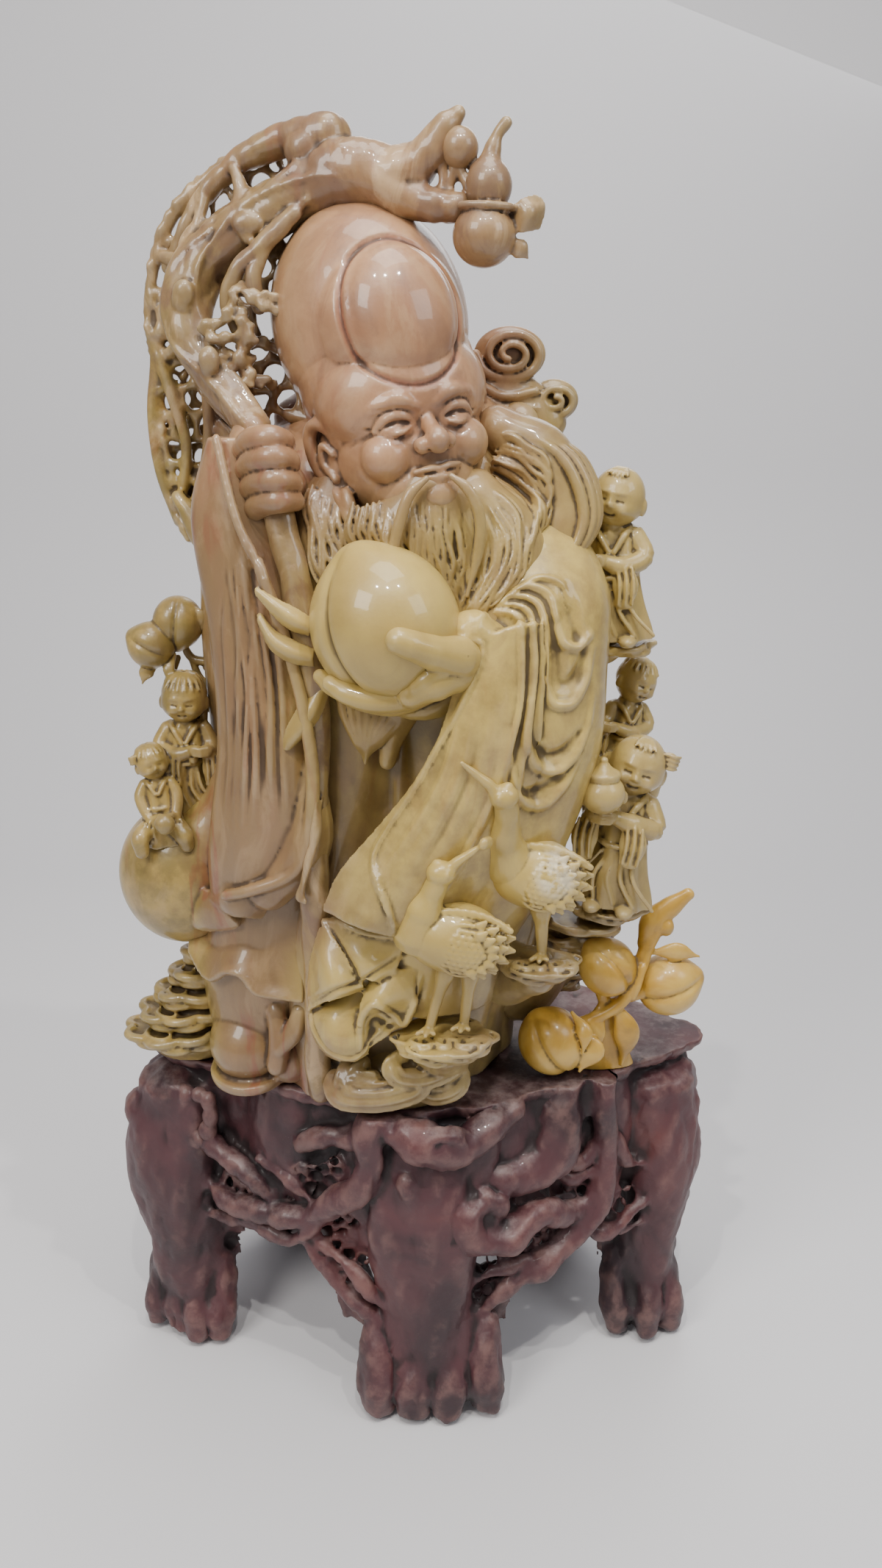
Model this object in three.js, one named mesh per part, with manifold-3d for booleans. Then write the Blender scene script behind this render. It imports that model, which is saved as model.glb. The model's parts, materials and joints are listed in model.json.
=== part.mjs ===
// Soapstone carving of an old sage with a high domed forehead. He grips a gnarled root staff and holds
// out a peach, with children, cranes and clouds round him, all cut from one stone. It stands on a
// root-carved stand of dark red stone, with a small spray of peaches set beside it on the stand.
// Millimetres, +Z up, front towards -Y. The group's origin is at the middle of the underside.
import * as THREE from "three";
import { mergeVertices } from "three/addons/utils/BufferGeometryUtils.js";
import Module from "manifold-3d";

const wasm = await Module();
wasm.setup();

// Driving dimensions
const STAND_HEIGHT = 218;
const PLATE_HALF_WIDTH = 183;
const PLATE_HALF_DEPTH = 88;
const PLATE_THICKNESS = 13;
const SEAT_GAP = 0.3;
const CARVING_FOOT = STAND_HEIGHT + SEAT_GAP;
const UNDER_FOOT = CARVING_FOOT - 5;
const SHOULDER_HEIGHT = 600;
const FOLD_COUNT = 11;
const FOLD_DEPTH = 0.035;
const HEAD_AT = [-4, -50, 590];
const HEAD_TURN_DEG = { pitch: -10, yaw: 22, roll: -10 };
const DOME_RADII = [51, 50, 59];
const FACE_THIRD = 25;
const FACE_HALF_WIDTH = 41;
const PEACH_AT = [-16, -98, 510];
const PEACH_RADII = [39, 37, 42];
const STAFF_RADIUS = 7;

const vector = ([x, y, z]) => new THREE.Vector3(x, y, z);
const radians = THREE.MathUtils.degToRad;

// A closed three.js geometry as a solid that can be joined and cut.
function solid(geometry) {
  const plain = new THREE.BufferGeometry();
  plain.setAttribute("position", (geometry.index ? geometry.toNonIndexed() : geometry).getAttribute("position"));
  const merged = mergeVertices(plain, 1e-3);
  const mesh = new wasm.Mesh({
    numProp: 3,
    vertProperties: merged.attributes.position.array,
    triVerts: new Uint32Array(merged.index.array),
  });
  mesh.merge();
  return new wasm.Manifold(mesh);
}

const join = (...solids) => wasm.Manifold.union(solids.flat(Infinity));

// Thins a closed mesh to the wanted number of triangles. It keeps collapsing the edge whose loss moves
// the surface least, measured by squared distances to the planes that met there, and skips an edge
// when its collapse would fold the surface over or pinch it.
function thinned(points, triangles, wanted) {
  const faces = triangles.map((corners) => [...corners]);
  const touching = points.map(() => new Set());
  faces.forEach((face, f) => face.forEach((v) => touching[v].add(f)));
  const normalOf = (a, b, c) => b.clone().sub(a).cross(c.clone().sub(a));
  const planes = points.map(() => new Float64Array(10));
  for (const face of faces) {
    const [a, b, c] = face.map((v) => points[v]);
    const area = normalOf(a, b, c);
    const size = area.length();
    const { x, y, z } = area.clone().divideScalar(size || 1);
    const d = -(x * a.x + y * a.y + z * a.z);
    const products = [x * x, x * y, x * z, x * d, y * y, y * z, y * d, z * z, z * d, d * d];
    for (const v of face) products.forEach((product, k) => (planes[v][k] += product * Math.sqrt(size)));
  }
  const errorAt = (q, { x, y, z }) =>
    q[0] * x * x + q[4] * y * y + q[7] * z * z + 2 * (q[1] * x * y + q[2] * x * z + q[5] * y * z) +
    2 * (q[3] * x + q[6] * y + q[8] * z) + q[9];

  const changes = points.map(() => 0);
  const queue = [];
  const before = (i, j) => queue[i].cost < queue[j].cost;
  const swap = (i, j) => ([queue[i], queue[j]] = [queue[j], queue[i]]);
  const offer = (u, v) => {
    const sum = planes[u].map((value, k) => value + planes[v][k]);
    const spots = [points[u], points[v], points[u].clone().lerp(points[v], 0.5)];
    const costs = spots.map((spot) => Math.max(0, errorAt(sum, spot)) + 1e-4 * points[u].distanceToSquared(points[v]));
    const best = costs.indexOf(Math.min(...costs));
    queue.push({ u, v, cost: costs[best], spot: spots[best].clone(), stamp: changes[u] + changes[v] });
    for (let i = queue.length - 1; i > 0 && before(i, (i - 1) >> 1); i = (i - 1) >> 1) swap(i, (i - 1) >> 1);
  };
  const cheapest = () => {
    const top = queue[0];
    const tail = queue.pop();
    if (queue.length > 0) queue[0] = tail;
    for (let i = 0; ; ) {
      const child = 2 * i + 2 < queue.length && before(2 * i + 2, 2 * i + 1) ? 2 * i + 2 : 2 * i + 1;
      if (child >= queue.length || !before(child, i)) return top;
      swap(i, child);
      i = child;
    }
  };
  const neighbours = (v) => new Set([...touching[v]].flatMap((f) => faces[f]).filter((w) => w !== v));
  points.forEach((_, v) => neighbours(v).forEach((w) => v < w && offer(v, w)));

  let left = faces.length;
  while (left > wanted && queue.length > 0) {
    const { u, v, spot, stamp } = cheapest();
    if (!touching[u].size || !touching[v].size || stamp !== changes[u] + changes[v]) continue;
    const aroundU = neighbours(u);
    const shared = [...neighbours(v)].filter((w) => aroundU.has(w));
    if (shared.length !== 2) continue;
    const lost = [...touching[u]].filter((f) => touching[v].has(f));
    const kept = [...touching[u], ...touching[v]].filter((f) => !lost.includes(f));
    const folds = kept.some((f) => {
      const old = faces[f].map((w) => points[w]);
      const moved = faces[f].map((w) => (w === u || w === v ? spot : points[w]));
      const was = normalOf(...old);
      const is = normalOf(...moved);
      return is.dot(was) < 0.3 * is.length() * was.length() || is.length() < 0.02;
    });
    if (folds) continue;
    for (const f of lost) {
      faces[f].forEach((w) => touching[w].delete(f));
      faces[f] = null;
    }
    for (const f of touching[v]) {
      faces[f][faces[f].indexOf(v)] = u;
      touching[u].add(f);
    }
    touching[v].clear();
    points[u] = spot;
    planes[v].forEach((value, k) => (planes[u][k] += value));
    changes[u] += 1;
    left -= lost.length;
    for (const w of neighbours(u)) offer(u, w);
  }
  return faces.filter((face) => face !== null);
}

// The outer stone of a form as a three.js geometry, without the bubbles that joined shapes enclose.
// It is thinned first and cut level at its foot and head afterwards, so that those faces stay flat.
function geometryOf(form, wanted, foot, head) {
  const outside = form.decompose().reduce((most, part) => (part.volume() > most.volume() ? part : most));
  const mesh = outside.getMesh();
  const points = Array.from({ length: mesh.numVert }, (_, v) => vector(mesh.vertProperties.slice(3 * v, 3 * v + 3)));
  const triangles = Array.from({ length: mesh.numTri }, (_, f) => [...mesh.triVerts.slice(3 * f, 3 * f + 3)]);
  const corners = thinned(points, triangles, wanted).flat().map((v) => points[v]);
  const thin = solid(new THREE.BufferGeometry().setFromPoints(corners));
  const level = thin.trimByPlane([0, 0, 1], foot).trimByPlane([0, 0, -1], -head).getMesh();
  const geometry = new THREE.BufferGeometry();
  geometry.setAttribute("position", new THREE.BufferAttribute(new Float32Array(level.vertProperties), 3));
  geometry.setIndex(new THREE.BufferAttribute(new Uint32Array(level.triVerts), 1));
  const faceted = geometry.toNonIndexed();
  faceted.computeVertexNormals();
  return faceted;
}

function turned({ pitch = 0, yaw = 0, roll = 0 } = {}, at = [0, 0, 0]) {
  return new THREE.Matrix4()
    .makeTranslation(...at)
    .multiply(new THREE.Matrix4().makeRotationY(radians(roll)))
    .multiply(new THREE.Matrix4().makeRotationZ(radians(yaw)))
    .multiply(new THREE.Matrix4().makeRotationX(radians(pitch)));
}

// Moves every vertex of a geometry to where the rule sends it.
function reshape(geometry, rule) {
  const place = geometry.attributes.position;
  for (let i = 0; i < place.count; i++) {
    const moved = rule(place.getX(i), place.getY(i), place.getZ(i));
    place.setXYZ(i, moved.x, moved.y, moved.z);
  }
  return geometry;
}

function ball(at, radii, { turn, around = 8, high = 5, frame } = {}) {
  const geometry = new THREE.SphereGeometry(1, around, high);
  geometry.rotateX(Math.PI / 2);
  geometry.scale(...radii);
  geometry.applyMatrix4(turned(turn, at));
  if (frame) geometry.applyMatrix4(frame);
  return solid(geometry);
}

// A limb with round ends along a smooth curve. A stop is [x, y, z, half width, half thickness], and
// the thickness is measured towards facing.
function limb(stops, { sides = 5, steps = stops.length, facing = [0, -1, 0], frame } = {}) {
  const curve = new THREE.CatmullRomCurve3(stops.map(vector), false, "centripetal");
  const front = vector(facing);
  const last = stops.length - 1;
  const sizeAt = (share, k) => {
    const low = Math.min(Math.floor(share * last), last - 1);
    const mix = THREE.MathUtils.smoothstep(share * last - low, 0, 1);
    const near = stops[low][k] ?? stops[low][3];
    const far = stops[low + 1][k] ?? stops[low + 1][3];
    return near + (far - near) * mix;
  };
  const geometry = new THREE.SphereGeometry(1, sides, steps + 2);
  reshape(geometry, (x, y, z) => {
    const row = Math.round((Math.acos(THREE.MathUtils.clamp(y, -1, 1)) / Math.PI) * (steps + 2));
    const pole = row === 0 || row === steps + 2;
    const share = THREE.MathUtils.clamp((row - 1) / steps, 0, 1);
    const middle = curve.getPoint(share);
    const along = curve.getTangent(share);
    const out = front.clone().addScaledVector(along, -front.dot(along)).normalize();
    const across = along.clone().cross(out);
    if (pole) {
      const reach = 0.5 * sizeAt(share, 3) * (row === 0 ? -1 : 1);
      return middle.addScaledVector(along, reach);
    }
    const round = Math.hypot(x, z);
    return middle
      .addScaledVector(across, (x / round) * sizeAt(share, 3))
      .addScaledVector(out, (-z / round) * sizeAt(share, 4));
  });
  if (frame) geometry.applyMatrix4(frame);
  return solid(geometry);
}

// A stack of level ovals. A section is [z, middle x, middle y, half width, half depth], and ripple
// gives the share that the outline stands out at an angle and height. Low powers make it a diamond.
function stack(sections, { sides = 12, rows = sections.length - 1, ripple = () => 0, power = () => 2, frame } = {}) {
  const curves = [0, 1, 2, 3, 4].map(
    (k) => new THREE.SplineCurve(sections.map((section, i) => new THREE.Vector2(i, section[k]))),
  );
  const geometry = new THREE.CylinderGeometry(1, 1, 2, sides, rows);
  reshape(geometry, (x, y, z) => {
    const [height, middleX, middleY, wide, deep] = curves.map((curve) => curve.getPoint((y + 1) / 2).y);
    if (Math.hypot(x, z) < 1e-6) return new THREE.Vector3(middleX, middleY, height);
    const angle = Math.atan2(z, x);
    const bend = power(angle);
    const square = Math.abs(Math.cos(angle)) ** bend + Math.abs(Math.sin(angle)) ** bend;
    const reach = (1 + ripple(angle, height)) / square ** (1 / bend);
    return new THREE.Vector3(
      middleX + Math.cos(angle) * reach * wide,
      middleY - Math.sin(angle) * reach * deep,
      height,
    );
  });
  if (frame) geometry.applyMatrix4(frame);
  return solid(geometry);
}

// An openwork band of wavy strands along a path. Each strand swings to meet the next one, so that
// lens-shaped holes are left between them.
function netting(path, { halfWidth, strands, waves, thick }) {
  const curve = new THREE.CatmullRomCurve3(path.map(vector), false, "centripetal");
  const gap = (2 * halfWidth) / (strands - 1);
  const beads = 2 * waves + 1;
  return join(
    Array.from({ length: strands }, (_, k) => {
      const stops = Array.from({ length: beads }, (_, i) => {
        const share = i / (beads - 1);
        const along = curve.getTangent(share);
        const swing = (i + k) % 2 === 0 ? 0.36 : -0.36;
        const aside = (k - (strands - 1) / 2 + swing) * gap * (0.75 + 0.25 * Math.sin(Math.PI * share));
        const { x, y, z } = curve.getPoint(share);
        return [x - along.z * aside, y + 2 * Math.sin(3 * i + k), z + along.x * aside, thick];
      });
      return limb(stops, { sides: 4, steps: beads - 1 });
    }),
  );
}

// A peach: a ball drawn up to a point, with a cleft down its front.
function peach(at, radii, { turn, around = 10, high = 7, point = 0.12, cleft = 0.06, frame } = {}) {
  const geometry = new THREE.SphereGeometry(1, around, high);
  geometry.rotateX(Math.PI / 2);
  reshape(geometry, (x, y, z) => {
    const rise = point * Math.max(0, z) ** 9;
    const dent = 1 - cleft * Math.exp(-((x / 0.16) ** 2)) * Math.max(0, -y);
    return new THREE.Vector3(x * dent, y * dent, z + rise);
  });
  geometry.scale(...radii);
  geometry.applyMatrix4(turned(turn, at));
  if (frame) geometry.applyMatrix4(frame);
  return solid(geometry);
}

// A leaf from its stalk to its tip, thin towards facing.
function leaf(from, to, wide, thick, { bulge = [0, 0, 0], facing = [0, -1, 0], sides = 4, frame } = {}) {
  const middle = from.map((value, k) => (value + to[k]) / 2 + bulge[k]);
  const stops = [[...from, wide * 0.25, thick * 0.6], [...middle, wide, thick], [...to, wide * 0.12, thick * 0.4]];
  return limb(stops, { sides, steps: 3, facing, frame });
}

// A round cloud ledge of stacked lobes.
function cloudLedge([x, y, z], wide, deep, high, lobes = 5) {
  const wavy = (angle) => 0.1 * Math.cos(lobes * angle);
  return stack(
    [
      [z - high, x, y, wide * 0.55, deep * 0.55],
      [z - high * 0.4, x, y, wide * 0.95, deep * 0.95],
      [z, x, y, wide, deep],
    ],
    { sides: 2 * lobes, rows: 2, ripple: wavy },
  );
}

// The robe's body, fluted round the back and plainer towards the shoulders.
function robe() {
  const flutes = (angle, z) => {
    const fade = THREE.MathUtils.clamp((SHOULDER_HEIGHT - z) / 200, 0, 1);
    return FOLD_DEPTH * fade * Math.sin(FOLD_COUNT * angle);
  };
  return stack(
    [
      [UNDER_FOOT, -38, -6, 84, 66],
      [300, -34, -2, 102, 72],
      [400, -14, -3, 105, 71],
      [500, -13, -4, 110, 70],
      [575, -14, -4, 100, 58],
      [620, -8, -10, 44, 34],
    ],
    { sides: 2 * FOLD_COUNT, rows: 8, ripple: flutes },
  );
}

// The sleeve of the raised arm, which hangs from the fist down the left side.
function raisedSleeve() {
  const hanging = stack(
    [
      [352, -94, -56, 30, 26],
      [380, -90, -58, 36, 32],
      [440, -92, -56, 38, 36],
      [500, -98, -52, 36, 34],
      [560, -102, -50, 28, 28],
      [600, -96, -54, 14, 15],
    ],
    { sides: 14, rows: 8, ripple: (angle) => 0.045 * Math.cos(7 * angle) },
  );
  const edge = limb(
    [
      [-100, -72, 596, 4],
      [-76, -86, 530, 5],
      [-56, -92, 460, 6],
      [-56, -92, 410, 7],
      [-72, -90, 368, 6],
      [-100, -84, 356, 5],
    ],
    { steps: 8 },
  );
  const hem = limb([[-58, -80, 430, 8], [-62, -82, 385, 14], [-84, -76, 358, 14]]);
  return join(hanging, edge, hem);
}

// The smooth hanging end of the sleeve at the left edge, with the two cloth ends beside it.
function sleeveEnds() {
  return join(
    ball([-143, -26, 346], [39, 34, 44], { around: 14, high: 9 }),
    limb([[-116, -34, 430, 14], [-130, -30, 385, 28, 24]], { steps: 2, sides: 8 }),
    limb([[-98, -68, 384, 14, 10], [-112, -76, 345, 24, 13], [-122, -70, 312, 17, 9]], { steps: 4, sides: 7 }),
    limb([[-80, -76, 376, 14, 10], [-94, -82, 342, 22, 12], [-106, -78, 312, 13, 8]], { steps: 4, sides: 7 }),
  );
}

// The skirt's flared hem over the shoe, with one deep wave at its left corner.
function skirtAndShoe() {
  const hemWave = (angle, z) => (z < 330 ? 0.06 * Math.cos(6 * angle + 0.6) : 0);
  const skirt = stack(
    [
      [267, -96, -34, 38, 36],
      [276, -98, -36, 46, 42],
      [300, -94, -38, 44, 40],
      [360, -78, -42, 38, 34],
    ],
    { sides: 18, rows: 5, ripple: hemWave },
  );
  const corner = limb([[-114, -48, 322, 12, 8], [-134, -44, 304, 15, 9], [-144, -36, 284, 10, 7]], { sides: 6, steps: 4 });
  const shoe = ball([-106, -48, 243], [24, 27, 25], { around: 12, high: 8 });
  const sole = stack([[UNDER_FOOT, -106, -50, 21, 23], [UNDER_FOOT + 12, -106, -50, 24, 26]], { sides: 12 });
  const instep = ball([-82, -50, 238], [17, 22, 20], { around: 8, high: 6 });
  return join(skirt, corner, shoe, sole, instep);
}

// The straight panel of the under-robe between the two sleeves, with its side pleats and sash.
function underRobe() {
  const panel = stack(
    [
      [UNDER_FOOT, -30, -52, 36, 24],
      [400, -24, -48, 36, 22],
      [470, -20, -50, 38, 20],
    ],
    { sides: 8, rows: 2, power: () => 3 },
  );
  const pleats = [-47, -36, -9, 5].map((x) => limb([[x, -68, 462, 4], [x - 4, -72, 250, 6]], { sides: 4, steps: 1 }));
  const sash = limb([[-57, -78, 450, 6, 4], [-60, -84, 410, 9, 5], [-62, -86, 372, 6, 4]], { steps: 3 });
  return join(panel, pleats, sash);
}

// The sleeve of the arm that holds the peach: a broad fall of cloth with hanging swags.
function peachSleeve() {
  const fall = stack(
    [
      [286, -2, -76, 48, 26],
      [320, 0, -76, 56, 30],
      [356, 10, -72, 62, 34],
      [400, 31, -68, 58, 38],
      [440, 45, -64, 54, 41],
      [480, 56, -60, 46, 43],
      [520, 60, -54, 42, 42],
      [548, 56, -44, 33, 32],
      [566, 48, -34, 18, 18],
    ],
    { sides: 18, rows: 11 },
  );
  const cuff = limb(
    [
      [30, -104, 512, 5],
      [20, -116, 486, 7],
      [8, -112, 440, 6],
      [-14, -108, 396, 6],
      [-48, -104, 352, 5],
    ],
    { steps: 9 },
  );
  const swagCount = 6;
  const swags = Array.from({ length: swagCount }, (_, k) => {
    const drop = k / (swagCount - 1);
    const bottom = 498 - 108 * drop;
    const left = [40 + 8 * drop, -98, 545 - 6 * k, 4];
    const middle = [50 + 7 * drop, -106 + 2 * drop, bottom + 34, 5];
    const lowest = [74 - 4 * drop, -99 + 2 * drop, bottom, 6];
    const right = [96 - 3 * drop, -68, bottom + 26, 5];
    return limb([left, middle, lowest, right, [101, -44, bottom + 44, 4]], { sides: 4, steps: 8 });
  });
  const ridges = [0, 1].map((k) =>
    limb([[36 + 8 * k, -106, 490, 4], [26 + 14 * k, -109, 430, 5], [4 + 20 * k, -107, 360, 6]], { sides: 4, steps: 4 }),
  );
  return join(fall, cuff, swags, ridges);
}

// The zigzag hem of that sleeve: two broad flaps that sweep down to the left over each other, and a
// small one beside them, with hollows scooped under their edges.
function zigzagHem() {
  const flaps = [
    [[26, -92, 408, 10, 10], [-6, -104, 376, 26, 13], [-30, -106, 350, 25, 9]],
    [[16, -94, 352, 14, 12], [-20, -104, 318, 31, 15], [-36, -105, 294, 27, 11], [-32, -102, 272, 15, 8]],
    [[38, -86, 318, 9, 9], [16, -94, 292, 18, 13], [4, -96, 276, 14, 10]],
  ].map((stops) => limb(stops, { sides: 12, steps: 6 }));
  const hollows = [
    ball([-22, -116, 335], [28, 11, 8], { turn: { roll: -14 }, around: 12, high: 6 }),
    ball([-16, -112, 290], [13, 10, 20], { turn: { roll: 24 }, around: 12, high: 6 }),
    ball([10, -106, 288], [9, 8, 14], { turn: { roll: 30 } }),
  ];
  return join(flaps).subtract(join(hollows));
}

// The head in its own frame: its middle at the origin, looking along -Y. The face is a plain, calm one
// in thirds: brow to nose, nose to chin, and the same above.
function head() {
  const frame = turned(HEAD_TURN_DEG, HEAD_AT);
  const browLine = 0.8 * FACE_THIRD;
  const noseBase = browLine - FACE_THIRD;
  const mouthLine = noseBase - FACE_THIRD / 3;
  const eyeLine = browLine - FACE_THIRD / 3;
  const eyeWidth = (2 * FACE_HALF_WIDTH) / 5;
  const dome = ball([0, 12, 72], DOME_RADII, { frame, around: 18, high: 12 });
  const temples = ball([0, 6, 40], [47, 43, 50], { frame, around: 16, high: 9 });
  const brow = ball([0, -31, 62], [29, 17, 34], { frame, around: 14, high: 9 });
  const face = ball([0, 2, 5], [FACE_HALF_WIDTH, 38, 39], { frame, around: 16, high: 10 });
  const jaw = ball([0, -8, noseBase - 12], [30, 27, 21], { frame, around: 10, high: 7 });
  const nose = limb([[0, -36, eyeLine, 4], [0, -42, noseBase + 6, 6], [0, -42, noseBase + 2, 8, 5]], { frame, steps: 3 });
  const lips = limb([[-12, -33, mouthLine + 1, 2], [0, -38, mouthLine, 4], [12, -33, mouthLine + 1, 2]], { frame });
  const sides = [-1, 1].map((side) => [
    ball([side * 1.2 * eyeWidth, -26, noseBase + 5], [12, 11, 11], { frame, around: 8, high: 6 }),
    limb(
      [
        [side * 5, -38, browLine - 1, 3],
        [side * eyeWidth, -37, browLine + 3, 3.5],
        [side * 30, -25, browLine - 1, 3],
      ],
      { frame, steps: 4 },
    ),
    ball([side * eyeWidth, -33, eyeLine], [eyeWidth / 2, 5, 4.5], { frame }),
    limb([[side * 41, 6, 22, 7, 6], [side * 44, 2, 2, 5, 5], [side * 41, -2, -20, 6, 5]], { frame, steps: 4 }),
  ]);
  return join(dome, temples, brow, face, jaw, nose, lips, sides);
}

// The beard: full locks that spread from the cheeks, go behind the peach and end in a point below it.
function beard() {
  const masses = [
    [[-40, -50, 582, 12, 14], [-46, -60, 560, 18, 14], [-46, -68, 536, 17, 12], [-40, -74, 516, 12, 8]],
    [[2, -68, 556, 24, 14], [-4, -78, 530, 28, 14], [-8, -80, 490, 24, 12], [-17, -77, 432, 5, 5]],
    [[28, -64, 570, 16, 16], [44, -70, 545, 22, 16], [38, -78, 512, 22, 14], [18, -80, 484, 14, 10]],
    [[42, -40, 604, 12, 16], [64, -44, 588, 18, 16], [76, -50, 560, 15, 12], [68, -60, 534, 8, 8]],
  ].map((stops) => limb(stops, { sides: 9, steps: 6 }));
  const lockCount = 13;
  const locks = Array.from({ length: lockCount }, (_, k) => {
    const share = k / (lockCount - 1);
    const spread = 2.4 * share - 1.1;
    const bow = 16 * Math.sin(Math.PI * share);
    const [x, y, z] = [6 + 40 * spread, -60 - bow, 560 + 26 * spread ** 2 + 10 * share];
    const long = 72 - 22 * share;
    return limb(
      [
        [x, y, z, 3],
        [x + 9 * spread, y - 10, z - long * 0.35, 5],
        [x + 20 * spread, y - 8, z - long * 0.7, 5],
        [x + 24 * spread, y, z - long, 2],
      ],
      { sides: 4, steps: 6 },
    );
  });
  const moustache = [-1, 1].map((side) =>
    limb([[9 + side * 5, -96, 579, 3.5], [8 + side * 14, -102, 566, 5], [4 + side * 19, -102, 538, 2]], { steps: 4 }),
  );
  return join(masses, locks, moustache);
}

// The open hand under the peach, with its thumb on the front, and the leaves on the far side.
function peachAndHand() {
  const fruit = peach(PEACH_AT, PEACH_RADII, { turn: { roll: -20, yaw: -35 }, around: 20, high: 14 });
  const palm = limb(
    [
      [48, -84, 494, 15, 14],
      [30, -108, 488, 14, 12],
      [10, -122, 479, 12, 9],
    ],
    { steps: 5, sides: 8 },
  );
  const thumb = limb([[28, -118, 496, 8.5], [13, -134, 502, 8], [-1, -137, 509, 8]], { sides: 6, steps: 4 });
  const fingers = [0, 1, 2, 3].map((k) =>
    limb([[12, -118 + 7 * k, 472 - k, 7], [-16, -124 + 8 * k, 463 - k, 7], [-44, -108 + 7 * k, 477 + 2 * k, 5.5]], {
      steps: 4,
    }),
  );
  const leaves = [
    leaf([-48, -98, 508], [-80, -96, 526], 9, 4, { bulge: [2, 0, 0], sides: 6 }),
    leaf([-46, -98, 494], [-84, -94, 508], 11, 4, { bulge: [4, -2, -8], sides: 6 }),
    leaf([-44, -90, 480], [-70, -92, 434], 12, 4, { bulge: [3, -2, 0], sides: 6 }),
  ];
  return join(fruit, palm, thumb, fingers, leaves);
}

// The fist that grips the staff.
function fist() {
  const palm = ball([-80, -60, 582], [16, 14, 24], { around: 10, high: 6 });
  const fingers = [602, 591, 580, 569].map((z, k) =>
    limb([[-97, -62, z, 6], [-84, -80 - k, z + 1, 7.5], [-68, -75 - k, z - 2, 7]], { steps: 3, sides: 6 }),
  );
  const wrist = limb([[-82, -56, 572, 13], [-98, -50, 548, 17]], { steps: 1, sides: 8 });
  return join(palm, fingers, wrist);
}

// The staff, from the root arch over the head down to the foot of the carving.
function staff() {
  const pole = limb(
    [
      [-84, -60, 604, 7],
      [-70, -74, 560, 8],
      [-57, -84, 500, 9],
      [-54, -84, 440, STAFF_RADIUS],
      [-61, -90, 300, STAFF_RADIUS],
      [-63, -84, 224, STAFF_RADIUS + 1],
    ],
    { sides: 6, steps: 8 },
  );
  const arch = limb(
    [
      [-84, -58, 602, 8],
      [-104, -44, 630, 10],
      [-119, -32, 655, 12],
      [-112, -27, 681, 11],
      [-88, -26, 700, 13],
      [-62, -30, 714, 13],
      [-36, -34, 724, 16],
      [-8, -42, 723, 12],
      [6, -47, 732, 8],
      [20, -50, 747, 5],
    ],
    { sides: 9, steps: 20 },
  );
  const prong = limb([[-16, -42, 720, 10], [4, -48, 710, 8], [24, -52, 707, 6]], { sides: 6, steps: 4 });
  const knob = ball([-44, -30, 741], [15, 11, 13], { around: 9, high: 6 });
  const rootLines = [
    [[-50, -24, 742, 9], [-76, -20, 738, 7], [-104, -18, 722, 6], [-124, -16, 694, 6], [-134, -14, 668, 4]],
    [[-84, -34, 708, 6], [-94, -40, 688, 5], [-84, -44, 668, 5], [-96, -46, 648, 4]],
    [[-66, -34, 704, 6], [-84, -40, 682, 5], [-106, -42, 660, 5]],
  ].map((stops) => limb(stops, { steps: 6 }));
  return join(pole, arch, prong, knob, rootLines);
}

// The gourd and small fruit that hang from the staff's tip.
function gourd() {
  const lower = ball([33, -55, 694], [14.5, 14.5, 14], { around: 8, high: 6 });
  const upper = ball([35, -55, 717], [10.5, 10.5, 11.5]);
  const collar = stack([[703, 34, -55, 10.5, 10.5], [708, 34, -55, 10.5, 10.5]], { sides: 8, rows: 1 });
  const neck = limb([[35, -55, 724, 7], [38, -55, 735, 3], [42, -55, 741, 2.5]], { sides: 4 });
  const stalk = limb([[14, -50, 712, 5], [24, -53, 706, 5]], { sides: 4, steps: 1 });
  const fruit = ball([20, -50, 733], [9, 9, 10], { around: 7 });
  const leaves = [
    leaf([40, -53, 700], [58, -50, 711], 7, 3, { bulge: [2, 0, -2] }),
    leaf([38, -53, 694], [53, -51, 684], 6, 3),
  ];
  return join(lower, upper, collar, neck, stalk, fruit, leaves);
}

// The openwork of twigs outside the arch and down the left shoulder, and the knotted twigs inside it.
function twigScreen() {
  const outer = netting([[-62, -14, 736], [-100, -12, 722], [-126, -10, 694], [-136, -8, 658]], {
    halfWidth: 13,
    strands: 3,
    waves: 7,
    thick: 3.8,
  });
  const shoulder = netting([[-124, -10, 668], [-122, -8, 630], [-124, -6, 590], [-134, -6, 552]], {
    halfWidth: 20,
    strands: 5,
    waves: 6,
    thick: 3.8,
  });
  const inner = netting([[-78, -22, 700], [-80, -24, 672], [-80, -26, 640], [-78, -28, 608]], {
    halfWidth: 17,
    strands: 4,
    waves: 5,
    thick: 4.2,
  });
  const ties = [
    [[-134, -14, 566, 5], [-118, -22, 545, 12]],
    [[-68, -22, 690, 6], [-44, -26, 684, 8]],
    [[-110, -12, 604, 5], [-92, -40, 590, 8]],
  ].map((stops) => limb(stops, { steps: 1 }));
  const twigs = [
    [[-64, -44, 670, 5], [-80, -46, 662, 7], [-94, -42, 650, 6], [-104, -40, 640, 7]],
    [[-94, -42, 650, 6], [-86, -46, 632, 7], [-76, -46, 616, 5]],
  ].map((stops) => limb(stops, { steps: 6 }));
  return join(outer, shoulder, inner, ties, twigs);
}

// A cloud scroll: a ball of cloud with a raised spiral on its front.
function scroll([x, y, z], size, thick) {
  const stops = Array.from({ length: 7 }, (_, k) => {
    const angle = 1.4 * k;
    const reach = size * (1 - 0.13 * k);
    return [x + reach * Math.cos(angle), y - k, z + 0.8 * reach * Math.sin(angle), thick * (1 - 0.06 * k)];
  });
  return join(limb(stops, { sides: 4, steps: 9 }), ball([x, y + thick, z], [size, thick, size * 0.8]));
}

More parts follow.
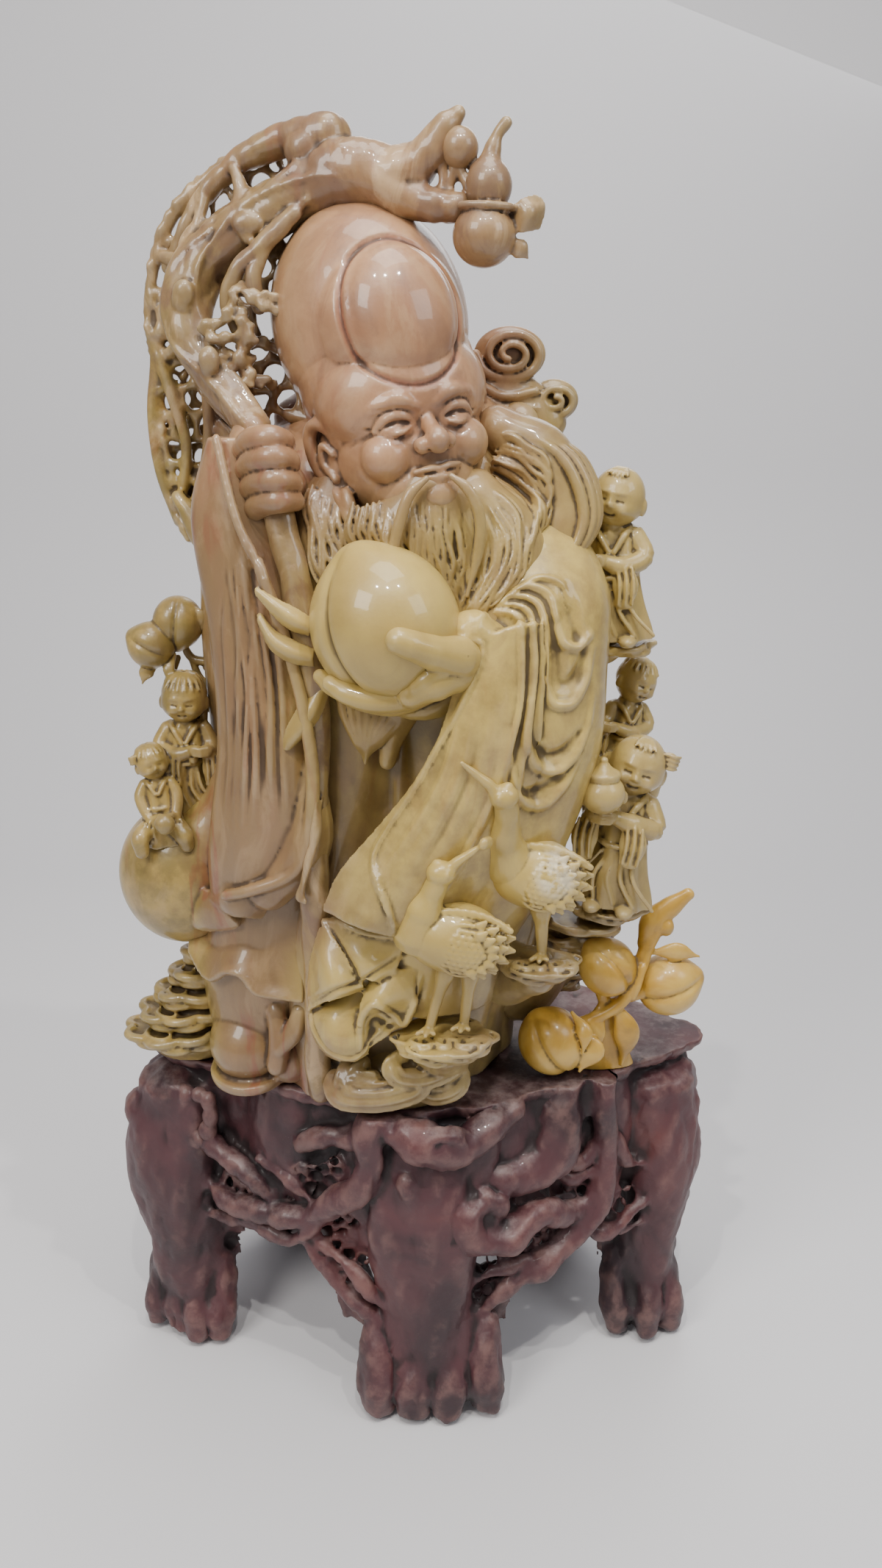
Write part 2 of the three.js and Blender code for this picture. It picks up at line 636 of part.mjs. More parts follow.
function clouds() {
  const shoulder = [
    scroll([52, 8, 640], 18, 5),
    scroll([72, 8, 618], 12, 4),
    limb([[20, 4, 618, 14, 12], [48, 4, 624, 18, 12], [70, 4, 606, 14, 12]], { steps: 2 }),
  ];
  const leftTiers = Array.from({ length: 5 }, (_, k) =>
    cloudLedge([-144 - 6 * Math.sin(0.8 * k), -12 - k, 292 - 13 * k], 18 + 3 * k, 16 + 2 * k, 8, 4 + k),
  );
  const leftFoot = [
    leftTiers,
    stack([[UNDER_FOOT, -148, -14, 24, 18], [230, -149, -15, 30, 22], [240, -149, -15, 24, 18]], { sides: 10 }),
    limb([[-138, -4, 236, 20], [-126, 0, 296, 18]], { steps: 1, sides: 8 }),
  ];
  const frontFoot = [
    stack([[UNDER_FOOT, -17, -62, 36, 24], [230, -17, -62, 42, 27], [252, -10, -58, 26, 18]], { sides: 10, rows: 3 }),
    limb([[-44, -82, 236, 5], [-16, -88, 232, 5], [12, -78, 240, 5], [2, -82, 252, 5]], { sides: 4 }),
  ];
  const craneLedges = [
    cloudLedge([14, -98, 276], 28, 21, 10, 6),
    limb([[14, -94, 270, 18], [10, -74, 250, 22], [4, -60, 236, 24]], { steps: 2 }),
    cloudLedge([68, -84, 316], 22, 17, 10),
    limb([[66, -80, 306, 13], [50, -60, 296, 20]], { steps: 1 }),
  ];
  const rightLedges = [
    cloudLedge([112, -22, 487], 20, 18, 7),
    limb([[108, -20, 482, 8], [92, -14, 474, 12]], { steps: 1 }),
    cloudLedge([112, -44, 334], 22, 19, 9),
    cloudLedge([98, -40, 323], 22, 18, 7),
    limb([[108, -30, 326, 14], [90, 2, 300, 22], [60, 0, 262, 30]], { steps: 3 }),
    limb([[112, -28, 334, 12], [112, -8, 380, 14], [98, -4, 430, 14]], { steps: 3 }),
    limb([[96, -22, 400, 8], [112, -16, 392, 9], [122, -18, 380, 8]], { sides: 4, steps: 2 }),
  ];
  const foot = stack(
    [[UNDER_FOOT, 4, -6, 52, 50], [250, 10, -4, 50, 48], [290, 24, 0, 52, 48]],
    { sides: 12, rows: 2, ripple: (angle) => 0.05 * Math.cos(6 * angle) },
  );
  return join(shoulder, leftFoot, frontFoot, craneLedges, rightLedges, foot);
}

// A child in a loose coat. Its feet are at the origin of its frame, and it looks along -Y.
function child(at, tall, { turn, seated = false, hairTufts = [] } = {}) {
  const frame = turned(turn, at).multiply(new THREE.Matrix4().makeScale(tall, tall, tall));
  const hem = seated ? 0.24 : 0.17;
  const coat = stack(
    [
      [0.03, 0, 0, hem, hem * 0.85],
      [0.42, 0, 0, 0.14, 0.12],
      [0.6, 0, 0.01, 0.16, 0.12],
      [0.7, 0, 0, 0.08, 0.08],
    ],
    { sides: 8, rows: 3, frame },
  );
  const skull = ball([0, 0, 0.83], [0.155, 0.15, 0.165], { frame, around: 8, high: 6 });
  const arms = [-1, 1].map((side) => [
    limb([[side * 0.15, 0, 0.6, 0.07], [side * 0.19, -0.07, 0.47, 0.08], [side * 0.05, -0.19, 0.46, 0.06]], {
      frame,
      sides: 5,
      steps: 2,
    }),
    ball([side * 0.08, -0.08, 0.03], [0.07, 0.11, 0.05], { frame, around: 5, high: 3 }),
  ]);
  const tufts = hairTufts.map(([x, y, z]) => ball([x, y, z], [0.055, 0.055, 0.05], { frame, around: 5, high: 3 }));
  return join(coat, skull, arms, tufts);
}

function children() {
  const upperRight = child([110, -28, 486], 98, { turn: { yaw: -12, roll: -3 }, hairTufts: [[0, -0.1, 0.97]] });
  const middleRight = child([118, -8, 396], 72, { turn: { yaw: 22, roll: 10 }, hairTufts: [[-0.1, 0, 0.98]] });
  const lowerRight = child([112, -48, 334], 106, {
    turn: { yaw: -16, roll: 7 },
    hairTufts: [[0.02, -0.08, 0.98], [0.15, 0, 0.9]],
  });
  const pot = [
    ball([101, -72, 414], [12, 12, 11.5]),
    stack([[422, 101, -72, 8, 8], [431, 101, -72, 2, 2]], { sides: 8, rows: 1 }),
  ];
  const upperLeft = child([-137, -22, 384], 84, { turn: { yaw: 4 }, hairTufts: [[-0.1, -0.04, 0.97], [0.1, -0.04, 0.97]] });
  const lowerLeft = child([-149, -42, 371], 58, {
    turn: { yaw: 10, roll: -4 },
    seated: true,
    hairTufts: [[-0.15, 0, 0.92], [0.15, 0, 0.92]],
  });
  const fruit = [
    peach([-153, -20, 484], [12, 12, 12.5], { turn: { roll: -50 }, around: 8, high: 6 }),
    peach([-139, -12, 494], [13, 13, 14], { turn: { roll: 20 }, around: 8, high: 6 }),
    limb([[-146, -10, 478, 4], [-126, -6, 450, 5], [-116, -10, 420, 7]], { sides: 4 }),
    limb([[-139, -8, 484, 4], [-112, -10, 472, 7]], { sides: 4, steps: 1 }),
    limb([[-142, -8, 472, 3], [-150, -6, 450, 4], [-132, -8, 410, 6]], { sides: 4 }),
  ];
  return join(upperRight, middleRight, lowerRight, pot, upperLeft, lowerLeft, fruit);
}

// A crane: neck stops run from its breast to its head, and its legs go down to its ledge.
function crane({ body, bodyRadii, bodyRoll, neck, beak, legs, tail }) {
  const headAt = neck[neck.length - 1];
  const feathers = Array.from({ length: 4 }, (_, k) => {
    const lift = 8 - 6 * k;
    const root = [tail[0] - 16, tail[1] - 5 + k, tail[2] + lift * 0.6];
    return leaf(root, [tail[0] + 2 - 2 * k, tail[1] + k, tail[2] + lift - 6], 5, 4);
  });
  const wing = [body[0] + 7, body[1] - bodyRadii[1] * 0.55, body[2] + 1];
  return join(
    ball(body, bodyRadii, { turn: { roll: bodyRoll }, around: 10, high: 6 }),
    ball(wing, [bodyRadii[0] * 0.62, 8, bodyRadii[2] * 0.7], { turn: { roll: bodyRoll } }),
    limb(neck, { sides: 6 }),
    ball(headAt, [8, 7, 7.5], { around: 6, high: 4 }),
    limb([[...headAt.slice(0, 3), 4], [...beak, 1.4]], { steps: 1, sides: 4 }),
    legs.map((stops) => limb(stops, { sides: 4, steps: 2 })),
    feathers,
  );
}

function cranes() {
  const near = crane({
    body: [28, -108, 334],
    bodyRadii: [27, 18, 19],
    bodyRoll: 8,
    neck: [[10, -110, 342, 12], [4, -113, 356, 8], [10, -116, 376, 6]],
    beak: [32, -120, 393],
    legs: [
      [[18, -106, 322, 4], [8, -104, 276, 3]],
      [[34, -104, 322, 4], [31, -100, 276, 3]],
    ],
    tail: [56, -104, 333],
  });
  const far = crane({
    body: [68, -94, 370],
    bodyRadii: [28, 17, 20],
    bodyRoll: 12,
    neck: [[50, -96, 378, 12], [46, -98, 392, 9], [47, -100, 413, 7]],
    beak: [24, -106, 434],
    legs: [[[70, -92, 356, 4.5], [70, -88, 314, 3.5]]],
    tail: [96, -88, 366],
  });
  return join(near, far);
}

function carving() {
  const body = join(robe(), raisedSleeve(), sleeveEnds(), skirtAndShoe(), underRobe(), peachSleeve(), zigzagHem());
  const figure = join(body, head(), beard(), peachAndHand(), fist(), staff(), gourd(), twigScreen());
  return join(figure, clouds(), children(), cranes());
}

// Three peaches on one leafy branch, set on the stand's right shoulder.
function peachSpray() {
  const fruit = [
    peach([81, -44, CARVING_FOOT + 21.5], [21, 20, 21.5], { turn: { roll: -30, yaw: -20 }, around: 12, high: 9 }),
    peach([113, -44, 291], [17, 16, 18], { turn: { roll: 15 }, around: 12, high: 8 }),
    peach([153, -34, 274], [20, 18, 20], { turn: { roll: 70 }, around: 12, high: 8 }),
  ];
  const branch = [
    limb([[90, -40, 250, 6], [124, -42, 270, 5], [135, -38, 290, 5], [141, -34, 312, 6]], { sides: 6 }),
    limb([[138, -36, 300, 5], [144, -34, 316, 7], [158, -36, 334, 4]], { sides: 6 }),
    limb([[112, -42, 268, 4], [108, -42, 282, 4]], { steps: 1 }),
    limb([[124, -42, 270, 5], [142, -38, 276, 5]], { steps: 1 }),
  ];
  const leaves = [
    leaf([110, -42, 268], [106, -46, CARVING_FOOT + 2], 10, 4, { bulge: [-4, 0, 0], sides: 6 }),
    leaf([120, -42, 270], [128, -38, CARVING_FOOT + 2], 9, 4, { bulge: [5, 0, 2], sides: 6 }),
    leaf([96, -48, 256], [94, -54, 230], 9, 4, { bulge: [6, -2, 0], sides: 6 }),
    leaf([140, -36, 296], [168, -34, 294], 8, 4, { bulge: [0, 0, 3], sides: 6 }),
  ];
  const foot = stack([[UNDER_FOOT, 110, -34, 24, 9], [256, 112, -38, 8, 5]], { sides: 8, rows: 2 });
  return join(fruit, branch, leaves, foot);
}

// One root leg: a shaft that leans out from the plate and spreads into a clawed foot on the floor.
function leg({ top, knee, ankle, foot, spread, toes, facing }) {
  const [aheadX, aheadY] = facing;
  const shaft = limb([top, knee, ankle, foot], { sides: 10, steps: 6, facing: [aheadX, aheadY, 0] });
  const claws = Array.from({ length: toes }, (_, k) => {
    const side = (2 * k) / (toes - 1) - 1;
    const x = foot[0] - aheadY * side * spread;
    const y = foot[1] + aheadX * side * spread;
    const reach = 12 + 8 * (1 - Math.abs(side));
    const wide = (0.9 * spread) / (toes - 1) + 6;
    return limb(
      [
        [x, y, 44, wide * 0.7, 12],
        [x + aheadX * reach * 0.6, y + aheadY * reach * 0.6, 24, wide, 14],
        [x + aheadX * reach, y + aheadY * reach, 4, wide * 0.9, 11],
      ],
      { sides: 8, steps: 5, facing: [aheadX, aheadY, 0] },
    );
  });
  return join(shaft, claws);
}

// The stand: a plate that narrows to the front, an apron of roots under its rim, and five root legs.
function stand() {
  const outline = (angle) => (Math.sin(angle) > 0 ? 1.25 : 1.9);
  const plateWave = (angle) => 0.014 * Math.cos(9 * angle + 1) + 0.01 * Math.cos(4 * angle);
  const plate = stack(
    [
      [STAND_HEIGHT - PLATE_THICKNESS, 0, 0, PLATE_HALF_WIDTH - 8, PLATE_HALF_DEPTH - 6],
      [STAND_HEIGHT - 6, 0, 0, PLATE_HALF_WIDTH, PLATE_HALF_DEPTH],
      [STAND_HEIGHT + 2, 0, 0, PLATE_HALF_WIDTH - 4, PLATE_HALF_DEPTH - 4],
    ],
    { sides: 36, power: outline, ripple: plateWave },
  );
  const apron = stack(
    [
      [48, 0, 0, 150, 78],
      [130, 0, 0, 172, 92],
      [180, 0, 0, 176, 92],
      [207, 0, 0, 168, 86],
    ],
    { sides: 32, rows: 5, power: outline, ripple: (angle) => 0.03 * Math.cos(11 * angle) },
  );
  const hollow = stack([[30, 0, 4, 136, 56], [150, 0, 4, 146, 64], [196, 0, 4, 132, 54]], { sides: 20, power: outline });
  const arches = [
    [-102, -54, 52, 82],
    [98, -48, 46, 88],
    [-150, 40, 50, 96],
    [150, 40, 50, 96],
    [0, 80, 66, 98],
  ].map(([x, y, wide, high]) => ball([x, y, 28], [wide, 60, high], { around: 14, high: 10 }));
  const legs = [
    {
      top: [2, -72, 196, 56, 18], knee: [2, -84, 136, 44, 22], ankle: [4, -82, 74, 32, 22], foot: [6, -82, 12, 42, 24],
      spread: 34, toes: 4, facing: [0, -1],
    },
    {
      top: [-158, -12, 192, 30, 26], knee: [-166, -14, 136, 36, 30], ankle: [-162, -14, 72, 30, 28],
      foot: [-158, -14, 10, 32, 26], spread: 24, toes: 4, facing: [-0.3, -0.95],
    },
    {
      top: [152, -10, 192, 28, 24], knee: [158, -10, 136, 32, 28], ankle: [152, -10, 72, 26, 24],
      foot: [149, -12, 10, 26, 22], spread: 18, toes: 3, facing: [0.2, -0.98],
    },
    {
      top: [-84, 62, 192, 36, 18], knee: [-88, 70, 136, 34, 20], ankle: [-88, 68, 72, 26, 18],
      foot: [-90, 70, 10, 28, 18], spread: 18, toes: 3, facing: [-0.2, 0.98],
    },
    {
      top: [84, 62, 192, 36, 18], knee: [88, 70, 136, 34, 20], ankle: [88, 68, 72, 26, 18],
      foot: [90, 70, 10, 28, 18], spread: 18, toes: 3, facing: [0.2, 0.98],
    },
  ].map(leg);
  const roots = [
    [[-140, -34, 172, 9], [-100, -58, 140, 8], [-66, -78, 112, 9], [-44, -86, 84, 8], [-26, -90, 44, 7]],
    [[124, -40, 152, 9], [92, -58, 118, 9], [64, -74, 90, 10], [46, -84, 62, 9], [32, -90, 40, 8]],
    [[-172, -30, 136, 8], [-132, -52, 124, 7], [-94, -72, 132, 9], [-58, -90, 158, 10], [-44, -92, 196, 9]],
    [[-40, -88, 202, 9], [-8, -98, 190, 13], [26, -96, 186, 11], [64, -74, 200, 9]],
    [[118, -44, 204, 9], [108, -56, 178, 9], [116, -56, 150, 9], [104, -62, 122, 9], [72, -78, 112, 13], [46, -92, 130, 11]],
    [[170, -18, 136, 8], [142, -38, 122, 7], [114, -56, 134, 8]],
    [[-156, 26, 150, 9], [-126, 52, 116, 8], [-100, 68, 84, 9]],
    [[156, 26, 150, 9], [126, 52, 116, 8], [100, 68, 84, 9]],
    [[-76, 78, 130, 9], [-30, 84, 150, 9], [12, 86, 132, 9], [62, 80, 120, 9]],
  ].map((stops) => limb(stops, { sides: 6, steps: 2 * stops.length - 2 }));
  const drills = [
    [-116, 150, 7], [-103, 138, 5], [-92, 148, 6], [-84, 128, 5], [-76, 142, 5], [-62, 104, 5], [-60, 132, 6],
    [84, 134, 6], [78, 112, 5], [98, 142, 5], [90, 98, 5], [62, 74, 5], [132, 152, 6],
  ].map(([x, z, radius]) => {
    const drill = new THREE.CylinderGeometry(radius, radius, 70, 7);
    return solid(drill.translate(x, -60, z));
  });
  const shell = apron.subtract(join(hollow, arches, drills));
  return join(plate, shell, join(legs).subtract(hollow), roots);
}

const soapstone = new THREE.MeshStandardMaterial({ color: 0xc9b98e, roughness: 0.3, metalness: 0 });
const yellowStone = new THREE.MeshStandardMaterial({ color: 0xc99a3c, roughness: 0.3, metalness: 0 });
const redStone = new THREE.MeshStandardMaterial({ color: 0x5c2a30, roughness: 0.45, metalness: 0 });

function piece(name, form, material, triangles, foot, head = 1000) {
  const mesh = new THREE.Mesh(geometryOf(form, triangles, foot, head), material);
  mesh.name = name;
  return mesh;
}

const group = new THREE.Group();
group.add(
  piece("carving", carving(), soapstone, 7000, CARVING_FOOT),
  piece("peach_spray", peachSpray(), yellowStone, 560, CARVING_FOOT),
  piece("stand", stand(), redStone, 1900, 0, STAND_HEIGHT),
);
const middle = new THREE.Box3().setFromObject(group).getCenter(new THREE.Vector3());
group.position.set(-middle.x, -middle.y, 0);

export default group;
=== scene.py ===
# Looks of the old sage carved in soapstone, on its red stone root stand.
# Sizes are millimetres in the carver's own frame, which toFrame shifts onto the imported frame.
import json
import math
import random
import time

import bpy
import numpy as np
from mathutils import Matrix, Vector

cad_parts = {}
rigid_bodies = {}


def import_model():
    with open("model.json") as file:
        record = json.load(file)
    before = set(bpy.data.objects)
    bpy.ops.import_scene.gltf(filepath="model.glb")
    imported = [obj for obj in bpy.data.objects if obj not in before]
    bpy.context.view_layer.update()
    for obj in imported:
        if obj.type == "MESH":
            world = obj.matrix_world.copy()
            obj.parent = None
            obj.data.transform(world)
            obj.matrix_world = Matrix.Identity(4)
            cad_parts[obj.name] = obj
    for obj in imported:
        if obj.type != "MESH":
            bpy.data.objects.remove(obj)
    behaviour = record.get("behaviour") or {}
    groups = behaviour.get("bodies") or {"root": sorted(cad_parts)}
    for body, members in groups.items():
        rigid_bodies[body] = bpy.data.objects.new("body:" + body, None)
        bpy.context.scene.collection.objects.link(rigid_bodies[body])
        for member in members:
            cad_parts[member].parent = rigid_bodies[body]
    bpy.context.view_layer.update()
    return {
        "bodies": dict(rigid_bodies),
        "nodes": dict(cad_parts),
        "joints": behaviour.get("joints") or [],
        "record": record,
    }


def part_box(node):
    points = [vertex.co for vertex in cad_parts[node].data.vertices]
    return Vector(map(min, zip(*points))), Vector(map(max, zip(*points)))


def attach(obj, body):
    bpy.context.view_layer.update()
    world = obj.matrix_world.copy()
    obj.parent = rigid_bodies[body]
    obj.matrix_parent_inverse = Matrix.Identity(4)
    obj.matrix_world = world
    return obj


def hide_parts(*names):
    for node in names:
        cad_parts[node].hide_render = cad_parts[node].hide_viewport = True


began = time.time()
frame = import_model()
bpy.ops.object.select_all(action="DESELECT")
print("frame loaded")

# Where the stand ends in the carver's frame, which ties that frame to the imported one
carverFrame = {"standLeft": -200.3, "standBack": 99.6}
standTop = 218.3
standLow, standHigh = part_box("stand")
shift = np.array([
    standLow.x * 1000 - carverFrame["standLeft"],
    standHigh.y * 1000 - carverFrame["standBack"],
    0.0,
])

photoCamera = {
    "at": (12, -685, 625),
    "downDeg": 18.7,
    "focalPixels": 1603,
    "widePixels": 1200,
    "highPixels": 2133,
    "sensor": 36,
}


def toFrame(points):
    return (np.asarray(points, float) + shift) / 1000


# The point that a pixel of the photograph shows at a given depth
def seen(px, py, y):
    down = math.radians(photoCamera["downDeg"])
    u = (px - photoCamera["widePixels"] / 2) / photoCamera["focalPixels"]
    v = (photoCamera["highPixels"] / 2 - py) / photoCamera["focalPixels"]
    ahead = math.cos(down) + v * math.sin(down)
    rise = v * math.cos(down) - math.sin(down)
    far = (y - photoCamera["at"][1]) / ahead
    return [photoCamera["at"][0] + u * far, y, photoCamera["at"][2] + rise * far]


# The same for a row of stops, each a pixel and a depth with its widths after them
def shown(*stops):
    return [seen(*stop[:3]) + list(stop[3:]) for stop in stops]


def makeCamera():
    bpy.ops.object.camera_add(
        location=tuple(toFrame(photoCamera["at"])),
        rotation=(math.radians(90 - photoCamera["downDeg"]), 0, 0),
    )
    camera = bpy.context.object
    camera.name = "photoView"
    camera.data.sensor_width = photoCamera["sensor"]
    camera.data.lens = photoCamera["sensor"] * photoCamera["focalPixels"] / photoCamera["highPixels"]
    camera.data.clip_start = 0.01
    bpy.context.scene.camera = camera


makeCamera()


# A smooth curve through stops, read at shares from 0 to 1, with its direction
def curveAt(stops, shares):
    stops = np.asarray(stops, float)
    last = len(stops) - 1
    ends = np.vstack([2 * stops[0] - stops[1], stops, 2 * stops[-1] - stops[-2]])
    gaps = np.sqrt(np.maximum(np.linalg.norm(np.diff(ends, axis=0), axis=1), 1e-6))
    place = np.clip(shares, 0, 1) * last
    low = np.minimum(place.astype(int), last - 1)
    t = (place - low)[:, None]
    a, b, c, d = (ends[low + k] for k in range(4))
    g, h, i = (gaps[low + k][:, None] for k in range(3))
    leave = ((b - a) / g - (c - a) / (g + h) + (c - b) / h) * h
    arrive = ((c - b) / h - (d - b) / (h + i) + (d - c) / i) * h
    points = (
        b * (2 * t**3 - 3 * t**2 + 1) + leave * (t**3 - 2 * t**2 + t)
        + c * (3 * t**2 - 2 * t**3) + arrive * (t**3 - t**2)
    )
    ways = (
        b * (6 * t**2 - 6 * t) + leave * (3 * t**2 - 4 * t + 1)
        + c * (6 * t - 6 * t**2) + arrive * (3 * t**2 - 2 * t)
    )
    return points, unit(ways)


def unit(vectors):
    size = np.linalg.norm(vectors, axis=-1, keepdims=True)
    return vectors / np.maximum(size, 1e-9)


# Values between stops, eased from one to the next
def easedAt(values, shares):
    values = np.asarray(values, float)
    last = len(values) - 1
    place = np.clip(shares, 0, 1) * last
    low = np.minimum(place.astype(int), last - 1)
    t = place - low
    ease = t * t * (3 - 2 * t)
    return values[low] * (1 - ease) + values[low + 1] * ease


# A frame turned about X, then Z, then Y, and moved, as a 4 by 4 matrix
def turned(pitch=0, yaw=0, roll=0, at=(0, 0, 0)):
    p, w, r = (math.radians(v) for v in (pitch, yaw, roll))
    aboutX = np.array([[1, 0, 0], [0, math.cos(p), -math.sin(p)], [0, math.sin(p), math.cos(p)]])
    aboutZ = np.array([[math.cos(w), -math.sin(w), 0], [math.sin(w), math.cos(w), 0], [0, 0, 1]])
    aboutY = np.array([[math.cos(r), 0, math.sin(r)], [0, 1, 0], [-math.sin(r), 0, math.cos(r)]])
    matrix = np.eye(4)
    matrix[:3, :3] = aboutY @ aboutZ @ aboutX
    matrix[:3, 3] = at
    return matrix


def placed(points, matrix):
    return points if matrix is None else points @ matrix[:3, :3].T + matrix[:3, 3]


ballShapes = {}


# The points and faces of a round primitive, modelled once for each fineness and then copied
def unitBall(around, high):
    if (around, high) not in ballShapes:
        bpy.ops.mesh.primitive_uv_sphere_add(segments=around, ring_count=high, radius=1, location=(0, 0, 0))
        made = bpy.context.object
        points = np.array([v.co for v in made.data.vertices], float)
        faces = [tuple(p.vertices) for p in made.data.polygons]
        bpy.data.objects.remove(made)
        ballShapes[around, high] = (points, faces)
    return ballShapes[around, high]


def ball(at, radii, turn=None, around=24, high=16, frame=None):
    points, faces = unitBall(around, high)
    matrix = turned(**(turn or {}), at=at)
    return placed(placed(points * np.asarray(radii, float), matrix), frame), faces


# A limb with round ends along a smooth curve. A stop is x, y, z, half width and half thickness, and
# the thickness is measured towards facing.
def limb(stops, sides=12, steps=None, facing=(0, -1, 0), capRound=1.0, frame=None):
    caps = 3
    steps = steps or 6 * (len(stops) - 1)
    rings = steps + 2 * caps
    points, faces = unitBall(sides, rings)
    row = np.rint(np.arccos(np.clip(points[:, 2], -1, 1)) / math.pi * rings).astype(int)
    shares = np.clip((np.arange(rings + 1) - caps) / steps, 0, 1)
    middles, ways = curveAt([s[:3] for s in stops], shares)
    wide = easedAt([s[3] for s in stops], shares)
    thick = easedAt([s[4] if len(s) > 4 else s[3] for s in stops], shares)
    out = np.asarray(facing, float) - (ways @ np.asarray(facing, float))[:, None] * ways
    out = unit(out)
    across = np.cross(ways, out)
    bend = np.zeros(rings + 1)
    bend[:caps] = -(1 - np.arange(caps) / caps) * math.pi / 2
    bend[-caps:] = (np.arange(1, caps + 1) / caps) * math.pi / 2
    middles = middles + ways * (np.sin(bend) * np.minimum(wide, thick) * capRound)[:, None]
    wide, thick = wide * np.cos(bend), thick * np.cos(bend)
    flat = np.hypot(points[:, 0], points[:, 1])
    flat[flat < 1e-6] = 1
    made = (
        middles[row]
        + across[row] * (points[:, 0] / flat * wide[row])[:, None]
        + out[row] * (points[:, 1] / flat * thick[row])[:, None]
    )
    return placed(made, frame), faces


# A stack of level ovals. A section is height, middle x, middle y, half width and half depth, and
# ripple gives the share that the outline stands out at an angle and height.
def stack(sections, sides=64, rows=None, ripple=None, power=None, frame=None):
    rows = rows or 12 * (len(sections) - 1)
    sections = np.asarray(sections, float)
    shares = np.linspace(0, 1, rows + 1)
    padded = np.column_stack([np.arange(len(sections)) * 1e3, sections])
    read, _ = curveAt(padded, shares)
    height, middleX, middleY, wide, deep = (read[:, k][:, None] for k in range(1, 6))
    angle = np.linspace(0, 2 * math.pi, sides, endpoint=False)[None, :]
    bend = power(angle) if power else 2.0
    square = np.abs(np.cos(angle)) ** bend + np.abs(np.sin(angle)) ** bend
    reach = 1 / square ** (1 / bend)
    if ripple:
        reach = reach * (1 + ripple(angle, height))
    x = middleX + np.cos(angle) * reach * wide
    y = middleY - np.sin(angle) * reach * deep
    z = height + 0 * angle
    grid = np.stack([x, y, z], -1).reshape(-1, 3)
    ends = [[middleX[0, 0], middleY[0, 0], height[0, 0]], [middleX[-1, 0], middleY[-1, 0], height[-1, 0]]]
    points = np.vstack([grid, ends])
    faces = []
    for r in range(rows):
        for s in range(sides):
            t = (s + 1) % sides
            faces.append((r * sides + s, (r + 1) * sides + s, (r + 1) * sides + t, r * sides + t))
    foot, top = len(grid), len(grid) + 1
    for s in range(sides):
        t = (s + 1) % sides
        faces.append((foot, s, t))
        faces.append((top, rows * sides + t, rows * sides + s))
    return placed(points, frame), faces


# A sheet of cloth or leaf of even thickness, lofted through rows of points and closed at its rim
def panel(rows, thick, across=24, along=24):
    lines = [curveAt(row, np.linspace(0, 1, across + 1))[0] for row in rows]
    columns = np.stack(lines)
    grid = np.stack([curveAt(columns[:, k], np.linspace(0, 1, along + 1))[0] for k in range(across + 1)], 1)
    normal = unit(np.cross(np.gradient(grid, axis=1), np.gradient(grid, axis=0)))
    front, back = grid + normal * thick / 2, grid - normal * thick / 2
    points = np.concatenate([front.reshape(-1, 3), back.reshape(-1, 3)])
    wide, half = across + 1, (along + 1) * (across + 1)
    faces = []
    for r in range(along):
        for c in range(across):
            a = r * wide + c
            faces.append((a, a + 1, a + wide + 1, a + wide))
            faces.append((half + a, half + a + wide, half + a + wide + 1, half + a + 1))
    rim = [r * wide for r in range(along)] + [along * wide + c for c in range(across)]
    rim += [r * wide + across for r in range(along, 0, -1)] + [c for c in range(across, 0, -1)]
    for k, a in enumerate(rim):
        b = rim[(k + 1) % len(rim)]
        faces.append((a, b, half + b, half + a))
    return points, faces


def leaf(start, end, wide, thick, bulge=(0, 0, 0)):
    middle = [(a + b) / 2 + c for a, b, c in zip(start, end, bulge)]
    stops = [[*start, wide * 0.25, thick * 0.6], [*middle, wide, thick], [*end, wide * 0.12, thick * 0.4]]
    return limb(stops, steps=14)


# A peach: a ball drawn up to a point, with a cleft that runs from the point down its front
def peach(at, radii, turn=None, point=0.16, cleft=0.1, narrow=0.1, around=56, high=40):
    points, faces = unitBall(around, high)
    x, y, z = points.T
    front = np.clip(-y + 0.2, 0, 1)
    dent = 1 - cleft * np.exp(-((x / narrow) ** 2)) * front - 0.5 * cleft * np.exp(-((x / 0.3) ** 2)) * front
    drawn = np.stack([x * dent, y * dent, z * (0.4 + 0.6 * dent) + point * np.maximum(0, z) ** 14], -1)
    matrix = turned(**(turn or {}), at=at)
    return placed(drawn * np.asarray(radii, float), matrix), faces


# One mesh object of many closed forms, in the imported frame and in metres
def makeObject(name, forms):
    points, faces, count = [], [], 0
    for shape, sides in forms:
        points.append(shape)
        faces.extend(tuple(count + v for v in side) for side in sides)
        count += len(shape)
    mesh = bpy.data.meshes.new(name)
    mesh.from_pydata(toFrame(np.concatenate(points)), [], faces)
    made = bpy.data.objects.new(name, mesh)
    bpy.context.scene.collection.objects.link(made)
    return made


def alone(piece):
    bpy.ops.object.select_all(action="DESELECT")
    piece.select_set(True)
    bpy.context.view_layer.objects.active = piece


def modify(piece, kind, **settings):
    alone(piece)
    bpy.ops.object.modifier_add(type=kind)
    modifier = piece.modifiers[-1]
    for key, value in settings.items():
        setattr(modifier, key, value)
    bpy.ops.object.modifier_apply(modifier=modifier.name)


def joined(name, pieces):
    alone(pieces[0])
    for piece in pieces:
        piece.select_set(True)
    bpy.ops.object.join()
    pieces[0].name = name
    return pieces[0]


# Fuses overlapping forms into one skin and softens it
def fuse(piece, voxel, soften=2):
    modify(piece, "REMESH", mode="VOXEL", voxel_size=voxel / 1000)
    if soften:
        modify(piece, "SMOOTH", factor=0.5, iterations=soften)
    return piece


def thin(piece, most):
    triangles = sum(len(p.vertices) - 2 for p in piece.data.polygons)
    if triangles > most:
        modify(piece, "DECIMATE", decimate_type="COLLAPSE", ratio=most / triangles)
    print(piece.name, triangles, "->", sum(len(p.vertices) - 2 for p in piece.data.polygons))


def readPoints(mesh):
    points = np.empty(len(mesh.vertices) * 3)
    mesh.vertices.foreach_get("co", points)
    return points.reshape(-1, 3)


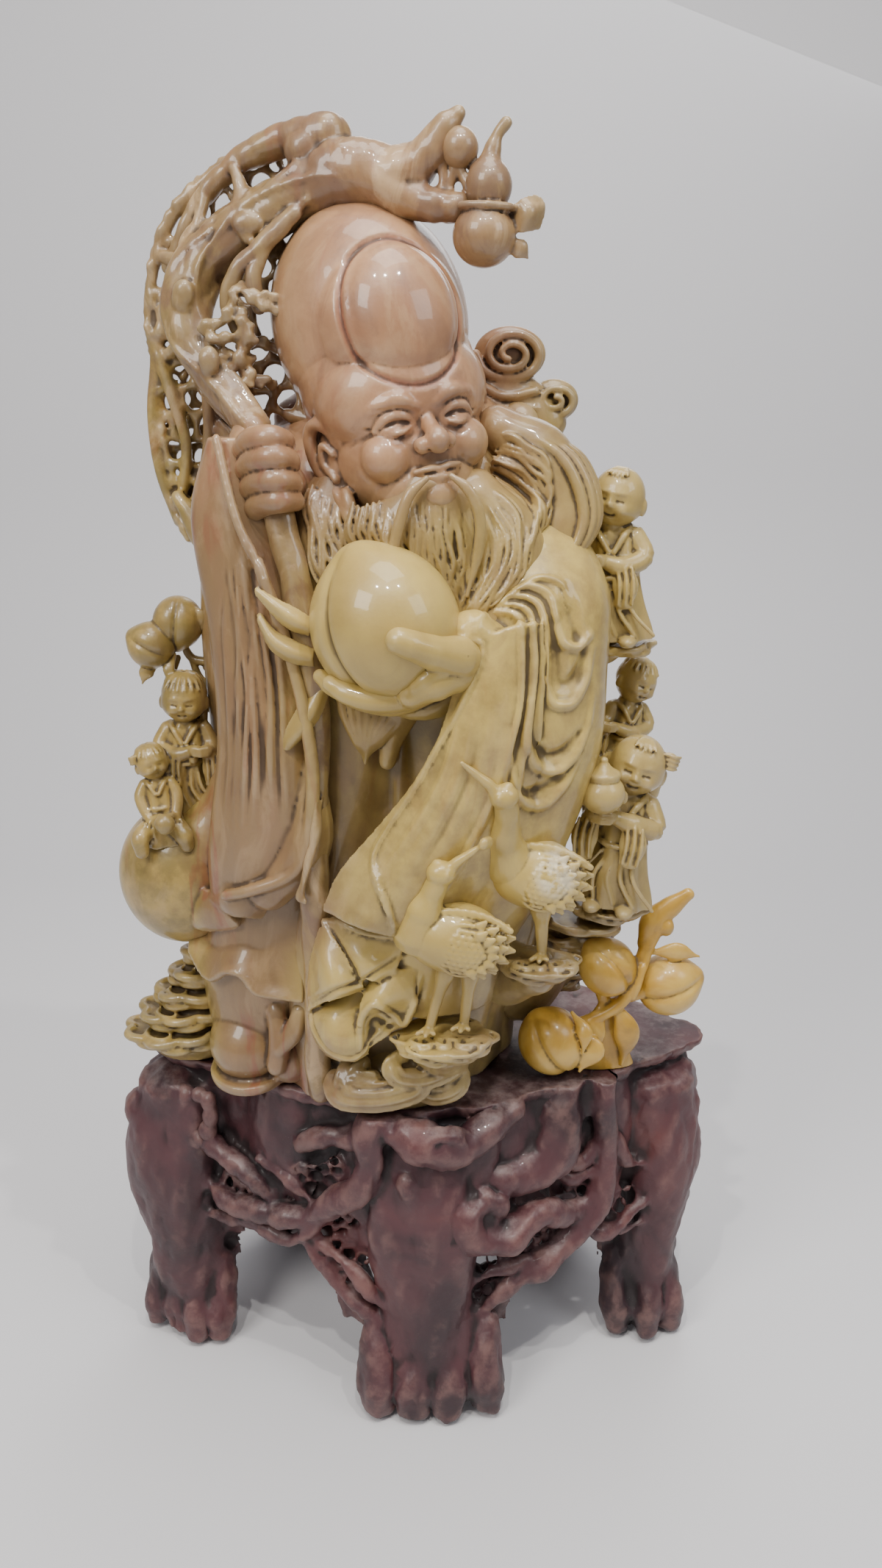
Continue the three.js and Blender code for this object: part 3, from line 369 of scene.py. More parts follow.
def writePoints(mesh, points):
    mesh.vertices.foreach_set("co", points.ravel())
    mesh.update()


def readNormals(mesh):
    normals = np.empty(len(mesh.vertices) * 3)
    mesh.vertex_normals.foreach_get("vector", normals)
    return normals.reshape(-1, 3)


# Draws a line on a skin where the photograph's pixels show it. A stop is across, down, width and
# height in millimetres; a negative height is a groove, and lip puts a steep drop on one side.
def draw(piece, strokes):
    origin = toFrame(photoCamera["at"])
    mesh = piece.data
    for stroke in strokes:
        points, normals = readPoints(mesh), readNormals(mesh)
        stops = np.asarray(stroke["line"], float)
        count = max(12, int(np.linalg.norm(np.diff(stops[:, :2], axis=0), axis=1).sum() / 3))
        read, _ = curveAt(np.column_stack([stops[:, :2], np.arange(len(stops))]), np.linspace(0, 1, count))
        share = np.linspace(0, 1, count)
        wide, high = easedAt(stops[:, 2], share), easedAt(stops[:, 3], share)
        found, kept = [], []
        for k, (px, py) in enumerate(read[:, :2]):
            way = toFrame(seen(px, py, 0)) - origin
            hit, spot, _, _ = piece.ray_cast(tuple(origin), tuple(way / np.linalg.norm(way)))
            if hit:
                found.append(spot)
                kept.append(k)
        if len(found) < 3:
            print("a line missed", piece.name, stops[0][:2])
            continue
        path = np.array(found) * 1000
        for _ in range(2):
            path[1:-1] = (path[:-2] + 2 * path[1:-1] + path[2:]) / 4
        wide, high = wide[kept], high[kept]
        moved = strokeAlong(points * 1000, normals, path, wide, high, stroke.get("lip", 0))
        writePoints(mesh, moved / 1000)


# Raises or sinks the points near a path along their normals
def strokeAlong(points, normals, path, wide, high, lip=0):
    margin = wide.max() * 1.5 + 1
    near = np.all((points > path.min(0) - margin) & (points < path.max(0) + margin), axis=1)
    picked = np.nonzero(near)[0]
    if not len(picked):
        return points
    ways = unit(np.gradient(path, axis=0))
    best = np.empty(len(picked), int)
    for low in range(0, len(picked), 4000):
        part = points[picked[low:low + 4000]]
        best[low:low + 4000] = ((part[:, None, :] - path[None]) ** 2).sum(-1).argmin(1)
    away = points[picked] - path[best]
    way = ways[best]
    along = (away * way).sum(-1)
    away = away - along[:, None] * way
    side = np.cross(way, normals[picked])
    sign = np.sign((away * side).sum(-1))
    reach = np.linalg.norm(away, axis=1) / wide[best]
    ends = np.clip(1 - np.maximum(np.abs(along) - 1.5, 0) / wide[best], 0, 1)
    bump = np.where(reach < 1, 0.5 + 0.5 * np.cos(math.pi * np.minimum(reach, 1)), 0)
    if lip:
        onSide = sign == lip
        edge = np.clip(1 - reach / 0.22, 0, 1)
        gentle = np.clip(1 - reach, 0, 1) ** 1.5
        bump = np.where(onSide, gentle, edge)
    amount = high[best] * bump * ends
    moved = points.copy()
    moved[picked] += normals[picked] * amount[:, None]
    return moved


robeSettings = {
    "voxel": 1.9,
    "triangles": 56000,
    "flutes": 11,
    "fluteDepth": 0.06,
    "shoulderHeight": 600,
}


# The robe's body: plain at the shoulders, and falling in long flutes round the back
def makeRobe(s):
    def flutes(angle, z):
        fade = np.clip((s["shoulderHeight"] - z) / 200, 0, 1)
        lean = 0.35 * np.sin(z / 70) + 0.25 * np.sin(2 * angle + z / 90)
        sharp = np.sin(s["flutes"] * angle + lean)
        return s["fluteDepth"] * fade * (1.2 * np.abs(sharp) ** 0.7 * np.sign(sharp))

    sections = [
        [standTop, -38, -6, 84, 66], [300, -34, -2, 102, 72], [400, -14, -3, 105, 71],
        [500, -13, -4, 110, 70], [575, -14, -4, 100, 58], [620, -8, -10, 44, 34],
    ]
    body = stack(sections, sides=176, rows=90, ripple=flutes)

    def onBack(degrees, z, wide):
        x, y, across, deep = (
            np.interp(z, [row[0] for row in sections], [row[k] for row in sections]) for k in range(1, 5)
        )
        angle = math.radians(degrees)
        return [x + 0.95 * across * math.cos(angle), y + 0.95 * deep * math.sin(angle), z, wide]

    collar = limb([
        [-70, -6, 606, 12, 10], [-40, 30, 622, 14, 10], [16, 32, 622, 14, 10], [56, -4, 604, 12, 10],
    ], sides=16)
    foot = stack(
        [[standTop, 4, -6, 52, 50], [250, 10, -4, 50, 48], [290, 24, 0, 52, 48]],
        sides=72, ripple=lambda angle, z: 0.05 * np.cos(6 * angle),
    )
    panelFront = stack(
        [[standTop, -30, -52, 36, 24], [400, -24, -48, 36, 22], [470, -20, -50, 38, 20]],
        sides=64, power=lambda angle: 3.0,
    )
    pleats = [limb([[x, -68, 462, 4], [x - 4, -72, 250, 6]]) for x in (-47, -36, -9, 5)]
    backFolds = []
    for k in range(9):
        degrees, sway = 6 + 21 * k, 6 * math.sin(2.3 * k)
        backFolds.append(limb([
            onBack(90 + 0.75 * (degrees - 90) + sway, 548 - 3 * sway, 4), onBack(degrees - sway, 470, 8),
            onBack(degrees + sway, 370, 10), onBack(degrees, 280, 12), onBack(degrees - 0.5 * sway, 228, 12),
        ], sides=24, steps=60, capRound=0.3))
    sash = limb([[-57, -78, 450, 6, 4], [-60, -84, 410, 9, 5], [-62, -86, 372, 6, 4]])
    return fuse(
        makeObject("robe", [body, collar, foot, panelFront, sash, *pleats, *backFolds]), s["voxel"], soften=3,
    )


skirtSettings = {"voxel": 1.4, "triangles": 26000}


# The skirt's flared hem over the shoe, with one deep wave turned out at its left corner
def makeSkirt(s):
    hem = shown((257, 1293, -44), (272, 1322, -56), (287, 1336, -66), (307, 1326, -74), (325, 1330, -78),
                (346, 1354, -80), (376, 1360, -80), (414, 1365, -78))
    low = shown((263, 1273, -40), (276, 1300, -52), (292, 1316, -62), (310, 1309, -68), (330, 1311, -72),
                (350, 1327, -74), (376, 1338, -74), (414, 1340, -74))
    middle = shown(
        (285, 1260, -36), (297, 1271, -46), (309, 1276, -56), (323, 1280, -62), (338, 1284, -66),
        (356, 1293, -68), (379, 1298, -70), (414, 1298, -70),
    )
    high = shown(
        (301, 1209, -30), (307, 1218, -40), (316, 1222, -50), (327, 1226, -58), (343, 1226, -62),
        (361, 1226, -64), (381, 1226, -66), (414, 1226, -66),
    )
    cloth = panel([high, middle, low, hem], 5, across=60, along=40)
    inner = stack(
        [[252, -92, -30, 40, 34], [276, -92, -32, 42, 36], [300, -90, -34, 42, 36], [380, -76, -40, 40, 32]],
        sides=48,
    )
    shoe = ball([-106, -46, 243], [24.5, 27, 25], around=40, high=28)
    sole = stack([
        [standTop, -106, -47, 21, 25], [221, -106, -47, 24, 28], [226, -106, -47, 25, 28.5],
    ], sides=48, rows=8)
    instep = ball([-80, -50, 238], [17, 22, 20])
    cuffs = [
        limb(shown((376, 1374, -66, 6), (381, 1414, -70, 7), (376, 1450, -72, 6))),
        limb(shown((408, 1374, -72, 5), (399, 1405, -74, 6), (381, 1427, -74, 5))),
    ]
    return fuse(makeObject("skirt", [cloth, inner, shoe, sole, instep, *cuffs]), s["voxel"], soften=3)


raisedSleeveSettings = {
    "voxel": 1.3,
    "triangles": 56000,
    "seed": 14,
    "grains": 14,
    "grainDepth": 1.5,
    # height in the photograph, and how far across it the grain runs
    "grainAcross": [
        (742, 306, 352), (790, 302, 362), (860, 302, 374), (940, 304, 384), (1030, 300, 388),
        (1116, 296, 392),
    ],
}


# The sleeve of the raised arm, from the fist down the left side to its turned hem
def makeRaisedSleeve(s):
    hanging = stack(
        [
            [352, -92, -56, 30, 26],
            [380, -87, -58, 33, 32],
            [440, -80, -56, 31, 36],
            [500, -82, -52, 31, 34],
            [560, -93, -50, 27, 28],
            [600, -94, -54, 14, 15],
        ],
        sides=80, rows=60, ripple=lambda angle, z: 0.03 * np.cos(7 * angle + np.sin(z / 40)),
    )
    edge = limb([
        [-100, -74, 600, 2.4], [-90, -84, 560, 2.6], [-76, -90, 530, 3], [-60, -94, 470, 3.5],
        [-56, -94, 420, 4], [-66, -92, 376, 4], [-92, -90, 362, 3.6], [-108, -84, 356, 3],
    ], steps=40)
    hem = limb([[-58, -80, 430, 8], [-62, -82, 385, 14], [-84, -76, 358, 14]])
    bag = ball([-143, -26, 346], [39, 34, 44], around=56, high=36)
    neck = limb([[-106, -34, 430, 8], [-112, -32, 398, 14], [-128, -28, 364, 26, 26]], sides=28)
    upper = panel(
        [
            shown((322, 1147, -74), (327, 1153, -78), (336, 1163, -80)),
            shown((297, 1195, -66), (322, 1197, -80), (355, 1193, -80)),
            shown((289, 1220, -62), (321, 1230, -82), (365, 1226, -76)),
            shown((292, 1229, -60), (327, 1245, -80), (356, 1247, -72)),
        ],
        6, across=30, along=30,
    )
    lower = panel(
        [
            shown((269, 1209, -50), (292, 1211, -60), (314, 1220, -66)),
            shown((260, 1233, -50), (287, 1233, -64), (314, 1240, -70)),
            shown((256, 1251, -46), (285, 1254, -62), (327, 1254, -70)),
            shown((259, 1257, -42), (287, 1263, -58), (322, 1260, -66)),
        ],
        6, across=30, along=24,
    )
    sleeve = makeObject("raised_sleeve", [hanging, edge, hem, bag, neck, upper, lower])
    fuse(sleeve, s["voxel"], soften=3)
    draw(sleeve, grainStrokes(s))
    return sleeve


# Long wavering grooves and ridges, like the grain of old wood, from the shoulder to the hem
def grainStrokes(s):
    dice = random.Random(s["seed"])
    strokes = []
    for k in range(s["grains"]):
        share = (k + 0.5) / s["grains"]
        high = s["grainDepth"] * dice.uniform(0.6, 1.2) * (1 if k % 2 else -1)
        wide = dice.uniform(2.6, 4.6)
        line = []
        for top, left, right in s["grainAcross"]:
            across = left + (right - left) * share + dice.uniform(-5, 5)
            line.append((across, top, wide, high))
        line[0] = (*line[0][:3], 0.2 * high)
        line[-1] = (*line[-1][:3], 0.2 * high)
        strokes.append({"line": line})
    return strokes


peachSleeveSettings = {
    "voxel": 1.25,
    "triangles": 74000,
    # folds as the photograph shows them: across, down, half width and height
    "folds": [
        {"line": [
            (626, 867, 4, 1), (656, 875, 4, 1.6), (652, 908, 4, 1.8), (626, 967, 4, 1.6), (600, 1011, 4, 1.6),
            (564, 1075, 4, 1.6), (528, 1128, 4, 1.6), (509, 1167, 4, 1.8), (513, 1200, 4, 2),
            (526, 1227, 4, 2.2), (535, 1264, 4, 1.5),
        ], "lip": 1},
        {
            "line": [
                (708, 841, 3.4, 0.5), (710, 893, 3.4, 1.8), (708, 959, 3.4, 1.8), (693, 1021, 3.4, 1.6),
                (679, 1077, 3.4, 0.4),
            ],
        },
        {
            "line": [
                (719, 846, 3, -0.5), (719, 903, 3, -1.8), (713, 969, 3, -1.8), (702, 1026, 3, -1.6),
                (690, 1082, 3, -0.4),
            ],
        },
        {
            "line": [
                (726, 849, 3, 0.8), (728, 903, 3, 2), (722, 969, 3, 2), (711, 1031, 3, 1.8),
                (703, 1098, 3, 0.5),
            ],
        },
        {
            "line": [
                (734, 846, 3, -0.8), (736, 903, 3, -2), (729, 964, 3.4, -2), (728, 1005, 4, -2.2),
                (741, 1026, 5, -2.4), (764, 1023, 5, -2.2), (785, 1000, 4, -1),
            ],
        },
        {
            "line": [
                (742, 844, 3.4, 0.8), (743, 893, 3.4, 2.2), (743, 934, 4, 2.4), (754, 957, 4.4, 2.6),
                (777, 957, 4.4, 2.6), (796, 928, 4, 2), (805, 887, 4, 0.8),
            ],
        },
        {
            "line": [
                (721, 959, 3.4, 0.8), (717, 1011, 4, 2.2), (728, 1041, 4.6, 2.8), (754, 1049, 4.6, 2.8),
                (781, 1028, 4.4, 2.6), (799, 990, 4, 1.6), (806, 954, 4, 0.6),
            ],
        },
        {
            "line": [
                (696, 1036, 3.4, 0.8), (701, 1067, 4, 2.2), (714, 1092, 4.6, 2.6), (738, 1095, 4.6, 2.6),
                (765, 1072, 4.4, 2.2), (786, 1036, 4, 1),
            ],
        },
        {"line": [(708, 1077, 4, -1), (728, 1077, 6, -2.4), (754, 1062, 5, -1.6)]},
        {
            "line": [
                (754, 852, 4, -1), (759, 893, 6, -2.6), (767, 928, 8, -3.2), (782, 923, 7, -3),
                (794, 893, 5, -1.6),
            ],
        },
        {
            "line": [
                (755, 821, 3.4, 0.8), (757, 846, 3.6, 2), (767, 875, 4, 2.6), (785, 880, 4, 2.6),
                (800, 867, 4, 1.4),
            ],
        },
        {"line": [(769, 805, 5, -1), (777, 836, 8, -3), (784, 859, 6, -2.6)]},
        {"line": [(646, 844, 2.6, 0.4), (677, 832, 2.6, 1.4), (702, 837, 2.6, 1.6), (710, 857, 2.6, 1)]},
        {"line": [(656, 835, 2.4, 0.4), (687, 821, 2.6, 1.5), (717, 829, 2.6, 1.6), (726, 852, 2.6, 1)]},
        {"line": [(672, 824, 2.4, 0.4), (703, 809, 2.6, 1.5), (731, 821, 2.6, 1.6), (741, 845, 2.6, 1)]},
        {"line": [(687, 813, 2.4, 0.4), (718, 797, 2.6, 1.5), (747, 807, 2.6, 1.6), (756, 836, 2.6, 1)]},
        {"line": [(703, 802, 2.4, 0.4), (733, 786, 2.6, 1.5), (762, 793, 2.6, 1.6), (774, 816, 2.6, 0.6)]},
        {"line": [(667, 829, 1.8, -0.3), (697, 817, 1.8, -1), (724, 825, 1.8, -1.2), (733, 847, 1.8, -0.8)]},
        {"line": [(682, 819, 1.8, -0.3), (711, 804, 1.8, -1), (739, 815, 1.8, -1.2), (749, 841, 1.8, -0.8)]},
        # the hem's turned edges, above the near crane's ledge
        {"line": [(442, 1244, 5, 1), (466, 1257, 5, 2.4), (496, 1270, 5, 2.8), (544, 1276, 5, 2)], "lip": -1},
        {"line": [(508, 1168, 4, 0.6), (517, 1214, 4, 2), (535, 1260, 4, 2)], "lip": -1},
        {"line": [(442, 1257, 5, 1.4), (463, 1292, 5, 3), (491, 1337, 5, 2.6)], "lip": 1},
        {
            "line": [
                (421, 1368, 4, -1), (454, 1350, 4, -2), (491, 1337, 4, -2.4), (520, 1318, 4, -1.6),
                (548, 1298, 4, -1),
            ],
        },
        {
            "line": [
                (421, 1372, 2.2, 1), (427, 1400, 2.2, 1.8), (448, 1430, 2.2, 1.8), (478, 1440, 2.2, 1.8),
                (496, 1428, 2.2, 1.8), (508, 1410, 2.2, 1.6), (532, 1389, 2.2, 1),
            ],
        },
        {
            "line": [
                (490, 1424, 3, 1.4), (491, 1388, 3, 2.4), (508, 1366, 3, 2.4), (535, 1380, 3, 2.4),
                (548, 1394, 3, 2.2), (562, 1370, 3, 2), (571, 1330, 3, 1),
            ],
        },
        {"line": [(505, 1420, 4, -1.4), (510, 1390, 5, -2.6), (530, 1398, 4, -1.8)]},
        # long soft lines down the broad front
        {"line": [(628, 960, 4, 0.6), (610, 1040, 4, 1.4), (575, 1110, 4, 1.4), (520, 1190, 4, 0.6)]},
        {"line": [(655, 975, 5, -0.6), (640, 1050, 5, -1.6), (610, 1120, 5, -1.6), (570, 1190, 5, -0.8)]},
        {"line": [(690, 1000, 4, 0.6), (672, 1080, 4, 1.6), (640, 1150, 4, 1.6), (610, 1210, 4, 0.6)]},
    ],
}


# The sleeve of the arm that holds the peach: a broad fall of cloth that ends in zigzag folds
def makePeachSleeve(s):
    fall = stack(
        [
            [286, -2, -72, 44, 24],
            [320, 0, -72, 52, 28],
            [356, 16, -70, 55, 33],
            [400, 40, -67, 49, 36],
            [440, 56, -63, 44, 39],
            [480, 63, -59, 39, 41],
            [520, 60, -54, 42, 41],
            [548, 56, -44, 33, 32],
            [566, 48, -34, 18, 18],
        ],
        sides=96, rows=70,
    )
    front = panel(
        [
            shown((627, 868, -108), (655, 866, -110), (700, 850, -106), (736, 845, -98)),
            shown((612, 965, -112), (650, 970, -119), (692, 975, -114), (735, 980, -102)),
            shown((577, 1045, -110), (626, 1060, -119), (672, 1070, -114), (718, 1090, -100)),
            shown((520, 1120, -104), (576, 1140, -117), (632, 1150, -112), (700, 1160, -96)),
            shown((462, 1190, -98), (520, 1215, -117), (582, 1228, -112), (650, 1235, -94)),
            shown((443, 1238, -96), (490, 1262, -119), (540, 1272, -113), (590, 1275, -98)),
        ],
        6, across=50, along=90,
    )
    cuff = limb(shown((640, 862, -104, 13, 12), (655, 880, -100, 15, 14), (670, 900, -94, 16, 16)), sides=28)
    flaps = [
        # the pocket beneath it, which turns down to the right
        panel(
            [
                shown((440, 1248, -90), (492, 1260, -100), (546, 1271, -98)),
                shown((443, 1262, -92), (487, 1282, -102), (546, 1299, -100)),
                shown((470, 1296, -98), (495, 1310, -108), (537, 1319, -102)),
                shown((489, 1334, -102), (501, 1334, -108), (520, 1333, -100)),
            ],
            5, across=36, along=36,
        ),
        # the left lobe, folded back over the first
        panel(
            [
                shown((438, 1260, -90), (446, 1267, -94), (454, 1274, -96)),
                shown((426, 1304, -92), (450, 1307, -106), (477, 1310, -102)),
                shown((422, 1341, -92), (456, 1341, -112), (492, 1334, -102)),
                shown((422, 1375, -90), (456, 1356, -108), (492, 1344, -98)),
            ],
            5, across=36, along=36,
        ),
        # the lowest tongue, hanging free at the bottom left
        panel(
            [
                shown((422, 1375, -86), (459, 1358, -92), (498, 1338, -92), (537, 1321, -90)),
                shown((423, 1386, -90), (456, 1383, -102), (487, 1377, -98), (526, 1363, -92)),
                shown((432, 1414, -92), (456, 1414, -106), (484, 1411, -104), (506, 1403, -98)),
                shown((449, 1434, -90), (464, 1440, -100), (481, 1441, -100), (498, 1431, -94)),
            ],
            5, across=40, along=40,
        ),
        # the roll beside the tongue
        panel(
            [
                shown((506, 1330, -96), (537, 1319, -100), (562, 1319, -98)),
                shown((491, 1372, -104), (518, 1361, -108), (564, 1347, -100)),
                shown((487, 1389, -104), (520, 1372, -100), (562, 1377, -98)),
                shown((485, 1436, -100), (512, 1417, -98), (548, 1391, -96)),
            ],
            5, across=36, along=36,
        ),
        # the small fold behind the near crane
        panel(
            [
                shown((564, 1319, -90), (576, 1321, -92), (593, 1327, -88)),
                shown((567, 1347, -92), (579, 1349, -96), (593, 1355, -90)),
                shown((560, 1380, -90), (574, 1383, -92), (588, 1383, -86)),
            ],
            5, across=20, along=20,
        ),
    ]
    sleeve = makeObject("peach_sleeve", [fall, front, cuff, *flaps])
    fuse(sleeve, s["voxel"], soften=1)
    draw(sleeve, s["folds"])
    return sleeve


headSettings = {
    "voxel": 1.0,
    "triangles": 46000,
    "at": [-4, -50, 590],
    "turn": {"pitch": -10, "yaw": 22, "roll": -10},
    "third": 25,
    "faceHalfWidth": 41,
    "dome": [51, 50, 59],
    "cutStops": 60,
    "ringStops": 200,
    "ringWide": 3.2,
    "ringDeep": 1.5,
}


def headFrame(s):
    return turned(**s["turn"], at=s["at"])


# Heights of the brow, eyes, nose and mouth, and how far to the side an eye lies
def faceHeights(s):
    third = s["third"]
    browLine = 0.8 * third
    noseBase = browLine - third
    return browLine, browLine - third / 3, noseBase, noseBase - third / 3, 2 * s["faceHalfWidth"] / 5


# The head in its own frame, looking along -Y. The face is a plain calm one in equal thirds: brow to
# nose, nose to chin, and the same above, with an eye's width between the eyes.
def makeHead(s):
    f = headFrame(s)
    browLine, eye, noseBase, mouth, eyeAt = faceHeights(s)
    forms = [
        ball([0, 12, 72], s["dome"], frame=f, around=64, high=48),
        ball([0, 6, 40], [47, 43, 50], frame=f, around=64, high=48),
        ball([0, -32, 63], [28, 17, 33], frame=f, around=48, high=36),
        ball([0, -15, 64], [39, 31, 40], frame=f, around=56, high=40),
        ball([0, -6, 30], [46, 36, 34], frame=f, around=56, high=40),
        ball([0, 2, 5], [s["faceHalfWidth"], 38, 39], frame=f, around=56, high=40),
        ball([0, -8, noseBase - 12], [30, 27, 21], frame=f, around=40, high=28),
        limb([
            [0, -33, eye + 3, 3.6], [0, -39, eye - 6, 4.2], [0, -44, noseBase + 5, 5.6],
            [0, -43, noseBase + 2.5, 5.5, 4.5],
        ], frame=f, sides=20),
        limb([
            [-12, -33.5, mouth + 1.2, 1.4, 1.6], [-5, -37.5, mouth + 0.8, 2.2], [0, -38, mouth + 0.2, 2],
            [5, -37.5, mouth + 0.8, 2.2], [12, -33.5, mouth + 1.2, 1.4, 1.6],
        ], frame=f, sides=16),
        limb([
            [-10, -33.5, mouth - 1.4, 1.2], [0, -37.6, mouth - 4, 2.8], [10, -33.5, mouth - 1.4, 1.2],
        ], frame=f, sides=16),
        ball([0, -33, noseBase - 20], [11, 7, 8], frame=f),
    ]
    for side in (-1, 1):
        forms += [
            ball([side * 20.5, -23.5, noseBase + 4], [13.5, 12, 13], frame=f, around=32, high=24),
            ball([side * 6.6, -39, noseBase + 4], [4.4, 5, 4.2], frame=f),
            ball([side * 9.5, -31, browLine - 4], [5.5, 5, 6], frame=f),
            ball([side * eyeAt, -27.5, eye - 0.6], [9.5, 8.6, 7.4], frame=f),
            limb([
                [side * (eyeAt - 9.5), -34.5, eye - 1.2, 1.3], [side * (eyeAt - 3), -37, eye + 3.6, 2],
                [side * (eyeAt + 4), -35.4, eye + 3.6, 2], [side * (eyeAt + 10), -29.5, eye - 0.6, 1.3],
            ], frame=f, sides=14),
            limb([
                [side * (eyeAt - 9), -34.5, eye - 1.4, 1], [side * (eyeAt - 1), -36.2, eye - 4.4, 1.5],
                [side * (eyeAt + 9), -30, eye - 1.2, 1],
            ], frame=f, sides=14),
            limb([
                [side * 5, -37.5, browLine - 1.5, 3], [side * (eyeAt - 3), -38, browLine + 2.6, 4.4],
                [side * (eyeAt + 8), -32, browLine + 1.6, 4], [side * 33, -20, browLine - 5, 2],
            ], frame=f, sides=18),
            ball([side * 37, -2, 22], [6, 14, 16], frame=f),
        ]
        forms += makeEar(side, f)
    return fuse(makeObject("head", forms), s["voxel"], soften=3)


# A long ear: a rim that curls round a hollow, and a heavy lobe
def makeEar(side, f):
    return [
        limb([
            [side * 39, -7, 16, 3], [side * 45, -3, 24, 3.6], [side * 48, 5, 22, 3.8],
            [side * 48, 9, 10, 3.8], [side * 45, 6, -4, 3.6], [side * 42, 0, -14, 4.4],
            [side * 40, -4, -24, 5.2], [side * 38.5, -7, -28, 4],
        ], frame=f, steps=48),
        ball([side * 41, 4, 6], [3.4, 8, 18], frame=f),
        ball([side * 40, -3, -19], [4, 6, 10], frame=f),
        limb([
            [side * 42, -5, 8, 1.8], [side * 45, 0, 14, 2], [side * 45.5, 3, 6, 2], [side * 43, -2, -4, 2],
        ], frame=f),
    ]


# Fine lines of the face and the raised oval of the forehead, cut after the head is one skin
def finishHead(head, s):
    f = headFrame(s)
    browLine, eye, noseBase, mouth, eyeAt = faceHeights(s)

    def sink(path, wide, high):
        moved = strokeAlong(readPoints(head.data) * 1000, readNormals(head.data), path, wide, high)
        writePoints(head.data, moved / 1000)

    def cut(line, wide, high):
        shares = np.linspace(0, 1, s["cutStops"])
        path = placed(curveAt(line, shares)[0], f) + shift
        sizes = np.sin(np.linspace(0, math.pi, s["cutStops"])) ** 0.5
        sink(path, np.full(s["cutStops"], float(wide)), high * sizes)

    ring = [
        [29.5 * math.cos(a), -34 - 8 * math.cos(2 * a) * 0.2, 63 + 34.5 * math.sin(a)]
        for a in np.linspace(0, 2 * math.pi, 25)
    ]
    loop = np.array([snapToSkin(head, f, point) for point in ring])
    markPaths["head"] = [(curveAt(loop, np.linspace(0, 1, 160))[0], 1.5)]
    rim = curveAt(loop, np.linspace(0, 1, s["ringStops"]))[0]
    sink(rim, np.full(s["ringStops"], s["ringWide"]), np.full(s["ringStops"], -s["ringDeep"]))
    for side in (-1, 1):
        cut([
            [side * 8.5, -36, eye - 0.8], [side * eyeAt, -37, eye + 0.4],
            [side * (eyeAt + 9), -31, eye - 0.8],
        ], 1.6, -1.3)
        cut([
            [side * 7, -35, eye - 5], [side * eyeAt, -35, eye - 9.5], [side * (eyeAt + 9), -31, eye - 6],
        ], 2, -0.6)
        cut([
            [side * 9, -40, noseBase + 5], [side * 14, -36, noseBase - 4], [side * 16.5, -32, noseBase - 12],
        ], 2.4, -1.4)
        cut([[side * (eyeAt + 9), -31, eye], [side * 32, -23, eye + 3], [side * 36, -16, eye + 5]], 1.6, -0.7)
        cut([
            [side * (eyeAt + 9.5), -30.5, eye - 2], [side * 33, -22, eye - 3], [side * 37, -14, eye - 4],
        ], 1.6, -0.6)
        cut([[side * 3.5, -42, noseBase + 1], [side * 6, -42, noseBase + 1.4]], 1.6, -1.8)
        for k in range(7):
            start = 6 + 3.6 * k
            cut([
                [side * start, -40 + 0.3 * k * k / 2, browLine + 1],
                [side * (start + 5), -39 + 0.45 * k * k / 2, browLine + 2.4 - 0.9 * k],
            ], 0.9, -0.5)
    cut([[-9, -36, mouth - 0.9], [0, -41, mouth - 1.9], [9, -36, mouth - 0.9]], 1.5, -1.6)
    cut([[0, -40, noseBase - 1], [0, -38, mouth + 2]], 1.8, -0.7)
    for k in range(2):
        rise = 27 + 5 * k
        cut([
            [-26, -36, rise - 2], [-12, -46, rise - 4], [0, -46, rise - 3.4], [12, -46, rise - 4],
            [26, -36, rise - 2],
        ], 1.8, -0.6)


# The spot on a skin straight in front of or behind a point of the head's frame
def snapToSkin(piece, f, point):
    start = toFrame(placed(np.array([[point[0] * 1.15, -120, (point[2] - 63) * 1.15 + 63]]), f)[0])
    aim = toFrame(placed(np.array([[point[0], 0, point[2]]]), f)[0])
    way = aim - start
    hit, spot, _, _ = piece.ray_cast(tuple(start), tuple(way / np.linalg.norm(way)))
    return np.array(spot) * 1000 if hit else aim * 1000


def makeFinishedHead(s):
    head = makeHead(s)
    bpy.context.view_layer.update()
    finishHead(head, s)
    return head


beardSettings = {
    "voxel": 1.5,
    "lockVoxel": 0.62,
    "triangles": 120000,
    "guides": [
        # each lock's way down, in the photograph's pixels, from its root to its tip
        [(418, 657), (413, 692), (418, 736), (428, 789), (433, 812)],
        [(439, 663), (435, 698), (442, 742), (449, 774), (453, 795)],
        [(465, 680), (462, 713), (468, 742), (473, 762), (477, 777)],
        [(497, 684), (495, 718), (498, 742), (503, 757), (506, 771)],
        [(526, 676), (526, 716), (530, 742), (535, 762), (538, 780)],
        [(556, 670), (558, 716), (564, 751), (574, 777), (585, 795)],
        [(586, 668), (589, 724), (597, 768), (609, 801), (618, 824)],
        [(616, 670), (622, 728), (625, 777), (625, 812), (623, 842)],
        [(642, 682), (647, 740), (641, 789), (631, 824), (625, 847)],
        [(653, 692), (669, 742), (659, 795), (641, 830), (629, 850)],
        [(662, 677), (691, 724), (685, 777), (659, 824), (641, 842)],
        [(665, 660), (706, 701), (709, 754), (688, 801), (669, 827)],
        [(667, 642), (714, 671), (729, 718), (717, 765), (698, 803)],
        [(669, 625), (712, 645), (739, 677), (742, 718), (726, 754)],
        [(673, 607), (709, 619), (738, 642), (750, 674), (744, 698)],
        [(676, 589), (703, 592), (729, 610), (744, 633), (750, 654)],
    ],
    "between": 7,
    "thick": 1.35,
    "lift": 0.5,
    "wave": 1.4,
    "seed": 5,
}


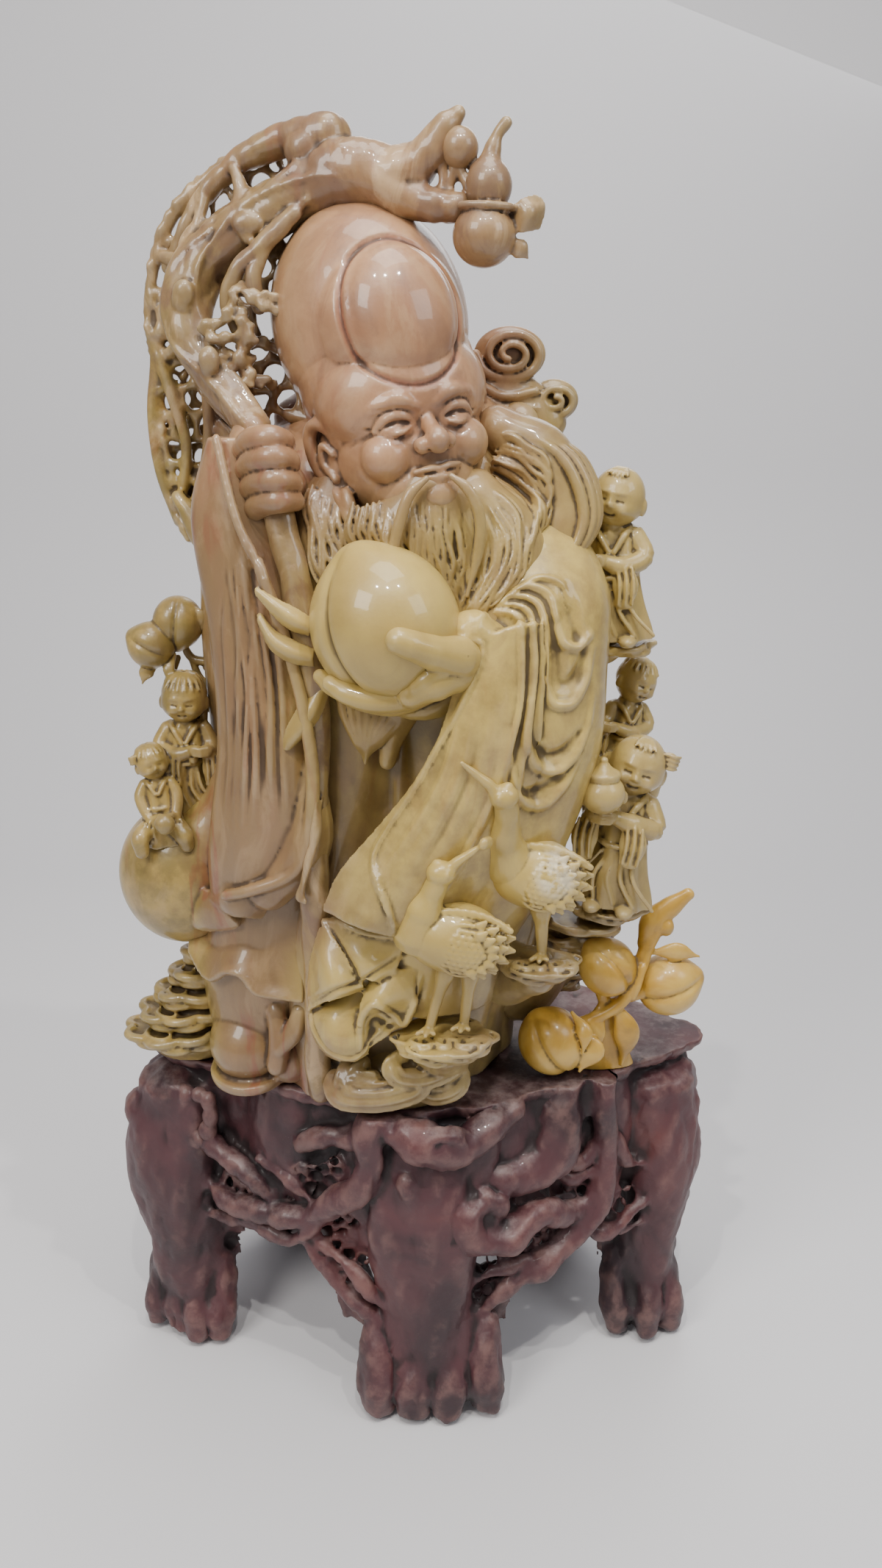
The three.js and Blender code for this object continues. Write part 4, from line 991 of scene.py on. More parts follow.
def makeBeardBase(s):
    masses = [
        [[-40, -50, 582, 12, 14], [-46, -60, 560, 18, 14], [-46, -68, 536, 17, 12], [-40, -74, 516, 12, 8]],
        [
            [9, -78, 574, 20, 13], [2, -76, 556, 26, 15], [-4, -78, 530, 28, 14], [-8, -80, 490, 24, 12],
            [-17, -77, 432, 5, 5],
        ],
        [[28, -64, 570, 16, 16], [44, -70, 545, 22, 16], [38, -78, 512, 22, 14], [18, -80, 484, 14, 10]],
        [[42, -40, 604, 12, 16], [64, -44, 588, 18, 16], [76, -50, 560, 15, 12], [68, -60, 534, 8, 8]],
    ]
    return fuse(makeObject("beard_base", [limb(stops, sides=24) for stops in masses]), s["voxel"], soften=6)


# Locks of hair: each lies on the skin beneath between two guides, waves a little and thins to a tip
def makeLocks(base, s):
    dice = random.Random(s["seed"])
    origin = toFrame(photoCamera["at"])
    paths = []
    for guide in s["guides"]:
        places = []
        for px, py in guide:
            way = toFrame(seen(px, py, 0)) - origin
            hit, spot, _, _ = base.ray_cast(tuple(origin), tuple(way / np.linalg.norm(way)))
            places.append(np.array(spot) * 1000 - shift if hit else None)
        depths = [p[1] for p in places if p is not None]
        back = sum(depths) / len(depths) if depths else -70
        for k, place in enumerate(places):
            if place is None:
                near = [
                    places[j][1] for j in (k - 1, k + 1) if 0 <= j < len(places) and places[j] is not None
                ]
                places[k] = np.array(seen(*guide[k], sum(near) / len(near) if near else back))
        paths.append(np.array(places))
    forms = []
    for a, b in zip(paths[:-1], paths[1:]):
        for k in range(s["between"]):
            mix = (k + dice.uniform(0.2, 0.8)) / s["between"]
            line = a * (1 - mix) + b * mix
            turns, phase = dice.uniform(1.4, 2.6), dice.uniform(0, 6.28)
            begin, end = dice.uniform(0, 0.06), dice.uniform(0.86, 1)
            shares = np.linspace(begin, end, 9)
            points, ways = curveAt(line, shares)
            swing = s["wave"] * np.sin(turns * 2 * math.pi * shares + phase) * np.minimum(1, 3 * shares)
            rise = 2.6 * np.clip(1 - 4 * shares, 0, 1)
            across = unit(np.cross(ways, [0, -1, 0]))
            proud = s["lift"] + dice.uniform(-0.5, 0.8) - rise[:, None]
            points = points + across * swing[:, None] + np.array([0, -1, 0]) * proud
            size = s["thick"] * dice.uniform(0.8, 1.25)
            sizes = size * np.array([0.6, 0.9, 1, 1.05, 1, 0.95, 0.85, 0.65, 0.3])
            forms.append(limb([[*p, w, 1.7 * w] for p, w in zip(points, sizes)], sides=9, steps=22))
    return makeObject("locks", forms)


def makeMoustache():
    return [
        limb([
            [5, -94, 582, 1.6], [-3, -97, 575, 2.8, 2.4], [-8, -98, 562, 3, 2.4], [-12, -98, 546, 2.8, 2.2],
            [-17, -96, 526, 1],
        ], sides=14),
        limb([
            [17, -91, 583, 1.6], [25, -93, 577, 2.8, 2.4], [31, -92, 564, 3, 2.4], [31, -91, 548, 2.8, 2.2],
            [25, -91, 524, 1],
        ], sides=14),
    ]


# The beard's last locks, which come out beneath the peach and draw to a point on the robe
def makeBeardTip():
    forms = []
    for k in range(9):
        share = (k - 4) / 4
        forms.append(limb([
            [*seen(517 + 58 * share, 925, -78), 2.6],
            [*seen(512 + 44 * share, 968, -80 - 3 * math.cos(share)), 3.2, 4],
            [*seen(502 + 18 * share, 1006, -80 - 3 * math.cos(share)), 2.6, 3.4],
            [*seen(497 + 3 * share, 1038 - 10 * abs(share), -79), 1],
        ], sides=12, steps=24))
    return forms


# Plain locks over the collar at the back of the head
def makeNapeLocks():
    forms = [limb([
        [-4, 14, 648, 26, 9], [-4, 33, 628, 37, 9], [-3, 42, 600, 37, 8], [-2, 47, 572, 27, 7],
        [-2, 49, 548, 12, 5],
    ], sides=32, steps=30, facing=(0, 1, 0))]
    for k in range(19):
        x = 4.5 * (k - 9)
        sway = 2.4 * math.sin(1.9 * k)
        hug = 0.009 * x * x
        forms.append(limb([
            [0.66 * x - 4, 22 - hug, 649, 2], [0.9 * x - 4, 42 - hug, 629, 3.2],
            [0.96 * x - 3 + sway, 50 - hug, 600, 3.4], [0.72 * x - sway, 54 - hug, 572, 3],
            [0.34 * x + sway, 56 - hug, 548 + 0.3 * abs(x), 1.4],
        ], sides=14, steps=30))
    # the same on the side of the hair beside the right cheek
    for k in range(9):
        aside = (k - 4) / 4.7
        proud = math.sqrt(1 - aside**2)
        forms.append(limb([
            [44 + 15 * proud, -40 + 16 * aside, 604, 1.8], [64 + 22 * proud, -44 + 17 * aside, 588, 3],
            [76 + 19 * proud, -50 + 13 * aside, 560, 3], [70 + 12 * proud, -59 + 9 * aside, 534, 1.4],
        ], sides=12, steps=24))
    return forms


def makeBeard(s):
    base = makeBeardBase(s)
    bpy.context.view_layer.update()
    locks = makeLocks(base, s)
    others = makeObject("moustache", [*makeMoustache(), *makeBeardTip(), *makeNapeLocks()])
    return fuse(joined("beard", [base, locks, others]), s["lockVoxel"], soften=1)


peachSettings = {"voxel": 0.9, "triangles": 32000}


# The peach on the open hand, with the thumb over its front and the leaves on its far side
def makePeachAndHand(s):
    fruit = peach(
        [-16, -98, 510], [39, 37, 41], turn={"roll": -22, "yaw": -48}, point=0.1, cleft=0.07, narrow=0.08,
        around=120, high=84,
    )
    hand = [
        limb(shown(
            (655, 900, -92, 15, 13), (620, 905, -110, 15, 13), (590, 925, -120, 11, 10),
            (560, 945, -122, 7, 7),
        ), sides=28, steps=36),
        limb(shown(
            (625, 895, -116, 11), (590, 888, -128, 8.6), (560, 878, -135, 7.4), (543, 872, -137, 6.8),
        ), sides=24, steps=30),
        limb(shown((604, 905, -122, 7), (580, 925, -126, 5), (566, 936, -126, 4)), sides=20),
        limb(shown(
            (603, 921, -112, 10), (556, 947, -116, 7), (512, 953, -118, 6.4), (474, 944, -116, 5.8),
            (450, 930, -112, 4.6),
        ), sides=20, steps=30),
        limb(shown(
            (591, 927, -104, 9), (544, 956, -106, 6.6), (497, 953, -108, 6), (453, 933, -104, 5.4),
            (436, 920, -100, 4),
        ), sides=20, steps=30),
        limb([[40, -92, 486, 10], [4, -98, 468, 7], [-34, -92, 478, 5.5]], sides=20),
    ]
    leaves = [
        panel([
            shown((346, 799, -92), (348, 802, -93), (350, 808, -92)),
            shown((376, 816, -95), (376, 825, -99), (373, 836, -96)),
            shown((403, 829, -96), (401, 845, -101), (394, 854, -96)),
            shown((423, 842, -94), (423, 854, -98), (421, 863, -94)),
        ], 3.2, across=20, along=24),
        panel([
            shown((351, 833, -92), (352, 838, -94), (354, 847, -92)),
            shown((372, 858, -94), (370, 869, -99), (372, 884, -94)),
            shown((399, 872, -95), (394, 887, -101), (399, 900, -95)),
            shown((428, 885, -92), (426, 895, -97), (428, 905, -92)),
        ], 3.2, across=20, along=24),
        panel([
            shown((430, 927, -86), (439, 934, -90), (444, 946, -86)),
            shown((409, 959, -90), (423, 968, -95), (435, 972, -90)),
            shown((390, 994, -90), (405, 999, -95), (418, 994, -90)),
            shown((385, 1019, -88), (390, 1019, -90), (397, 1014, -88)),
        ], 3.2, across=20, along=24),
    ]
    holding = fuse(makeObject("hand", [*hand, *leaves]), s["voxel"], soften=1)
    return joined("peach_and_hand", [holding, makeObject("fruit", [fruit])])


fistSettings = {"voxel": 1.0, "triangles": 14000}


# The fist that grips the staff, its four fingers one above another
def makeFist(s):
    fingers = [
        shown(
            (329, 613, -66, 6.2), (345, 599, -78, 6.8), (367, 596, -84, 6.6), (384, 599, -78, 5.8),
            (391, 604, -70, 4.6),
        ),
        shown(
            (333, 641, -68, 6.4), (350, 626, -80, 7), (372, 622, -86, 6.8), (391, 626, -80, 6),
            (397, 632, -72, 4.8),
        ),
        shown(
            (337, 668, -68, 6.4), (355, 655, -80, 7), (377, 653, -86, 6.8), (395, 656, -80, 6),
            (401, 662, -72, 4.8),
        ),
        shown(
            (341, 697, -68, 6.2), (360, 684, -80, 6.8), (380, 681, -86, 6.4), (398, 681, -80, 5.6),
            (404, 684, -74, 4.4),
        ),
    ]
    forms = [limb(stops, sides=20, steps=26) for stops in fingers]
    forms += [
        ball([-86, -58, 584], [13, 13, 27], around=32, high=24),
        limb(shown((340, 666, -62, 12), (345, 702, -60, 13), (348, 739, -58, 14)), sides=24),
        limb(shown((398, 644, -62, 5), (403, 656, -64, 5.5), (402, 671, -66, 4.5))),
    ]
    return fuse(makeObject("fist", forms), s["voxel"], soften=2)


branchSettings = {"voxel": 1.1, "triangles": 70000, "seed": 8, "gnarl": 0.9}


# The staff: a straight pole below, and a gnarled root above that arches over the head and forks
def makeBranch(s):
    pole = limb([
        [-84, -60, 604, 7], [-70, -74, 560, 8], [-57, -84, 500, 9], [-54, -84, 440, 7], [-58, -86, 360, 7],
        [-60, -84, 300, 6.6], [-60, -78, 226, 7.4],
    ], sides=20, steps=80)
    ribbon = [
        limb(shown(
            (438, 1088, -92, 2, 3), (430, 1133, -96, 3.4, 3), (419, 1173, -97, 3, 3),
            (412, 1204, -97, 2, 2.4), (409, 1222, -97, 3, 2.6), (414, 1227, -98, 2, 2),
        )),
        limb(shown((423, 1048, -94, 1.6), (430, 1092, -96, 2.2), (425, 1137, -97, 1.8))),
    ]
    arch = limb([
        [-84, -58, 602, 8], [-104, -44, 630, 10], [-119, -32, 655, 12.5], [-112, -27, 681, 12.5],
        [-88, -26, 700, 14], [-62, -30, 714, 14], [-36, -34, 724, 17], [-8, -42, 723, 13], [6, -47, 732, 9],
        [14, -49, 742, 6], [21, -50, 748, 3],
    ], sides=36, steps=110)
    lie, ways = curveAt([
        [-84, -58, 602], [-104, -44, 630], [-119, -32, 655], [-112, -27, 681], [-88, -26, 700],
        [-62, -30, 714], [-36, -34, 724], [-8, -42, 723],
    ], np.linspace(0, 1, 22))
    around = unit(np.cross(ways, [0, -1, 0]))
    girth = easedAt([8, 10, 12.5, 12.5, 14, 14, 16, 12], np.linspace(0, 1, 22))
    ridges = []
    for k in range(9):
        turn = k * 2 * math.pi / 9 + 0.7 * np.sin(np.linspace(0, 7, 22) + 1.7 * k)
        out = around * np.cos(turn)[:, None] + np.cross(around, ways) * np.sin(turn)[:, None]
        begin = 3 * (k % 3)
        ridges.append(limb(
            [[*p, 2.6] for p in (lie + out * (girth * 0.93)[:, None])[begin:begin + 14]], sides=10, steps=60,
        ))
    knots = [
        ball([-118, -43, 668], [6, 4, 8], around=20, high=14),
        ball([-84, -40, 701], [8, 4, 5.5], around=20, high=14),
        ball([-105, -55, 636], [5, 4, 7], around=20, high=14),
    ]
    prong = [
        limb([[-22, -42, 722, 11], [-4, -46, 712, 10], [8, -50, 708, 8.4], [15, -51, 707, 7]], sides=24),
        limb([[14, -51, 707, 7.6], [19, -51, 707, 7.8]], sides=24),
        limb([[17, -51, 707, 5], [24, -52, 705, 3.5], [30, -53, 706, 3]], sides=16),
    ]
    knob = [
        ball([-45, -31, 741], [14, 11, 12], around=32, high=24),
        ball([-54, -32, 735], [12, 10, 10], around=32, high=24),
        ball([-36, -47, 731], [4.2, 3, 5], turn={"roll": -25}),
    ]
    upperRoot = limb([
        [-50, -29, 742, 10], [-72, -24, 740, 8], [-94, -20, 729, 6], [-106, -18, 720, 5],
        [-120, -16, 702, 4.4], [-130, -14, 684, 4],
    ], sides=20, steps=50)
    struts = [
        limb([[12, -48, 733, 2.6], [13, -49, 722, 2.4], [13, -50, 712, 3]]),
        limb([[20, -50, 727, 3], [17, -50, 718, 2.6], [14, -50, 711, 3]]),
        limb([[28, -52, 712, 3], [22, -51, 722, 2.4], [20, -50, 728, 3]]),
    ]
    vines = [
        [[-92, -26, 728, 3], [-88, -30, 716, 3.6], [-90, -36, 704, 4], [-84, -40, 694, 3]],
        [[-108, -20, 716, 3], [-112, -24, 704, 3.4], [-118, -28, 692, 3.4], [-114, -34, 678, 4]],
        [
            [-60, -42, 706, 4], [-78, -44, 690, 4.6], [-90, -44, 680, 4], [-96, -42, 664, 4.4],
            [-92, -44, 652, 3],
        ],
        [[-74, -44, 692, 3], [-82, -46, 676, 3.4], [-80, -44, 662, 3]],
        [[-112, -36, 650, 3.6], [-106, -40, 640, 4], [-98, -46, 624, 4], [-90, -54, 612, 3]],
    ]
    forms = [
        pole, arch, *ridges, *knots, upperRoot, *ribbon, *prong, *knob, *struts,
        *[limb(v, sides=14, steps=30) for v in vines],
    ]
    branch = makeObject("branch", forms)
    fuse(branch, s["voxel"], soften=3)
    gnarl(branch, s["gnarl"], s["seed"], sizes=(30, 17, 10))
    return branch


gourdSettings = {"voxel": 0.9, "triangles": 14000}


# The double gourd with its waist cord, bent stem and cup leaves, and the small fruit beside it
def makeGourd(s):
    forms = [
        ball([33, -55, 694], [15.5, 15.5, 14.6], around=48, high=36),
        ball([35, -55, 716], [11.4, 11.4, 12.5], around=40, high=30),
        limb([
            [34, -67.5, 706.5, 1.7], [45.5, -62, 706, 1.7], [46.5, -50, 705, 1.7], [35, -43, 705, 1.7],
            [23, -49, 706, 1.7], [22, -61, 707, 1.7], [34, -67.5, 706.5, 1.7],
        ], steps=60, sides=14),
        limb([
            [35, -55, 722, 8], [36.5, -55, 731, 4.4], [39, -55, 738, 2.8], [43, -55, 743, 3],
        ], sides=20, steps=26),
        ball([21, -51, 733], [9.2, 9.2, 9.6], around=32, high=24),
        panel([
            [[46, -56, 704], [50, -60, 709], [58, -54, 712]],
            [[47, -57, 699], [54, -63, 703], [62, -55, 708]],
            [[46, -56, 695], [52, -60, 695], [60, -54, 697]],
        ], 2.4, across=16, along=16),
        leaf([44, -56, 692], [55, -52, 684], 5, 2.6, bulge=(1, -2, 0)),
        limb([[46, -55, 700, 2.4], [52, -54, 703, 2]]),
        limb([[24, -53, 705, 3.4], [14, -51, 707, 5]]),
    ]
    return fuse(makeObject("gourd", forms), s["voxel"], soften=2)


screenSettings = {"voxel": 1.2, "triangles": 46000, "seed": 3}


# An openwork band like worn bark: an uneven honeycomb of thin webs laid along a path
def honeycomb(path, halfWidth, cell, thick, dice, depth=3.0, sides=8):
    stops = np.asarray(path, float)
    length = np.linalg.norm(np.diff(stops[:, :3], axis=0), axis=1).sum()
    high = cell * math.sqrt(3) / 2
    rows, columns = int(length / (1.5 * cell)) + 1, int(2 * halfWidth / (2 * high)) + 2
    corners = {}

    def corner(u, v):
        key = (round(u, 1), round(v, 1))
        if key not in corners:
            jitter = [dice.uniform(-0.24, 0.24) * cell for _ in range(2)]
            along = min(max((u + jitter[0]) / length, 0), 1)
            place, way = curveAt(stops[:, :3], np.array([along]))
            aside = np.cross(way[0], [0, -1, 0])
            half = easedAt(stops[:, 3], np.array([along]))[0]
            offset = max(-half, min(half, v + jitter[1]))
            corners[key] = place[0] + unit(aside) * offset + np.array([0, dice.uniform(-depth, depth), 0])
        return key

    edges = set()
    for r in range(rows):
        for c in range(-columns, columns + 1):
            u, v = r * 1.5 * cell, c * 2 * high + (r % 2) * high
            if abs(v) > halfWidth + high * 0.4:
                continue
            keys = [
                corner(u + cell * math.cos(k * math.pi / 3), v + cell * math.sin(k * math.pi / 3))
                for k in range(6)
            ]
            for a, b in zip(keys, keys[1:] + keys[:1]):
                edges.add((min(a, b), max(a, b)))
    forms = []
    for a, b in sorted(edges):
        p, q = corners[a], corners[b]
        if np.linalg.norm(p - q) > 0.5:
            size = thick * dice.uniform(0.85, 1.3)
            middle = (p + q) / 2
            forms.append(limb([
                [*p, size * 1.25], [*middle, size * 0.85], [*q, size * 1.25],
            ], sides=sides, steps=4))
    return forms


# The screen of openwork outside the arch and down the shoulder, and the knobby twigs inside it
def makeScreen(s):
    dice = random.Random(s["seed"])
    outer = honeycomb([
        [-70, -16, 732, 9], [-100, -14, 719, 12], [-124, -12, 694, 12], [-134, -10, 664, 10],
        [-136, -8, 640, 8],
    ], 12, 7.5, 1.9, dice)
    shoulder = honeycomb([
        [-126, -10, 672, 9], [-124, -10, 640, 16], [-122, -8, 610, 20], [-124, -6, 578, 16],
        [-127, -7, 556, 9], [-126, -9, 544, 4],
    ], 20, 7.5, 2.2, dice)
    shoulder += honeycomb([
        [-130, -2, 662, 8], [-130, -1, 630, 14], [-127, 1, 604, 17], [-128, 0, 574, 13], [-130, -2, 556, 6],
    ], 18, 6.5, 1.9, dice)
    inner = honeycomb([
        [-84, -24, 706, 10], [-80, -24, 676, 14], [-78, -26, 640, 15], [-76, -28, 608, 13],
    ], 14, 8.5, 2.2, dice)
    rims = [
        [
            [-72, -16, 740, 2.6], [-102, -14, 729, 3], [-128, -12, 706, 3], [-143, -10, 668, 3],
            [-142, -8, 640, 3.4], [-146, -8, 610, 3.4], [-144, -8, 580, 3.4], [-136, -6, 552, 3.4],
        ],
        [[-142, -10, 648, 3], [-134, -12, 620, 3.4], [-128, -12, 594, 3.2], [-134, -8, 562, 3]],
        [[-118, -14, 650, 3], [-114, -16, 620, 3.4], [-116, -14, 590, 3.4], [-126, -10, 560, 3.4]],
    ]
    ties = [
        [[-134, -14, 566, 4], [-118, -22, 545, 9]],
        [[-68, -22, 690, 4], [-44, -26, 684, 6]],
        [[-66, -26, 632, 3.5], [-46, -28, 630, 6]],
        [[-70, -26, 610, 3.5], [-50, -28, 606, 6]],
        [[-110, -12, 604, 4], [-92, -40, 590, 6]],
        [[-136, -10, 640, 3], [-118, -28, 650, 5]],
        [[-138, -10, 690, 3], [-120, -24, 684, 5]],
    ]
    forms = [
        *outer, *shoulder, *inner, *[limb(r, sides=12, steps=40) for r in rims],
        *[limb(t, steps=8) for t in ties],
    ]
    forms += makeTwigs(dice)
    return fuse(makeObject("screen", forms), s["voxel"], soften=2)


# Knobby twigs set with small buds, in front of the gap between the arch and the head
def makeTwigs(dice):
    lines = [
        shown((328, 385, -44), (316, 409, -48), (306, 436, -50), (287, 443, -48), (275, 450, -46)),
        shown((333, 390, -44), (345, 402, -50), (364, 407, -50), (381, 410, -48)),
        shown((345, 409, -48), (360, 416, -50), (379, 422, -48)),
        shown((321, 419, -46), (331, 438, -50), (340, 453, -50), (345, 467, -48)),
        shown((287, 453, -46), (297, 462, -50), (316, 460, -50), (335, 458, -48)),
        shown((326, 460, -46), (328, 477, -50), (321, 494, -50), (311, 501, -48)),
        shown((299, 482, -46), (304, 506, -48), (306, 521, -48)),
        shown((335, 484, -46), (338, 506, -48), (340, 523, -48)),
        shown((340, 462, -40), (360, 467, -36), (374, 471, -32)),
        shown((338, 523, -44), (357, 519, -40), (374, 521, -34)),
        shown((311, 484, -44), (326, 489, -48), (345, 487, -46)),
    ]
    forms = []
    for line in lines:
        forms.append(limb([[*p, 2.1] for p in line], sides=10, steps=16))
        shares = np.linspace(0.05, 0.95, 4 + 2 * len(line))
        for x, y, z in curveAt(line, shares)[0]:
            size = dice.uniform(2.2, 3.6)
            forms.append(ball([
                x + dice.uniform(-2.4, 2.4), y - dice.uniform(0, 3), z + dice.uniform(-2.4, 2.4),
            ], [size, size * 0.8, size * dice.uniform(0.6, 1)], around=12, high=8))
    return forms


scrollSettings = {"voxel": 1.0, "triangles": 18000}


# A line that winds in to the middle of a cloud
def spiral(x, y, z, size, thick, turns=1.6, way=1, start=0.0, squash=0.75, lean=0.0):
    stops = []
    count = int(10 * turns) + 1
    for k in range(count):
        share = k / (count - 1)
        angle = start + way * share * turns * 2 * math.pi
        reach = size * (1 - 0.82 * share)
        stops.append([
            x + reach * math.cos(angle), y - 3 * share + lean * math.sin(angle),
            z + squash * reach * math.sin(angle), thick * (1 - 0.35 * share),
        ])
    return limb(stops, sides=12, steps=10 * count)


def makeShoulderCloud(s):
    forms = [
        ball([50, 8, 641], [20, 7, 15], around=40, high=28),
        ball([75, 9, 617], [14, 7, 11.5], around=40, high=28),
        limb([
            [10, 6, 610, 12, 10], [30, 6, 616, 14, 10], [52, 6, 618, 15, 10], [72, 6, 604, 12, 10],
        ], sides=24),
        spiral(50, 0, 641, 19, 2.8, turns=2.2, start=math.pi),
        spiral(75, 1, 617, 13, 2.4, turns=1.8, start=math.pi * 0.9),
        spiral(30, -1, 618, 10, 2.2, turns=1.4, start=math.pi * 0.2),
    ]
    for k in range(3):
        forms.append(limb([
            [8, -3, 622 - 6 * k, 2.4], [26, -5, 628 - 6 * k, 2.6], [46, -4, 619 - 6 * k, 2.6],
            [64, -3, 622 - 9 * k, 2.2],
        ], steps=30))
    return fuse(makeObject("shoulder_cloud", forms), s["voxel"], soften=1)


ledgeSettings = {"voxel": 1.15, "triangles": 72000}


# A ledge of cloud: flat lobed layers with rolled rims, one on another, and curls on top
def cloudLedge(x, y, z, wide, deep, high, lobes=5, layers=5, turn=0.0, curls=True):
    forms = []
    angles = np.linspace(0, 2 * math.pi, 10 * lobes + 1)
    for k in range(layers):
        top, grow = z - high * k / layers, 1 - 0.07 * k
        slide = 0.05 * wide * math.sin(2.3 * k + turn)
        reach = grow * (0.9 + 0.2 * np.abs(np.cos(lobes * angles / 2 + turn + 0.9 * k)))
        rise = 0.8 * np.sin(3 * angles + turn + 1.4 * k)
        rim = [
            [
                x + slide + wide * r * math.cos(a), y - deep * r * math.sin(a), top - 1.2 + up,
                high / layers * 0.6,
            ]
            for r, a, up in zip(reach, angles, rise)
        ]
        forms.append(limb(rim, sides=10, steps=14 * lobes))
        forms.append(stack([
            [top - high / layers * 1.3, x + slide, y, wide * grow * 0.86, deep * grow * 0.86],
            [top - 0.2, x + slide, y, wide * grow * 0.95, deep * grow * 0.95],
        ], sides=40, rows=6))
    if curls:
        for side, share, size in ((-1, 0.42, 0.34), (1, 0.4, 0.32), (-1, 0.02, 0.22), (1, 0.75, 0.2)):
            forms.append(spiral(
                x + side * wide * share, y - deep * 0.35, z + 0.8, wide * size, 1.7, turns=1.5, squash=0.1,
                lean=-deep * 0.26, way=side, start=math.pi * (side > 0),
            ))
    return forms


# A band of cloud: a flat ribbon with a rolled line along each side and one down its middle
def cloudBand(stops, wide, thick=5.0, line=1.7):
    shares = np.linspace(0, 1, 4 * len(stops))
    points, ways = curveAt(stops, shares)
    across = unit(np.cross(ways, [0, -1, 0]))
    forms = [limb([[*p, wide, thick] for p in stops], sides=20, steps=12 * len(stops))]
    for side in (-0.85, 0.0, 0.85):
        path = points + across * wide * side + np.array([0, -thick * (0.9 if side == 0 else 0.55), 0])
        forms.append(limb([[*p, line] for p in path], sides=8, steps=14 * len(stops)))
    return forms


def makeLedges(s):
    forms = []
    for k in range(5):
        wide = 12 + 4.6 * k
        forms += cloudLedge(
            -136 - 4.2 * k, -18 - 2 * k, 291 - 12.5 * k, wide, 11 + 2.6 * k, 9.5, 4 + k, layers=2,
            turn=1.3 * k, curls=False,
        )
        forms.append(spiral(
            -140 - 5.4 * k, -20 - 4 * k, 292 - 12.5 * k, wide * 0.5, 1.5, turns=1.3, squash=0.08,
            lean=-wide * 0.3, way=-1,
        ))
    forms += [
        stack([[standTop, -148, -14, 24, 18], [230, -149, -15, 30, 22], [240, -149, -15, 24, 18]], sides=48),
        limb([[-138, -4, 236, 20], [-126, 0, 296, 18]], sides=24),
        stack([[standTop, -17, -62, 36, 24], [230, -17, -62, 42, 27], [252, -10, -58, 26, 18]], sides=60),
    ]
    forms += cloudLedge(14, -98, 276, 28, 20, 11, 6)
    forms += cloudLedge(68, -84, 316, 22, 17, 9, 5, turn=1)
    forms += cloudLedge(98, -6, 300, 24, 20, 14, 6, turn=3)
    forms += cloudLedge(84, 16, 262, 26, 20, 14, 6, turn=4)
    forms += cloudLedge(112, -22, 487, 20, 18, 6, 5, layers=2, curls=False)
    forms += cloudLedge(112, -44, 334, 22, 19, 8, 5, turn=2)
    forms += cloudLedge(98, -40, 323, 22, 18, 6, 5, layers=2, turn=0.5, curls=False)
    supports = [
        [[14, -94, 266, 14], [10, -74, 250, 20], [4, -60, 236, 24]],
        [[66, -80, 306, 13], [50, -60, 296, 20]],
        [[108, -20, 482, 8], [92, -14, 474, 12]],
        [[108, -30, 320, 13], [90, 2, 300, 22], [60, 0, 262, 30]],
        [[112, -28, 330, 12], [112, -8, 380, 14], [98, -4, 430, 14]],
        [[96, -22, 400, 8], [112, -16, 392, 9], [122, -18, 380, 8]],
    ]
    forms += [limb(stops, sides=24) for stops in supports]
    forms += makeFootClouds()
    return fuse(makeObject("cloud_ledges", forms), s["voxel"], soften=1)


# The bands of cloud that curl along the foot of the carving between the staff and the near crane
def makeFootClouds():
    bands = [
        (
            shown(
                (453, 1466, -84), (463, 1490, -92), (497, 1496, -95), (541, 1491, -95), (570, 1478, -92),
                (563, 1466, -92), (541, 1466, -92),
            ),
            6.5,
        ),
        (shown((473, 1451, -84), (470, 1471, -90), (497, 1482, -92), (536, 1478, -92)), 5.5),
        (shown((494, 1447, -84), (485, 1461, -88), (507, 1466, -89)), 5),
        (
            shown(
                (548, 1437, -86), (533, 1449, -92), (543, 1464, -94), (580, 1466, -92), (614, 1451, -88),
                (624, 1437, -82),
            ),
            5.5,
        ),
        (shown((628, 1461, -80), (621, 1478, -84), (594, 1488, -86), (575, 1483, -86)), 5.5),
    ]
    return [form for stops, wide in bands for form in cloudBand(stops, wide)]


childSettings = {"voxel": 0.68, "triangles": 72000}


def scaled(ownFrame, size):
    matrix = np.eye(4)
    matrix[:3, :3] *= size
    return ownFrame @ matrix


# A plain smiling doll's head: full cheeks, closed eyes and a small nose worked into one ball
def dollHead(head):
    points, faces = unitBall(80, 60)
    x, y, z = points.T
    front = np.clip(-4 * y, 0, 1)

    def swell(u, v, wide, tall):
        return np.exp(-(((x - u) / wide) ** 2) - ((z - v) / tall) ** 2) * front

    reach = 1 + 0.17 * swell(0, -0.22, 0.11, 0.1) + 0.06 * swell(0, -0.04, 0.09, 0.14) - 0.04 * swell(
        0, -0.38, 0.08, 0.05,
    )
    reach = reach + 0.06 * swell(0, -0.46, 0.16, 0.06) + 0.07 * swell(0, -0.66, 0.13, 0.06)
    reach = reach + 0.06 * swell(0, -0.8, 0.22, 0.12)
    reach = reach - 0.15 * np.exp(-(((z + 0.56 - 1.1 * x**2) / 0.055) ** 2)) * (np.abs(x) < 0.25) * front
    for side in (-1, 1):
        reach = reach + 0.15 * swell(side * 0.43, -0.4, 0.22, 0.2) + 0.06 * swell(
            side * 0.32, 0.2, 0.22, 0.07,
        )
        reach = reach - 0.11 * swell(side * 0.33, 0.0, 0.21, 0.13) + 0.1 * swell(
            side * 0.34, -0.02, 0.14, 0.075,
        )
        arc = z + 0.06 + 1.4 * (x - side * 0.34) ** 2
        reach = reach - 0.1 * np.exp(-((arc / 0.045) ** 2)) * (np.abs(x - side * 0.34) < 0.16) * front
    full = 1 + 0.07 * np.exp(-(((z + 0.4) / 0.35) ** 2))
    made = np.stack([x * reach * full, y * reach, z], -1) * [0.15, 0.148, 0.165] + [0, 0, 0.135]
    return placed(made, head), faces


